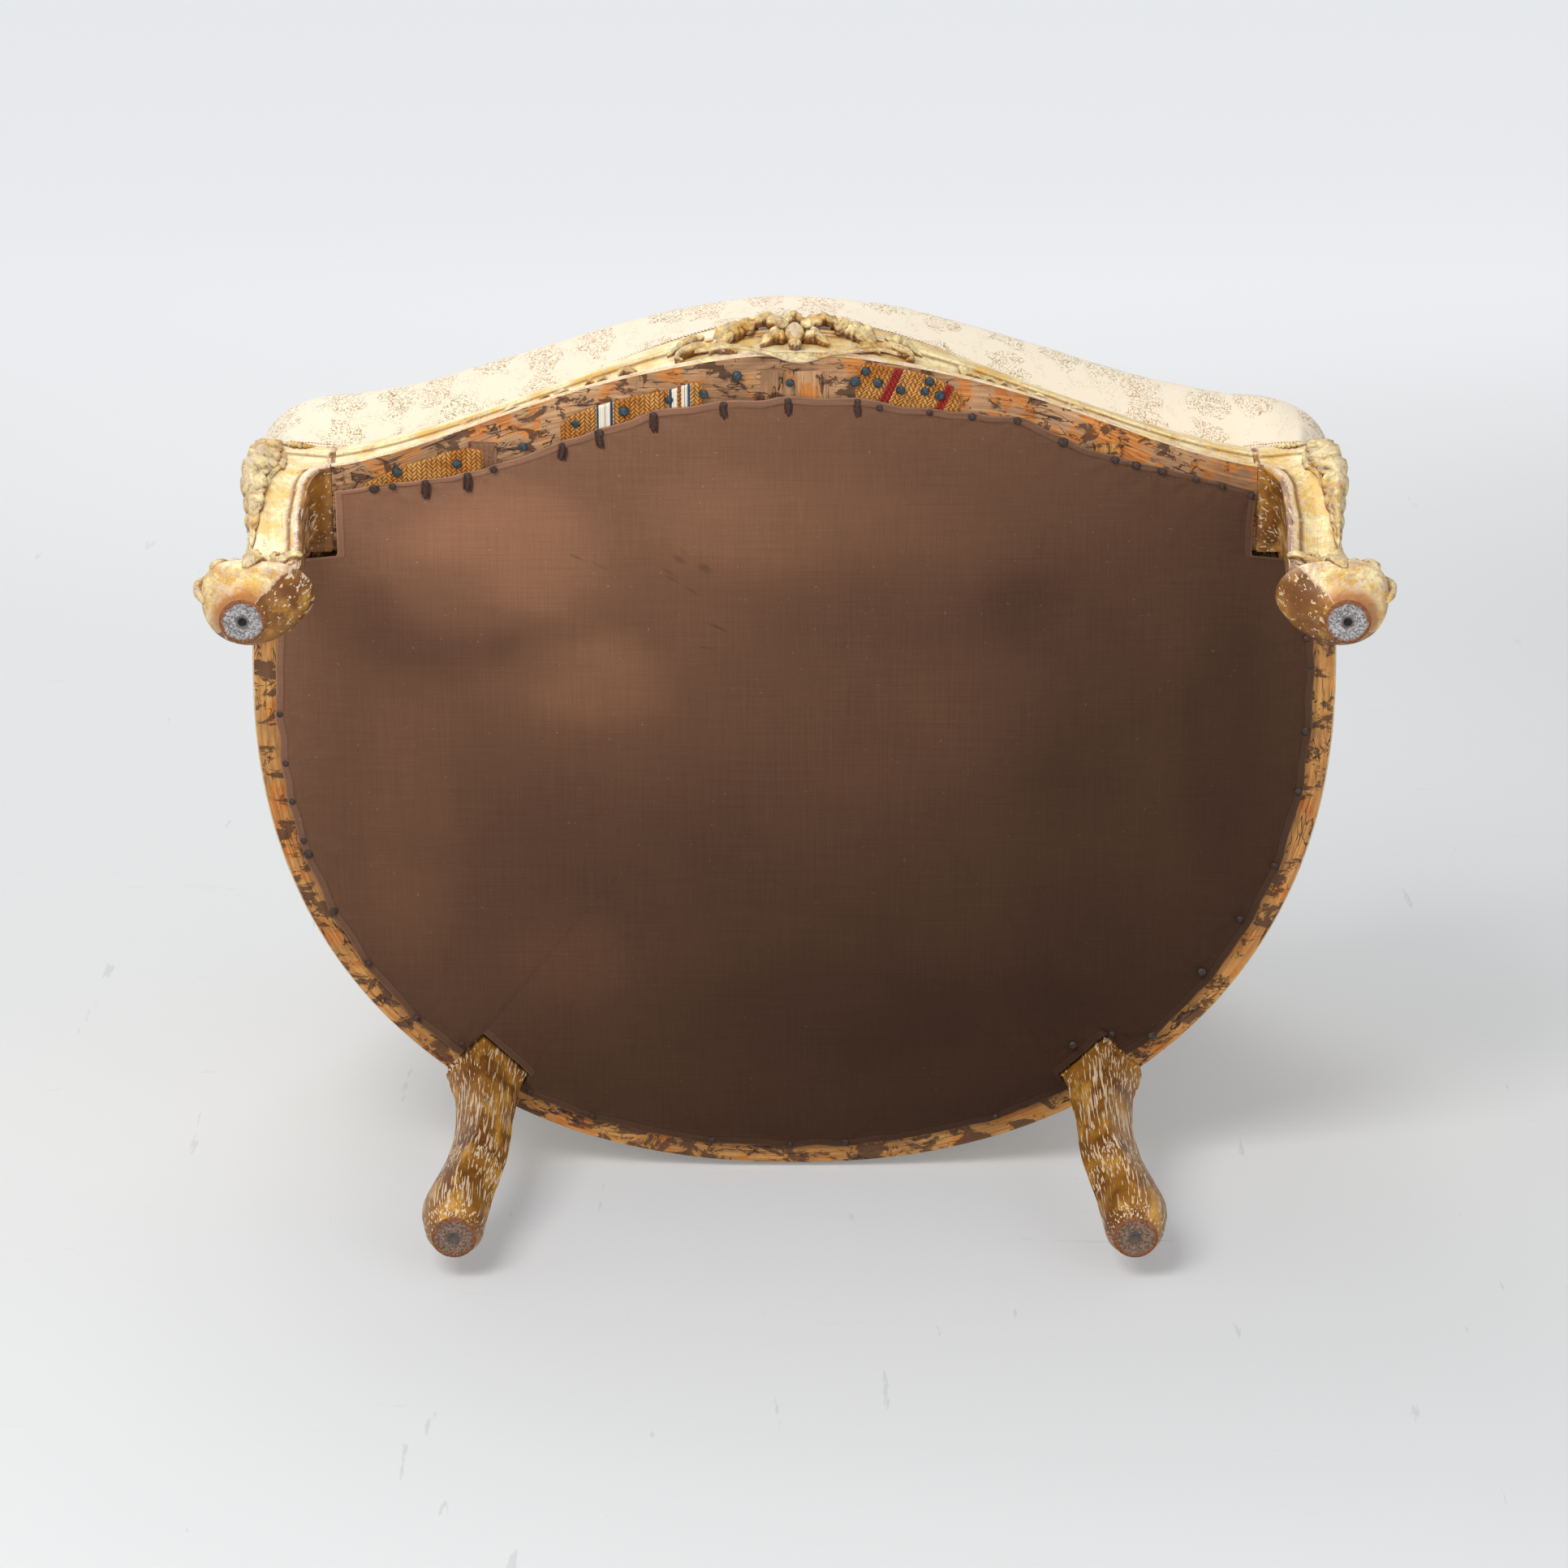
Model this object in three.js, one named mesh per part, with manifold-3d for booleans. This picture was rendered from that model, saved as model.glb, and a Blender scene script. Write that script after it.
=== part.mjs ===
// A bergère: a low, deep armchair with closed upholstered arms on a carved and moulded wooden frame.
// The seat is horseshoe shaped in plan. A serpentine front rail stands between two cabriole legs whose
// moulding sweeps out of the rail's, and the crest rail runs down into the arms in one line.
// Inside the seat, coil springs stand on webbing under a canvas, a stuffed deck and a loose cushion.
// Millimetres, +Z up, front towards -Y. The pieces are laid out from the widest line of the seat.
import * as THREE from "three";
import { mergeVertices } from "three/addons/utils/BufferGeometryUtils.js";
import Module from "manifold-3d";

const { clamp, lerp, smoothstep, degToRad } = THREE.MathUtils;

// Gap between pieces that touch, and overrun of cuts
const clearance = 0.3;
const cutOverrun = 5;

// Seat frame in plan: a rounded outline behind the front legs
const seatHalfWidth = 366;
const seatHalfDepth = 361;
const planRoundness = 2.2;

// Seat rails
const undersideHeight = 230;
const railHeight = 75;
const railThickness = 33;
const faceRelief = 6;
const sideSetBack = 3;
// Height up the rail's face against how far it lies behind the rim: bead, channel, second bead, band
const railProfileShares = [
  [0, 0.25], [0.035, 0], [0.08, 0.1], [0.115, 0.55], [0.25, 1], [0.42, 1],
  [0.54, 0.6], [0.6, 0.15], [0.66, 0.45], [0.82, 0.4], [0.94, 0.7], [1, 1],
];

// Front rail: its face swings forward to the middle and its lower edge arches up at each side
const frontSideReach = 158;
const frontBow = 83;
const frontBowWidthShare = 0.984;
const frontSetBack = 11;
const centreSetBack = -3;
const centreWidth = 180;
const bevelWidth = 22;
const archRise = 11;
const archStart = 50;

// Front legs
const frontLegBack = 100;
const legBlockWidth = 48;
const edgeTurnWidth = 14;
const edgeTurnHeight = 28;
const legThickness = 40;
const footSpread = 16;
const footThrust = 13.5;
const kneeSwell = 20;
const kneeRaise = 20;
const kneeSpread = 50;
const scrollRelief = 3;
const scrollHeight = 34;
const scrollSpread = 16;
const footHoleDiameter = 5;
const footHoleDepth = 18;
// Height up the leg, lean outwards, lean forwards, thickness, how much of the block is left, roundness
const frontLegShares = [
  [0, 1, 1, 0.75, 0, 1], [0.017, 1, 1, 0.83, 0, 1], [0.035, 0.94, 0.93, 1.05, 0, 1],
  [0.065, 0.81, 0.74, 1.42, 0, 1], [0.109, 0.66, 0.56, 1.72, 0, 1], [0.152, 0.56, 0.44, 1.8, 0, 1],
  [0.19, 0.53, 0.37, 1.65, 0, 1], [0.226, 0.44, 0.3, 1.34, 0, 1], [0.248, 0.4, 0.26, 1.42, 0, 1],
  [0.278, 0.37, 0.19, 1.13, 0, 0.5], [0.326, 0.34, 0.15, 1.06, 0, 0.1], [0.435, 0.37, 0.19, 1, 0, 0],
  [0.565, 0.49, 0.3, 0.99, 0, 0], [0.7, 0.61, 0.44, 1, 0, 0], [0.87, 0.6, 0.47, 0.98, 0.1, 0],
  [0.922, 0.53, 0.44, 0.97, 0.25, 0], [0.965, 0.38, 0.36, 1, 0.45, 0], [0.991, 0.19, 0.19, 1.04, 0.62, 0],
  [1, 0, 0, 1.08, 1, 0],
];
// Places across a face of the front leg, from its edge bead to its outer corner
const legFaceShares = [0, 0.06, 0.16, 0.32, 0.55, 0.8, 1];
const blockRoundness = 4;
const cornerFadeShare = 0.6;
const cornerDepthShare = 0.1;

// Rear legs, and the back stiles that they carry on into
const rearLegTurn = 54.45;
const rearLegInset = 13.2;
const rearLegAngle = 45;
const rearBlockWidth = 45;
const rearBlockInner = 20;
const stileTopWidth = 36;
const stileTopInner = 14;
const stileInset = 8;
const stileGap = 1;
const rearLegThickness = 33;
const rearFootSpread = 11;
const rearFootThrust = 5;
// Height up the leg, lean towards the foot, thickness, squareness
const rearLegShares = [
  [0, 1, 0.91, 0], [0.02, 1, 1, 0], [0.06, 1.02, 1.2, 0], [0.12, 1.06, 1.24, 0.15], [0.2, 1, 1.18, 0.4],
  [0.33, 0.5, 1.05, 0.6], [0.46, 0, 0.96, 0.65], [0.62, -0.2, 0.92, 0.65], [0.8, -0.2, 1, 0.7],
  [0.92, 0, 1.12, 0.85],
];
const stileShares = [0.04, 0.2, 0.4, 0.6, 0.8, 1];
const stileSquareShare = 0.9;
const rearLegSides = 16;

// Back and arms: one rail runs from arm to arm over the back; both heights are over the seat rails
const armHeight = 300;
const crestHeight = 620;
const crestPeak = 12;
const crestPeakTurn = 9;
const armRiseStart = 22;
const armRiseEnd = 80;
const backRake = 100;
const rakeCurve = 1.2;
const topRailWidth = 36;
const topRailHeight = 44;
const topRailInset = 4;
const steepestShare = 1.45;
const armFrontY = -15;
const knuckleLength = 26;
const knuckleReach = 70;
const knuckleSwellShare = 0.2;
const knuckleTipShare = 0.2;
const knuckleDip = 9;
// Distance from the top rail's outer face against height
const rebateShare = 0.87;
const rebateHeightShare = 0.62;
const topBeadShare = 0.8;
const topRailShares = [
  [0.08, 0], [0, 0.06], [0, 0.14], [0.07, 0.24], [0.12, 0.42], [0.08, 0.6], [0.01, 0.7], [0, topBeadShare],
  [0.07, 0.93], [0.25, 1], [0.6, 1], [0.9, 0.95], [1, 0.82], [0.95, 0.66],
  [rebateShare, rebateHeightShare], [rebateShare, 0],
];
const crestPlaceShares = [0, 0.06, 0.12, 0.18, 0.24, 0.3, 0.36, 0.41, 0.46, 0.5];
const armPlaceShares = [
  0, 0.01, 0.03, 0.06, 0.09, 0.125, 0.16, 0.23, 0.31, 0.39, 0.48, 0.57, 0.66, 0.75, 0.84, 0.92, 1,
];

// Arm supports
const supportBaseY = -45;
const supportTopY = 34;
const supportSway = 10;
const supportWidth = 30;
const supportDepth = 20;
const supportInset = 19;
const supportFlareShare = 0.08;
const supportFlareHeight = 26;
const supportSquareShare = 0.7;

// Lower back rail
const lowerRailRaise = 40;
const lowerRailHeight = 40;
const lowerRailOuterInset = 14;
const lowerRailInnerInset = 33;

// Blocks let into the front rail, and corner blocks inside the frame
const centreBlockWidth = 45;
const centreBlockHeight = 24;
const sideBlockPlaceShare = 0.672;
const sideBlockWidth = 19;
const sideBlockHeight = 22;
const blockFrontInset = 12;
const cornerBlockHeight = 38;
const cornerBlockRaise = 8;
const cornerBlockReach = 62;
const cornerBlockShare = 0.15;

// Webbing: the straps from front to back fan out forwards, and the cross straps weave through them
const strapWidth = 80;
const strapThickness = 1.6;
const strapFrontShares = [-0.683, -0.235, 0.235, 0.683];
const strapRearShares = [-0.366, -0.137, 0.137, 0.366];
const strapRowShares = [-0.125, 0.18, 0.485];
const strapFrontInset = 20;
const strapEndInset = 11;
const weaveRun = 9;
const weaveOverhang = 13;

// Springs: narrow at the waist, from the webbing up to the canvas
const springWire = 3.6;
const springEndRadius = 42;
const springWaistRadius = 27;
const springTurns = 3.5;
const springFlatShare = 0.09;
const springStepsPerTurn = 8;
const wireSides = 5;
// Places of the springs as shares of the seat's half width and half depth
const springPlaceShares = [
  [-0.634, -0.125], [-0.235, -0.125], [0.235, -0.125], [0.634, -0.125], [-0.56, 0.18], [-0.191, 0.18],
  [0.191, 0.18], [0.56, 0.18], [-0.169, 0.526], [0.169, 0.526],
];

// Canvas over the springs, deck, and dust cover: shares of the outline against those of the rise or sag
const domeShares = [[0.05, 1], [0.55, 0.9], [0.84, 0.55], [0.94, 0], [1, 0]];
const deckShares = [[1, 1], [0.993, 0.3], [0.975, 0], [0.05, 0]];
const sagShares = [[0.05, 1], [0.4, 0.85], [0.75, 0.3], [1, 0]];
const canvasThickness = 1;
const canvasDome = 15;
const innerInset = 30.5;
const earInset = 15;
const earBackY = -71;
const deckHeight = 28;
const deckEdge = 9;
const deckFrontInset = 6;
const dustThickness = 0.9;
const dustSag = 5;
const dustSideInset = 15;
const dustCentreInset = 30;
const legClear = 1.2;

// Front edge roll of the seat: a stuffed border over the deck's front, which ends in front of the arms
const rollFrontReach = 162.5;
const rollBow = 71;
const rollBowWidthShare = 0.943;
const rollCornerRun = 69;
const rollOverhang = 3;
const rollEarY = 104;
const rollWidth = 32;
const rollHeight = 37;
const rollGap = 4;
const rollLip = 3;
const rollDrop = 26;
// Distance inwards from the roll's front against the share of its height
const rollShares = [
  [0.12, -0.3], [0.02, 0], [0, 0.3], [0.05, 0.72], [0.22, 0.94], [0.5, 1], [0.85, 0.9], [1, 0.6],
];

// Loose cushion, behind the edge roll
const cushionGap = 1.5;
const cushionInset = 71;
const cushionPullIn = 3;
const cushionSettle = 0.5;
const cushionLowWeltHeight = 7;
const cushionHighWeltHeight = 74;
const cushionWelt = 5;
const cushionCrown = 36;
const boxingDrawShare = 0.015;
// Shares of the cushion's outline underneath, and over its crown against the share of the crown's rise
const cushionUnderShares = [0.05, 0.95];
const cushionRimShare = 0.98;
const cushionCrownShares = [[0.97, 0.12], [0.9, 0.38], [0.78, 0.62], [0.6, 0.82], [0.35, 0.96], [0.05, 1]];

// Upholstered back and arms
const padInset = 41;
const armPadInset = 34;
const padEdge = 8;
const backCrown = 34;
const armCrown = 22;
const padEdgeShares = [0.015, 0.05];
const padLevelShares = [0, 0.02, 0.07, 0.2, 0.4, 0.6, 0.8, 0.93, 0.98, 1];
const padLeanStartShare = 0.3;
const padLeanEndShare = 0.85;
const fullnessPower = 6;
const padPlaceGap = 0.03;
const padRebateGap = 0.8;
const seamTurn = 53;
const seamGap = 0.8;
const padFrontLead = 8;
const outsideInset = 10;
const outsideThickness = 3;
const outsideGap = 1;
const armPadWidth = 30;
const armPadHeight = 20;
const armPadStart = 16;
const armPadEnd = 150;
const armPadTipShare = 0.25;
const armPadPlaceShares = [0, 0.04, 0.12, 0.28, 0.5, 0.72, 0.88, 0.96, 1];

const frontBowHalfWidth = frontBowWidthShare * seatHalfWidth;
const railTop = undersideHeight + railHeight;
const armTop = railTop + armHeight;
const crestTop = railTop + crestHeight;
const deckTop = railTop + deckHeight;
const lowerRailBottom = railTop + lowerRailRaise;
const cushionLowWelt = deckTop + cushionLowWeltHeight;
const cushionHighWelt = deckTop + cushionHighWeltHeight;
const exponent = 2 / planRoundness;
const seatMiddle = new THREE.Vector2(0, earBackY);
const rearOut = new THREE.Vector2(1, 0).rotateAround(new THREE.Vector2(), degToRad(rearLegAngle));
const rearAlong = new THREE.Vector2(-rearOut.y, rearOut.x);

const wasm = await Module();
wasm.setup();

// Values between the rows of a table whose first column rises
function readShares(rows, key) {
  const next = rows.findIndex((row) => row[0] >= key);
  if (next < 0) return rows.at(-1);
  if (next === 0) return rows[0];
  const part = (key - rows[next - 1][0]) / (rows[next][0] - rows[next - 1][0]);
  return rows[next].map((value, i) => lerp(rows[next - 1][i], value, part));
}

// Place where a measure crosses zero between two bounds
function solve(measure, low, high) {
  const rising = measure(high) > measure(low);
  let [from, to] = [low, high];
  while (Math.abs(to - from) > Math.abs(high - low) / 2 ** 30) {
    const half = (from + to) / 2;
    if (measure(half) > 0 === rising) to = half;
    else from = half;
  }
  return (from + to) / 2;
}

const spread = (from, to, steps) => Array.from({ length: steps + 1 }, (_, i) => lerp(from, to, i / steps));
const wave = (share) => (1 + Math.cos(Math.PI * share)) / 2;
const hump = (share) => Math.sin(Math.PI * clamp(share, 0, 1)) ** 2;
const bell = (distance, width) => Math.exp(-((distance / width) ** 2));

// Faces that close a ring: a fan round its middle, or rungs across a ring that is a long strip
function fan(points, start, count) {
  const middle = new THREE.Vector3();
  for (let i = 0; i < count; i++) middle.addScaledVector(points[start + i], 1 / count);
  const hub = points.push(middle) - 1;
  return Array.from({ length: count }, (_, i) => [hub, start + i, start + ((i + 1) % count)]);
}

function rungs(points, start, count) {
  return Array.from({ length: count / 2 - 1 }, (_, i) => {
    const [a, b, c, d] = [i, i + 1, count - 2 - i, count - 1 - i].map((place) => start + place);
    return [[a, b, c], [a, c, d]];
  }).flat();
}

// A closed body through rings of equal length, facing out
function loft(rings, endFaces = fan) {
  const count = rings[0].length;
  const points = rings.flat();
  const faces = endFaces(points, points.length - count, count);
  faces.push(...endFaces(points, 0, count).map(([a, b, c]) => [a, c, b]));
  for (let ring = 0; ring + 1 < rings.length; ring++) {
    for (let i = 0; i < count; i++) {
      const a = ring * count + i;
      const b = ring * count + ((i + 1) % count);
      faces.push([a, b, b + count], [a, b + count, a + count]);
    }
  }
  const sixfold = faces.reduce(
    (sum, [a, b, c]) => sum + points[a].dot(points[b].clone().cross(points[c])), 0,
  );
  const turned = sixfold < 0 ? faces.map(([a, b, c]) => [a, c, b]) : faces;
  const geometry = new THREE.BufferGeometry().setFromPoints(points).setIndex(turned.flat());
  geometry.computeVertexNormals();
  return geometry;
}

// Joining and cutting of closed bodies
function solidFrom(geometry) {
  const bare = geometry.clone();
  bare.deleteAttribute("normal");
  bare.deleteAttribute("uv");
  const merged = mergeVertices(bare);
  return new wasm.Manifold(new wasm.Mesh({
    numProp: 3,
    vertProperties: new Float32Array(merged.attributes.position.array),
    triVerts: new Uint32Array(merged.index.array),
  }));
}

function cutFrom(geometry, cutters) {
  const solid = cutters.reduce((body, cutter) => body.subtract(solidFrom(cutter)), solidFrom(geometry));
  const { vertProperties, triVerts } = solid.getMesh();
  const result = new THREE.BufferGeometry();
  result.setAttribute("position", new THREE.BufferAttribute(vertProperties, 3));
  result.setIndex(new THREE.BufferAttribute(triVerts, 1));
  result.computeVertexNormals();
  return result;
}

function box(centreX, fromY, toY, fromZ, toZ, width) {
  const geometry = new THREE.BoxGeometry(width, toY - fromY, toZ - fromZ);
  return geometry.translate(centreX, (fromY + toY) / 2, (fromZ + toZ) / 2);
}

// An upright prism over a plan outline
function prism(outline, bottom, height) {
  const shape = new THREE.Shape(outline);
  const geometry = new THREE.ExtrudeGeometry(shape, { depth: height, bevelEnabled: false });
  return geometry.translate(0, 0, bottom);
}

// A body of layers, each the plan outline drawn in towards the middle of the seat to a share of its size
function layered(outline, layers) {
  return loft(layers.map(([share, z]) => outline.map((point) => {
    const placed = point.clone().lerp(seatMiddle, 1 - share);
    return new THREE.Vector3(placed.x, placed.y, z);
  })));
}

// The rounded outline of the seat at a turn from +X towards +Y; above the rails it leans back
function outlineAt(turn, z = 0) {
  const across = Math.cos(turn);
  const along = Math.sin(turn);
  const lean = backRake * clamp((z - railTop) / (crestTop - railTop), 0, 1) ** rakeCurve;
  const depth = seatHalfDepth + (along > 0 ? lean : 0);
  return new THREE.Vector2(
    Math.sign(across) * seatHalfWidth * Math.abs(across) ** exponent,
    Math.sign(along) * depth * Math.abs(along) ** exponent,
  );
}

function outwardAngle(turn) {
  const bend = exponent * (planRoundness - 1);
  const across = Math.cos(turn);
  const along = Math.sin(turn);
  return Math.atan2(
    Math.sign(along) * Math.abs(along) ** bend / seatHalfDepth,
    Math.sign(across) * Math.abs(across) ** bend / seatHalfWidth,
  );
}

// The point that lies an inset behind the outline
function placeOn(turn, inset, z, angle = outwardAngle(turn)) {
  const edge = outlineAt(turn, z);
  return new THREE.Vector3(edge.x - Math.cos(angle) * inset, edge.y - Math.sin(angle) * inset, z);
}

function turnAtX(x) {
  return solve((turn) => outlineAt(turn).x - x, 0, Math.PI);
}

function turnAtY(y, z = 0) {
  return solve((turn) => outlineAt(turn, z).y - y, -Math.PI / 2, Math.PI / 2);
}

function turnOf(point) {
  return solve((turn) => {
    const gap = new THREE.Vector2(point.x, point.y).sub(outlineAt(turn, point.z));
    const angle = outwardAngle(turn);
    return Math.cos(angle) * gap.y - Math.sin(angle) * gap.x;
  }, -Math.PI / 4, Math.PI / 2);
}

// Rear leg: its axis leans back with the outline above the rails
const stileTurn = degToRad(rearLegTurn);

function rearAxis(z) {
  return outlineAt(stileTurn, z).addScaledVector(rearOut, -rearLegInset);
}

function rearPoint(out, along, z) {
  const place = rearAxis(z).addScaledVector(rearOut, out).addScaledVector(rearAlong, along);
  return new THREE.Vector3(place.x, place.y, z);
}

// Turn at which an inset of the outline lies a distance along from the rear leg's axis
function turnBesideLeg(along, inset, z) {
  return solve((turn) => {
    const place = placeOn(turn, inset, z);
    return new THREE.Vector2(place.x, place.y).sub(rearAxis(z)).dot(rearAlong) - along;
  }, 0, Math.PI / 2);
}

function rearReach(along, z) {
  return outlineAt(turnBesideLeg(along, 0, z), z).sub(rearAxis(z)).dot(rearOut);
}

// Seat rails along the outline, their ends turned to seat against the legs
function railRing(turn, angle) {
  const face = railProfileShares.map(([up, back]) => placeOn(
    turn, faceRelief * back + sideSetBack * up, undersideHeight + railHeight * up, angle,
  ));
  return [...face, ...[railTop, undersideHeight].map((z) => placeOn(turn, railThickness, z, angle))];
}

const besideLeg = rearBlockWidth / 2 + clearance;
const sideRail = {
  from: turnAtY(clearance - frontLegBack), fromAngle: 0,
  to: turnBesideLeg(-besideLeg, 0, 0), toAngle: degToRad(rearLegAngle),
};
const rearRailStart = turnBesideLeg(besideLeg, 0, 0);
const rearRail = {
  from: rearRailStart, fromAngle: degToRad(rearLegAngle),
  to: Math.PI - rearRailStart, toAngle: Math.PI - degToRad(rearLegAngle),
};

function railAngle({ from, fromAngle, to, toAngle }, turn) {
  const share = (turn - from) / (to - from);
  const fromTwist = (fromAngle - outwardAngle(from)) * (1 - share) ** 4;
  const toTwist = (toAngle - outwardAngle(to)) * share ** 4;
  return outwardAngle(turn) + fromTwist + toTwist;
}

function outlineRail(rail, steps) {
  return loft(spread(rail.from, rail.to, steps).map((turn) => railRing(turn, railAngle(rail, turn))));
}

function insideRail(rail, fromShare, toShare, steps) {
  return spread(fromShare, toShare, steps).map((share) => {
    const turn = lerp(rail.from, rail.to, share);
    const place = placeOn(turn, railThickness + 2 * clearance, 0, railAngle(rail, turn));
    return new THREE.Vector2(place.x, place.y);
  });
}

// Front rail
function frontReach(x) {
  return frontSideReach + frontBow * wave(x / frontBowHalfWidth);
}

const frontRailHalfLength = outlineAt(turnAtY(-frontLegBack)).x - legBlockWidth;
const frontRailThickness = frontReach(frontRailHalfLength) - frontLegBack;

function frontTopInset(x) {
  return faceRelief + lerp(centreSetBack, frontSetBack, smoothstep(Math.abs(x), 0, centreWidth));
}

function frontRailRing(x) {
  const arch = archRise * hump((Math.abs(x) - archStart) / (frontRailHalfLength - archStart));
  const reach = frontReach(x);
  const setBack = frontTopInset(x) - faceRelief;
  const face = railProfileShares.map(([up, back]) => new THREE.Vector3(
    x, faceRelief * back + setBack * up - reach, undersideHeight + lerp(arch, railHeight, up),
  ));
  const rear = frontRailThickness - reach;
  return [
    ...face,
    new THREE.Vector3(x, rear, railTop),
    new THREE.Vector3(x, rear, undersideHeight),
    new THREE.Vector3(x, bevelWidth - reach, undersideHeight),
  ];
}

function frontBlock(x, width, height, gap) {
  const front = blockFrontInset - gap - frontReach(x);
  const rear = frontRailThickness - frontReach(Math.abs(x) + width / 2) + (gap ? cutOverrun : 0);
  const bottom = undersideHeight - (gap ? cutOverrun : 0);
  return box(x, front, rear, bottom, undersideHeight + height + gap, width + 2 * gap);
}

const sideBlockX = sideBlockPlaceShare * frontRailHalfLength;
const frontBlocks = [
  ["front_rail_centre_block", 0, centreBlockWidth, centreBlockHeight],
  ["front_rail_left_block", -sideBlockX, sideBlockWidth, sideBlockHeight],
  ["front_rail_right_block", sideBlockX, sideBlockWidth, sideBlockHeight],
];

function makeFrontRail() {
  const half = frontRailHalfLength - clearance;
  const body = loft(spread(-half, half, 24).map(frontRailRing));
  return cutFrom(body, frontBlocks.map(([, x, width, height]) => frontBlock(x, width, height, clearance)));
}

// Front leg: block, cabriole leg, collar, scrolled foot and pad
const blockHalfWidth = legBlockWidth / 2;
const blockHalfDepth = frontRailThickness / 2;
const blockX = frontRailHalfLength + blockHalfWidth;
const blockReach = frontLegBack + blockHalfDepth;

// Distance from the moulding's rim, which runs along the rail's lower edge and turns down the leg
function rimDistance(fromEdge, fromJoint, z) {
  const drop = z - (undersideHeight - edgeTurnHeight);
  if (drop <= 0) return fromEdge;
  const [u, v] = [fromJoint / edgeTurnWidth, drop / edgeTurnHeight];
  const level = Math.hypot(u, v);
  const steepness = Math.hypot(u / edgeTurnWidth, v / edgeTurnHeight);
  return Math.max(0, (level - 1) * level / steepness);
}

function legSection(z) {
  const [, out, forward, thick, block, round] = readShares(frontLegShares, z / undersideHeight);
  const half = thick * legThickness / 2;
  return {
    x: blockX + out * footSpread,
    reach: blockReach + forward * footThrust,
    halfX: lerp(half, blockHalfWidth, block),
    halfY: lerp(half, blockHalfDepth, block),
    round,
  };
}

// Outer corner of the section: a point at shares of the width and depth, sunk by the moulding
function legFacePoint(section, z, shareX, shareY, corner) {
  const normal = new THREE.Vector2(shareX, shareY).set(
    shareX ** (blockRoundness - 1), shareY ** (blockRoundness - 1),
  ).normalize();
  const onFront = shareY > shareX;
  const fromEdge = onFront ? shareX * 2 * section.halfX : shareY * 2 * section.halfY;
  const edge = onFront ? section.x - section.halfX : section.reach - section.halfY;
  const joint = onFront ? frontRailHalfLength : frontLegBack;
  const distance = rimDistance(fromEdge, fromEdge + edge - joint, z);
  const [, back] = readShares(railProfileShares, distance / railHeight);
  const up = clamp((z - undersideHeight) / railHeight, 0, 1);
  const setBack = up * lerp(sideSetBack, frontSetBack, normal.y ** 2);
  const fade = z < undersideHeight ? smoothstep(corner, cornerFadeShare, 1) : 0;
  const sunk = faceRelief * lerp(back, cornerDepthShare, fade) + setBack;
  const swell = kneeSwell * bell(z - undersideHeight - kneeRaise, kneeSpread) * corner ** 3;
  return new THREE.Vector2(
    section.halfX * (2 * shareX - 1) - normal.x * sunk + swell * Math.SQRT1_2,
    section.halfY * (2 * shareY - 1) - normal.y * sunk + swell * Math.SQRT1_2,
  );
}

function frontLegRing(z, inset = 0) {
  const section = legSection(z);
  const reachShare = 2 ** (-1 / blockRoundness);
  const sideOf = (share) => (1 - share ** blockRoundness) ** (1 / blockRoundness);
  const side = legFaceShares.map((share) => [sideOf(share * reachShare), share * reachShare, share]);
  const front = side.slice(0, -1).reverse().map(([x, y, corner]) => [y, x, corner]);
  const outer = [...side, ...front].map((shares) => legFacePoint(section, z, ...shares));
  const { halfX, halfY } = section;
  const inner = [
    [-halfX, halfY / 3], [-halfX, -halfY / 3], [-halfX, -halfY], [-halfX / 3, -halfY], [halfX / 3, -halfY],
  ].map(([x, y]) => new THREE.Vector2(x, y));
  const scroll = scrollRelief * bell(z - scrollHeight, scrollSpread);
  return [...outer, ...inner].map((point, i) => {
    const angle = i < outer.length
      ? lerp(-45, 135, i / (outer.length - 1))
      : 135 + 180 * (i - outer.length + 1) / (inner.length + 1);
    const away = degToRad(angle - 45);
    const radius = section.halfX + scroll * Math.cos(3 * away) * Math.max(0, Math.cos(away));
    const round = new THREE.Vector2(radius * Math.cos(degToRad(angle)), radius * Math.sin(degToRad(angle)));
    const place = point.lerp(round, section.round);
    place.setLength(place.length() - inset);
    return new THREE.Vector3(section.x + place.x, -section.reach - place.y, z);
  });
}

function footHole(x, y) {
  const depth = footHoleDepth + cutOverrun;
  const hole = new THREE.CylinderGeometry(footHoleDiameter / 2, footHoleDiameter / 2, depth, 12);
  return hole.rotateX(Math.PI / 2).translate(x, y, depth / 2 - cutOverrun);
}

function makeFrontLeg() {
  const lower = frontLegShares.map(([up]) => up * undersideHeight);
  const upper = railProfileShares.slice(1).map(([up]) => undersideHeight + up * railHeight);
  const foot = legSection(0);
  return cutFrom(loft([...lower, ...upper].map((z) => frontLegRing(z))), [footHole(foot.x, -foot.reach)]);
}

// Rear leg and stile: sections between a circle and a square, turned to the corner of the seat
function rearRing(squareness, place) {
  return Array.from({ length: rearLegSides }, (_, i) => {
    const round = new THREE.Vector2(1, 0).rotateAround(new THREE.Vector2(), 2 * Math.PI * i / rearLegSides);
    const square = round.clone().divideScalar(Math.max(Math.abs(round.x), Math.abs(round.y)));
    const unit = round.lerp(square, squareness);
    return place(unit.x, unit.y);
  });
}

function rearLegRow([up, lean, thick, squareness]) {
  const half = thick * rearLegThickness / 2;
  const shift = new THREE.Vector3(lean * rearFootSpread, lean * rearFootThrust, 0);
  const z = up * undersideHeight;
  return rearRing(squareness, (out, along) => rearPoint(out * half, along * half, z).add(shift));
}

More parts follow.
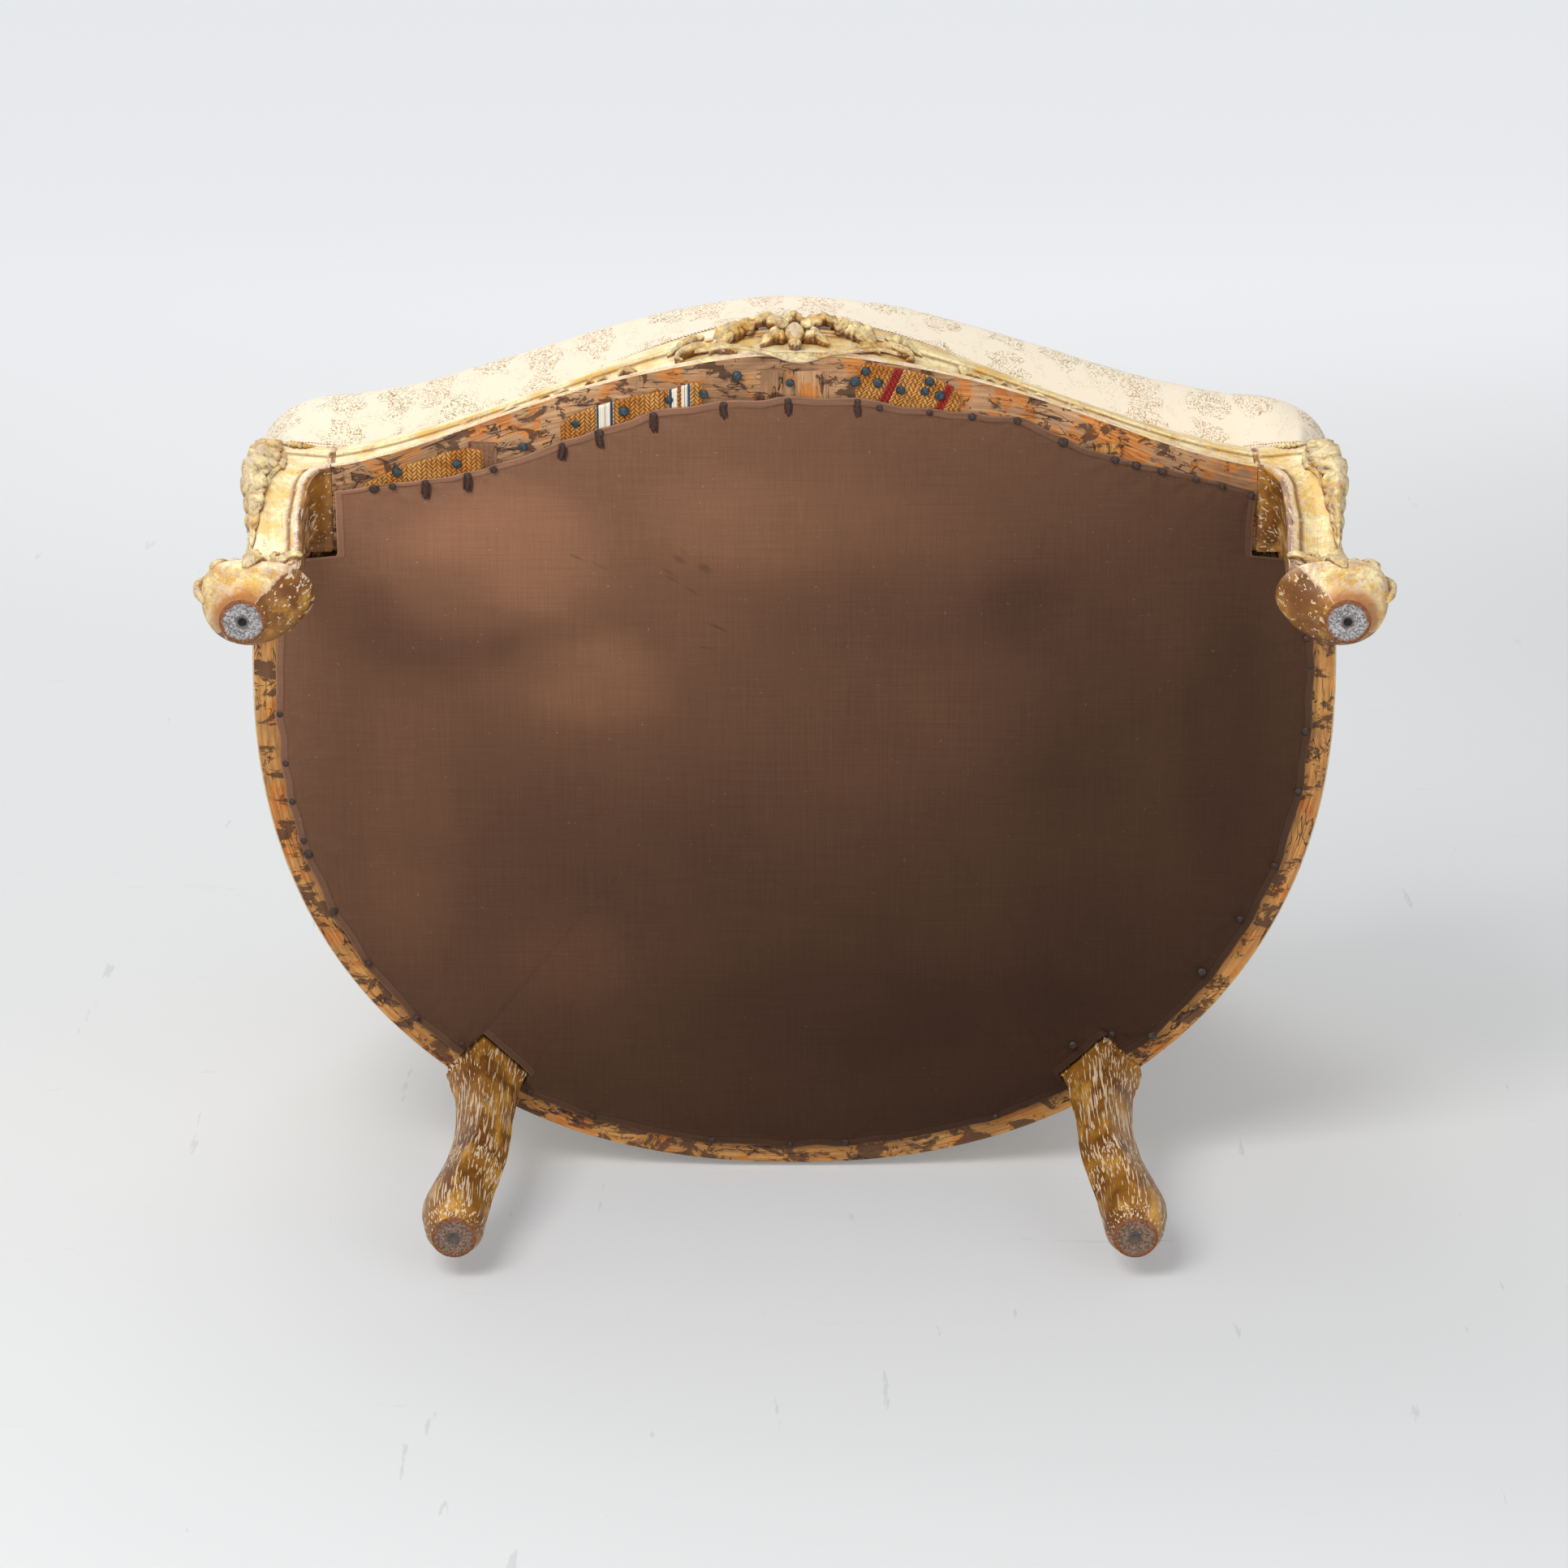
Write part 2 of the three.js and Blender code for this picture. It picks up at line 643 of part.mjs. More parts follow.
function rearBlockRow([up, back]) {
  const z = undersideHeight + up * railHeight;
  const sunk = faceRelief * back + sideSetBack * up;
  return rearRing(1, (out, along) => {
    const offset = along * rearBlockWidth / 2;
    return rearPoint(lerp(-rearBlockInner, rearReach(offset, z) - sunk, (out + 1) / 2), offset, z);
  });
}

function stileWidthAt(z) {
  return lerp(rearBlockWidth, stileTopWidth, clamp((z - railTop) / (armTop - railTop), 0, 1));
}

function stileRow(share) {
  return rearRing(stileSquareShare, (out, along) => {
    const point = new THREE.Vector3();
    let z = railTop;
    for (let pass = 0; pass < 4; pass++) {
      const offset = along * stileWidthAt(z) / 2;
      const inner = -lerp(rearBlockInner, stileTopInner, share);
      point.copy(rearPoint(lerp(inner, rearReach(offset, z) - stileInset, (out + 1) / 2), offset, z));
      z = lerp(railTop, topRail(turnOf(point)).bottom - stileGap, share);
    }
    return point;
  });
}

function makeRearLeg() {
  const rows = [
    ...rearLegShares.map(rearLegRow), ...railProfileShares.map(rearBlockRow), ...stileShares.map(stileRow),
  ];
  const foot = rearPoint(0, 0, 0);
  return cutFrom(loft(rows), [footHole(foot.x + rearFootSpread, foot.y + rearFootThrust)]);
}

// Top rail: height and thickness at a turn, with the knuckle at the front end of each arm
function topLine(turn) {
  const back = degToRad(90) - Math.abs(turn - degToRad(90));
  const rise = smoothstep(back, degToRad(armRiseStart), degToRad(armRiseEnd));
  const peak = bell(degToRad(90) - back, degToRad(crestPeakTurn));
  return lerp(armTop, crestTop, rise) + crestPeak * peak;
}

function topRail(turn) {
  const step = degToRad(1);
  const run = outlineAt(turn + step).distanceTo(outlineAt(turn - step));
  const slope = (topLine(turn + step) - topLine(turn - step)) / run;
  const height = topRailHeight * Math.min(steepestShare, Math.hypot(1, slope));
  const back = Math.min(turn, Math.PI - turn);
  const fromFront = back < degToRad(armRiseStart) ? outlineAt(back).y - armFrontY : knuckleReach;
  const nose = Math.sqrt(1 - (1 - clamp(fromFront / knuckleLength, 0, 1)) ** 2);
  const swell = 1 + knuckleSwellShare * hump(fromFront / knuckleReach);
  const centre = topLine(turn) - height / 2 - knuckleDip * (1 - smoothstep(fromFront, 0, knuckleReach));
  const half = swell * height / 2;
  return {
    centre, height, nose, swell,
    bottom: centre - half,
    top: centre + half,
    rebate: centre + half * (2 * rebateHeightShare - 1),
    rebateInset: topRailInset + topRailWidth * (0.5 + (rebateShare - 0.5) * swell),
  };
}

function topRailRing(turn) {
  const { centre, height, nose, swell } = topRail(turn);
  const size = swell * Math.max(nose, knuckleTipShare);
  return topRailShares.map(([inwards, up]) => placeOn(
    turn, topRailInset + topRailWidth * (0.5 + (inwards - 0.5) * size), centre + height * (up - 0.5) * size,
  ));
}

const jointTurn = clearance / 2 / seatHalfWidth;
const crestHalfTurns = crestPlaceShares.map((share) => lerp(stileTurn + jointTurn, Math.PI / 2, share * 2));
const crestMirroredTurns = crestHalfTurns.slice(0, -1).reverse().map((turn) => Math.PI - turn);
const crestTurns = [...crestHalfTurns, ...crestMirroredTurns];
const armTurns = armPlaceShares.map((share) => lerp(turnAtY(armFrontY), stileTurn - jointTurn, share));

function makeCrestRail() {
  return loft(crestTurns.map(topRailRing));
}

function makeArmRail() {
  return loft(armTurns.map(topRailRing));
}

// Arm support: it whips back from the side rail up to the arm
const supportLevels = spread(0, 1, 9);

function supportY(z) {
  const up = clamp((z - railTop) / (armTop - topRailHeight - railTop), 0, 1);
  return lerp(supportBaseY, supportTopY, smoothstep(up, 0, 1)) - supportSway * Math.sin(2 * Math.PI * up);
}

function makeArmSupport() {
  return loft(supportLevels.map((share) => rearRing(supportSquareShare, (out, along) => {
    const point = new THREE.Vector3();
    let z = railTop + clearance;
    for (let pass = 0; pass < 4; pass++) {
      const flare = 1 + supportFlareShare * bell(z - railTop, supportFlareHeight);
      const turn = turnAtY(supportY(z) + along * flare * supportWidth / 2, z);
      const angle = outwardAngle(turnAtY(supportY(z)));
      point.copy(placeOn(turn, supportInset - out * supportDepth / 2, z, angle));
      z = lerp(railTop + clearance, topRail(turnOf(point)).bottom - 2 * clearance, share);
    }
    return point;
  })));
}

function makeLowerBackRail() {
  const start = turnBesideLeg(besideLeg, lowerRailInnerInset, lowerRailBottom);
  const [bottom, top] = [lowerRailBottom, lowerRailBottom + lowerRailHeight];
  return loft(spread(start, Math.PI - start, 14).map((turn) => [
    placeOn(turn, lowerRailOuterInset, bottom), placeOn(turn, lowerRailOuterInset, top),
    placeOn(turn, lowerRailInnerInset, top), placeOn(turn, lowerRailInnerInset, bottom),
  ]));
}

// Corner blocks glued inside the frame
function makeFrontCornerBlock() {
  const rearOf = (x) => new THREE.Vector2(x, frontRailThickness - frontReach(x) + 2 * clearance);
  const corner = frontRailHalfLength - clearance;
  const outline = [
    rearOf(corner - cornerBlockReach), rearOf(corner - cornerBlockReach / 2), rearOf(corner),
    ...insideRail(sideRail, 0, cornerBlockShare, 3),
  ];
  return prism(outline, undersideHeight + cornerBlockRaise, cornerBlockHeight);
}

function makeRearCornerBlock() {
  const legCorner = rearPoint(-rearBlockInner - 2 * clearance, -besideLeg, 0);
  const outline = [
    ...insideRail(sideRail, 1 - cornerBlockShare, 1, 3), new THREE.Vector2(legCorner.x, legCorner.y),
    ...insideRail(rearRail, 0, cornerBlockShare, 3),
  ];
  return prism(outline, undersideHeight + cornerBlockRaise, cornerBlockHeight);
}

// Webbing: a strap over four corner points, raised where it passes over another
const strapTop = undersideHeight - clearance;
const weaveRise = strapThickness + clearance;

function strap(startLeft, startRight, endLeft, endRight, places) {
  return loft(places.map(([share, raised]) => {
    const left = startLeft.clone().lerp(endLeft, share);
    const right = startRight.clone().lerp(endRight, share);
    const top = strapTop + raised * weaveRise;
    return [
      new THREE.Vector3(left.x, left.y, top), new THREE.Vector3(right.x, right.y, top),
      new THREE.Vector3(right.x, right.y, top - strapThickness),
      new THREE.Vector3(left.x, left.y, top - strapThickness),
    ];
  }));
}

function weave(start, end, spans) {
  const length = end - start;
  const places = spans.flatMap(([from, to]) => [
    [(from - weaveRun - start) / length, 0], [(from - start) / length, 1],
    [(to - start) / length, 1], [(to + weaveRun - start) / length, 0],
  ]);
  return [[0, 0], ...places, [1, 0]];
}

const strapEdges = [-strapWidth / 2, strapWidth / 2];
const strapSpan = strapWidth / 2 + weaveOverhang;
const strapRowYs = strapRowShares.map((share) => share * seatHalfDepth);
const longStraps = strapFrontShares.map((frontShare, index) => {
  const front = strapEdges.map((edge) => {
    const x = frontShare * seatHalfWidth + edge;
    return new THREE.Vector2(x, strapFrontInset - frontReach(x));
  });
  const rear = strapEdges.map((edge) => {
    const x = strapRearShares[index] * seatHalfWidth + edge;
    return new THREE.Vector2(x, outlineAt(turnAtX(x)).y - strapEndInset);
  });
  return { front, rear, middle: [front, rear].map(([left, right]) => left.clone().lerp(right, 0.5)) };
});

function makeLongStrap(index) {
  const { front, rear, middle: [start, end] } = longStraps[index];
  const spans = strapRowYs.filter((_, row) => (row + index) % 2).map((y) => [y - strapSpan, y + strapSpan]);
  return strap(...front, ...rear, weave(start.y, end.y, spans));
}

function makeCrossStrap(row) {
  const y = strapRowYs[row];
  const [near, far] = strapEdges.map((edge) => {
    const place = outlineAt(turnAtY(y + edge));
    return new THREE.Vector2(place.x - strapEndInset, place.y);
  });
  const reach = (near.x + far.x) / 2;
  const spans = longStraps.filter((_, index) => (row + index) % 2 === 0).map(({ middle: [start, end] }) => {
    const x = lerp(start.x, end.x, (y - start.y) / (end.y - start.y));
    return [x - strapSpan, x + strapSpan];
  });
  const flip = (point) => new THREE.Vector2(-point.x, point.y);
  return strap(flip(near), flip(far), near, far, weave(-reach, reach, spans));
}

// Plan outlines of the layers of the seat, right half first, then mirrored
function bothHalves(half) {
  const mirrored = half.slice(1, -1).reverse().map((point) => new THREE.Vector2(-point.x, point.y));
  return [...half, ...mirrored];
}

function besideRearLeg(side) {
  const corner = rearPoint(-rearBlockInner - legClear, side * (rearBlockWidth / 2 + legClear), 0);
  return new THREE.Vector2(corner.x, corner.y);
}

// Turn at which an inset of the outline is in line with a corner of the notch round the rear leg
function turnInLine(corner, inset) {
  const sight = corner.clone().sub(seatMiddle).angle();
  return solve((turn) => {
    const place = placeOn(turn, inset, 0);
    return new THREE.Vector2(place.x, place.y).sub(seatMiddle).angle() - sight;
  }, 0, Math.PI / 2);
}

// Side, notch round the rear leg, and rear of an outline, from a place at the side to the middle
function rearOutline(start, inset, sideSteps, rearSteps) {
  const corners = [-1, 1].map(besideRearLeg);
  const before = turnBesideLeg(-rearBlockWidth / 2 - legClear, inset, 0);
  const behind = turnInLine(corners[1], inset) + jointTurn;
  const sides = alongOutline(start, before, inset, sideSteps);
  return [...sides, ...corners, ...alongOutline(behind, Math.PI / 2, inset, rearSteps)];
}

function alongOutline(from, to, inset, steps) {
  return spread(from, to, steps).map((turn) => {
    const point = placeOn(turn, typeof inset === "function" ? inset(turn) : inset, 0);
    return new THREE.Vector2(point.x, point.y);
  });
}

// How many times a ray has to be laid on from a start to reach an outline
function rayTo(outline, start, ray) {
  const crossings = outline.map((corner, i) => {
    const from = corner.clone().sub(start);
    const edge = outline[(i + 1) % outline.length].clone().sub(corner);
    const along = from.cross(ray) / ray.cross(edge);
    const reach = from.cross(edge) / ray.cross(edge);
    return along >= 0 && along <= 1 && reach > 0 ? reach : Infinity;
  });
  return Math.min(...crossings);
}

// Share of an outline's size at which a point lies, seen from the middle of the seat
function shareOf(outline, point) {
  return 1 / rayTo(outline, seatMiddle, point.clone().sub(seatMiddle));
}

// The canvas and the deck share an outline: it runs forward over the front rail and the legs' blocks
function legTopCorner() {
  const outer = frontLegRing(railTop, deckFrontInset).slice(1, 2 * legFaceShares.length - 3);
  return outer.filter((_, i) => i % 2 === 0).reverse().map((point) => new THREE.Vector2(point.x, point.y));
}

function makeCanvasOutline() {
  const front = spread(0, frontRailHalfLength - deckFrontInset, 6)
    .map((x) => new THREE.Vector2(x, frontTopInset(x) + deckFrontInset - frontReach(x)));
  const ear = [-frontLegBack, earBackY]
    .map((y) => new THREE.Vector2(outlineAt(turnAtY(y)).x - earInset, y));
  const rear = rearOutline(turnAtY(earBackY), innerInset, 5, 3);
  rear[0].y = earBackY;
  return bothHalves([...front, ...legTopCorner(), ...ear, ...rear]);
}

const canvasOutline = makeCanvasOutline();

function makeCanvas() {
  const under = domeShares.map(([share, up]) => [share, railTop + clearance + up * canvasDome]);
  const over = under.map(([share, z]) => [share, z + canvasThickness]).reverse();
  return layered(canvasOutline, [...under, ...over]);
}

function makeDeck() {
  const bottom = railTop + canvasThickness + 2 * clearance;
  const under = domeShares.map(([share, up]) => [share, bottom + up * canvasDome]);
  const over = deckShares.map(([share, down]) => [share, deckTop - down * deckEdge]);
  return layered(canvasOutline, [...under, ...over]);
}

function makeDustCover() {
  const insetAt = (x) => lerp(dustSideInset, dustCentreInset, wave(x / frontBowHalfWidth) ** 2);
  const inner = frontRailHalfLength - legClear;
  const back = legClear - frontLegBack;
  const front = spread(0, inner, 9).map((x) => new THREE.Vector2(x, insetAt(x) - frontReach(x)));
  const rear = rearOutline(turnAtY(back), dustSideInset, 6, 4);
  rear[0].y = back;
  const outline = bothHalves([...front, new THREE.Vector2(inner, back), ...rear]);
  const top = strapTop - strapThickness - clearance;
  const over = sagShares.map(([share, down]) => [share, top - down * dustSag]);
  const under = over.map(([share, z]) => [share, z - dustThickness]).reverse();
  return layered(outline, [...over, ...under]);
}

// Springs: an hourglass helix whose end turns lie flatter
const springPlaces = springPlaceShares.map(([x, y]) => [x * seatHalfWidth, y * seatHalfDepth]);
const springBottom = strapTop + weaveRise + clearance + springWire / 2;

function springPoint(share, top) {
  const radius = lerp(springWaistRadius, springEndRadius, (2 * share - 1) ** 2);
  const up = share - springFlatShare * Math.sin(2 * Math.PI * share);
  const turn = 2 * Math.PI * springTurns * share;
  return new THREE.Vector3(radius * Math.cos(turn), radius * Math.sin(turn), lerp(springBottom, top, up));
}

// Least gap between the turns, measured on points more than half a turn apart
function springGap(top) {
  const turnSteps = 24;
  const points = spread(0, 1, springTurns * turnSteps).map((share) => springPoint(share, top));
  const gaps = points.flatMap(
    (point, i) => points.slice(i + turnSteps / 2).map((other) => point.distanceTo(other)),
  );
  return Math.min(...gaps) - springWire;
}

function canvasUndersideAt(x, y) {
  const [, up] = readShares(domeShares, shareOf(canvasOutline, new THREE.Vector2(x, y)));
  return railTop + clearance + up * canvasDome;
}

function springTopAt([x, y]) {
  const reach = springEndRadius + springWire / 2;
  const rim = spread(0, 2 * Math.PI, 12).map(
    (angle) => canvasUndersideAt(x + reach * Math.cos(angle), y + reach * Math.sin(angle)),
  );
  return Math.min(...rim) - clearance - springWire / 2;
}

function makeSpring([x, y]) {
  const steps = springTurns * springStepsPerTurn;
  const top = springTopAt([x, y]);
  const rings = spread(0, 1, steps).map((share) => {
    const point = springPoint(share, top);
    const step = 0.5 / steps;
    const along = springPoint(share + step, top).sub(springPoint(share - step, top)).normalize();
    const outwards = new THREE.Vector3(point.x, point.y, 0).normalize();
    outwards.addScaledVector(along, -outwards.dot(along)).normalize();
    const upwards = along.clone().cross(outwards);
    return spread(0, 2 * Math.PI, wireSides).slice(1).map((angle) => point.clone()
      .addScaledVector(outwards, Math.cos(angle) * springWire / 2)
      .addScaledVector(upwards, Math.sin(angle) * springWire / 2));
  });
  const nearSide = x > 0 ? Math.PI : 0;
  return loft(rings).rotateZ(nearSide).translate(x, y, 0);
}

const leastGap = Math.min(...springPlaces.map((place) => springGap(springTopAt(place))));
console.log("least gap between the turns of a spring: " + leastGap.toFixed(2) + " mm");

// Path of the roll's front, from the left ear round the front to the right ear
function makeRollPath() {
  const earX = seatHalfWidth + rollOverhang;
  const cornerX = earX - rollCornerRun;
  const bowHalfWidth = rollBowWidthShare * seatHalfWidth;
  const front = spread(0, cornerX, 6)
    .map((x) => new THREE.Vector2(x, -rollFrontReach - rollBow * wave(x / bowHalfWidth)));
  const earFront = new THREE.Vector2(earX, -rollEarY);
  const control = new THREE.Vector2(earX, front.at(-1).y);
  const bend = new THREE.QuadraticBezierCurve(front.at(-1), control, earFront);
  const corner = spread(0, 1, 5).slice(1).map((share) => bend.getPoint(share));
  const half = [...front, ...corner, new THREE.Vector2(earX, earBackY)];
  return [...half.slice(1).reverse().map(({ x, y }) => new THREE.Vector2(-x, y)), ...half];
}

const rollPath = makeRollPath();

// Direction inwards from a place of the path
function rollInwards(place) {
  const [before, after] = [Math.max(place - 1, 0), Math.min(place + 1, rollPath.length - 1)];
  const along = rollPath[after].clone().sub(rollPath[before]).normalize();
  return new THREE.Vector2(-along.y, along.x);
}

function drawnIn(distance) {
  return rollPath.map((point, place) => point.clone().addScaledVector(rollInwards(place), distance));
}

function makeEdgeRoll() {
  const base = deckTop + clearance;
  return loft(rollPath.map((point, place) => {
    const inwards = rollInwards(place);
    const deckFront = rayTo(canvasOutline, point, inwards) - rollGap;
    const section = [
      [deckFront, base - rollDrop], [deckFront - rollLip, base - rollDrop],
      ...rollShares.map(([share, up]) => [share * rollWidth, base + up * rollHeight]),
      [rollWidth, base], [deckFront, base],
    ];
    return section.map(([inset, z]) => {
      const at = point.clone().addScaledVector(inwards, inset);
      return new THREE.Vector3(at.x, at.y, z);
    });
  }));
}

// Loose cushion: welts, boxing and a crown
function makeCushion() {
  const front = drawnIn(rollWidth + cushionGap).slice(Math.floor(rollPath.length / 2), -1);
  const start = turnAtY(earBackY);
  const inset = (turn) => cushionInset + cushionPullIn * hump((turn - start) / (Math.PI / 3 - start));
  const sides = alongOutline(start, Math.PI / 2, inset, 10);
  sides[0].y = earBackY;
  const ear = new THREE.Vector2(front.at(-1).x, earBackY);
  const outline = bothHalves([...front, ear, ...sides]);
  const bottom = deckTop + cushionSettle;
  const rise = cushionHighWelt - cushionLowWelt;
  const swellAt = (z) => 1 - boxingDrawShare * (1 - Math.sin(Math.PI * (z - cushionLowWelt) / rise));
  const boxing = spread(cushionLowWelt + cushionWelt, cushionHighWelt - cushionWelt, 2);
  const crownBase = cushionHighWelt + cushionWelt / 2;
  return layered(outline, [
    ...cushionUnderShares.map((share) => [share, bottom]),
    [cushionRimShare, cushionLowWelt - cushionWelt / 2], [1, cushionLowWelt],
    ...boxing.map((z) => [swellAt(z), z]), [1, cushionHighWelt],
    ...cushionCrownShares.map(([share, up]) => [share, crownBase + up * cushionCrown]),
  ]);
}

// Upholstery of the back and arms, between a turn at the start and one at the end that change with height
function shell(turnAt, insideOf, places, levels, bottom, topOf) {
  return loft(places.map((place) => {
    const ends = levels.map((level) => {
      let z = bottom;
      for (let pass = 0; pass < 5; pass++) z = lerp(bottom, topOf(turnAt(place, z)), level);
      return [turnAt(place, z), level, z];
    });
    const outer = ends.map(([turn, level, z]) => placeOn(turn, insideOf(turn, place, level)[0], z));
    const inner = ends.map(([turn, level, z]) => placeOn(turn, insideOf(turn, place, level)[1], z));
    return [...outer, ...inner.reverse()];
  }), rungs);
}

const padBottom = deckTop + 2 * clearance;
const padTopOf = (turn) => topRail(turn).rebate - 2 * clearance;
const panelTopOf = (turn) => topRail(turn).bottom - outsideGap;
const fullness = (share) => Math.sqrt(clamp(1 - Math.abs(2 * share - 1) ** fullnessPower, 0, 1));

// Places between two turns that match the sections of the rail above
function placesUnder(railTurns, from, to, edgeShares) {
  const inside = railTurns.map((turn) => (turn - from) / (to - from));
  const first = edgeShares.at(-1) + padPlaceGap;
  const last = 1 - first;
  return [0, ...edgeShares, ...inside.filter((share) => share > first && share < last),
    ...edgeShares.map((share) => 1 - share).reverse(), 1];
}

function padInsets(turn, place, level, crown, backShare) {
  const low = lerp(armPadInset, padInset, smoothstep(backShare, 0, 1));
  const lean = smoothstep(level, padLeanStartShare, padLeanEndShare);
  const outer = lerp(low, topRail(turn).rebateInset + padRebateGap, lean);
  return [outer, outer + padEdge / 4 + (crown + padEdge) * fullness(place) * fullness(level)];
}

function makeInsideBack() {
  const start = degToRad(seamTurn) + seamGap / 2 / seatHalfWidth;
  const turnAt = (place) => lerp(start, Math.PI - start, place);
  const insets = (turn, place, level) => padInsets(turn, place, level, backCrown, 1);
  const places = placesUnder(crestTurns, start, Math.PI - start, padEdgeShares);
  return shell(turnAt, insets, places, padLevelShares, padBottom, padTopOf);
}

function makeInsideArm() {
  const end = degToRad(seamTurn) - seamGap / 2 / seatHalfWidth;
  const turnAt = (place, z) => lerp(turnAtY(supportY(z) - padFrontLead, z), end, place);
  const insets = (turn, place, level) => padInsets(turn, place, level, armCrown, turn / degToRad(seamTurn));
  const places = placesUnder(armTurns, turnAt(0, armTop), end, padEdgeShares);
  return shell(turnAt, insets, places, padLevelShares, padBottom, padTopOf);
}

function makeOutsidePanel(turnAt, places) {
  const insets = () => [outsideInset, outsideInset + outsideThickness];
  return shell(turnAt, insets, places, supportLevels, railTop + clearance, panelTopOf);
}

function makeOutsideBack() {
  const edge = (z) => turnBesideLeg(stileWidthAt(z) / 2 + outsideGap, outsideInset + outsideThickness, z);
  const [from, to] = [edge(armTop), Math.PI - edge(armTop)];
  const turnAt = (place, z) => lerp(edge(z), Math.PI - edge(z), place);
  return makeOutsidePanel(turnAt, placesUnder(crestTurns, from, to, [0]).slice(1, -1));
}

function makeOutsideArm() {
  const front = (z) => turnAtY(supportY(z) + supportWidth * (1 + supportFlareShare) / 2 + outsideGap, z);
  const back = (z) => turnBesideLeg(-stileWidthAt(z) / 2 - outsideGap, outsideInset + outsideThickness, z);
  const turnAt = (place, z) => lerp(front(z), back(z), place);
  return makeOutsidePanel(turnAt, placesUnder(armTurns, front(armTop), back(armTop), [0]).slice(1, -1));
}

function makeArmPad() {
  return loft(armPadPlaceShares.map((place) => {
    const turn = turnAtY(lerp(armPadStart, armPadEnd, place), armTop);
    const size = lerp(armPadTipShare, 1, fullness(place));
    const centre = topRailInset + topRailWidth / 2;
    const base = topRail(turn).top + clearance;
    return spread(0, Math.PI, 8).map((angle) => placeOn(
      turn, centre + Math.cos(angle) * size * armPadWidth / 2,
      base + Math.sqrt(Math.sin(angle)) * size * armPadHeight,
    ));
  }));
}

// Finishes
const finish = (color, roughness, metalness = 0) => ({ color, roughness, metalness });
const giltWood = finish(0xd8b876, 0.45);
const agedWood = finish(0x8c6a3c, 0.55);
const bareWood = finish(0xa07448, 0.8);
const webbing = finish(0xb8925c, 0.95);
const springSteel = finish(0x4c4844, 0.5, 0.9);
const canvasCloth = finish(0xc2a67c, 0.95);
const cambric = finish(0x5c4438, 0.95);
const floralCloth = finish(0xf6efe2, 0.9);

const chair = new THREE.Group();

function add(name, geometry, look, mirrored = false) {
  const mesh = new THREE.Mesh(geometry, new THREE.MeshStandardMaterial(look));
  mesh.name = name;
  mesh.scale.x = mirrored ? -1 : 1;
  chair.add(mesh);
}

function addPair(name, geometry, look) {
  add("left_" + name, geometry, look, true);
  add("right_" + name, geometry, look);
}

add("front_rail", makeFrontRail(), giltWood);
frontBlocks.forEach(([name, x, width, height]) => add(name, frontBlock(x, width, height, 0), bareWood));
addPair("front_leg", makeFrontLeg(), giltWood);
addPair("side_rail", outlineRail(sideRail, 12), giltWood);
addPair("rear_leg", makeRearLeg(), agedWood);
add("rear_rail", outlineRail(rearRail, 16), agedWood);
addPair("front_corner_block", makeFrontCornerBlock(), bareWood);
addPair("rear_corner_block", makeRearCornerBlock(), bareWood);
add("crest_rail", makeCrestRail(), giltWood);
addPair("arm_rail", makeArmRail(), giltWood);
addPair("arm_support", makeArmSupport(), giltWood);
add("lower_back_rail", makeLowerBackRail(), bareWood);
strapFrontShares.forEach((_, index) => add("long_strap_" + (index + 1), makeLongStrap(index), webbing));
strapRowShares.forEach((_, row) => add("cross_strap_" + (row + 1), makeCrossStrap(row), webbing));
springPlaces.forEach((place, index) => add("spring_" + (index + 1), makeSpring(place), springSteel));
add("spring_canvas", makeCanvas(), canvasCloth);
add("seat_deck", makeDeck(), floralCloth);
add("front_edge_roll", makeEdgeRoll(), floralCloth);
add("dust_cover", makeDustCover(), cambric);
add("seat_cushion", makeCushion(), floralCloth);
add("inside_back", makeInsideBack(), floralCloth);
addPair("inside_arm", makeInsideArm(), floralCloth);
add("outside_back", makeOutsideBack(), floralCloth);
addPair("outside_arm", makeOutsideArm(), floralCloth);
addPair("arm_pad", makeArmPad(), floralCloth);

// The origin lies on the floor under the middle of the whole chair
const rearTip = topRail(Math.PI / 2);
const beadHeight = rearTip.centre + rearTip.height * (topBeadShare - 0.5);
const backReach = outlineAt(Math.PI / 2, beadHeight).y - topRailInset;
chair.position.y = (frontReach(0) - backReach) / 2;

export default chair;
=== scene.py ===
"""Looks of a bergère that lies on its back and is seen from below.

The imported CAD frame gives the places. This script carves, gilds and upholsters it: the serpentine front
rail with its cartouche, the cabriole legs, the nailed webbing and the tacked dust cover underneath, and the
loose cushion, back and arms above. Lengths are in metres. "Plan" coordinates have y = 0 on the widest line
of the seat; row coordinates are the CAD frame's.
"""

import logging
import math
from dataclasses import dataclass, field, replace
from enum import Enum
from functools import cached_property
from typing import Callable, Sequence

import bmesh
import bpy
import numpy as np
from mathutils import Matrix, Vector
from mathutils.kdtree import KDTree


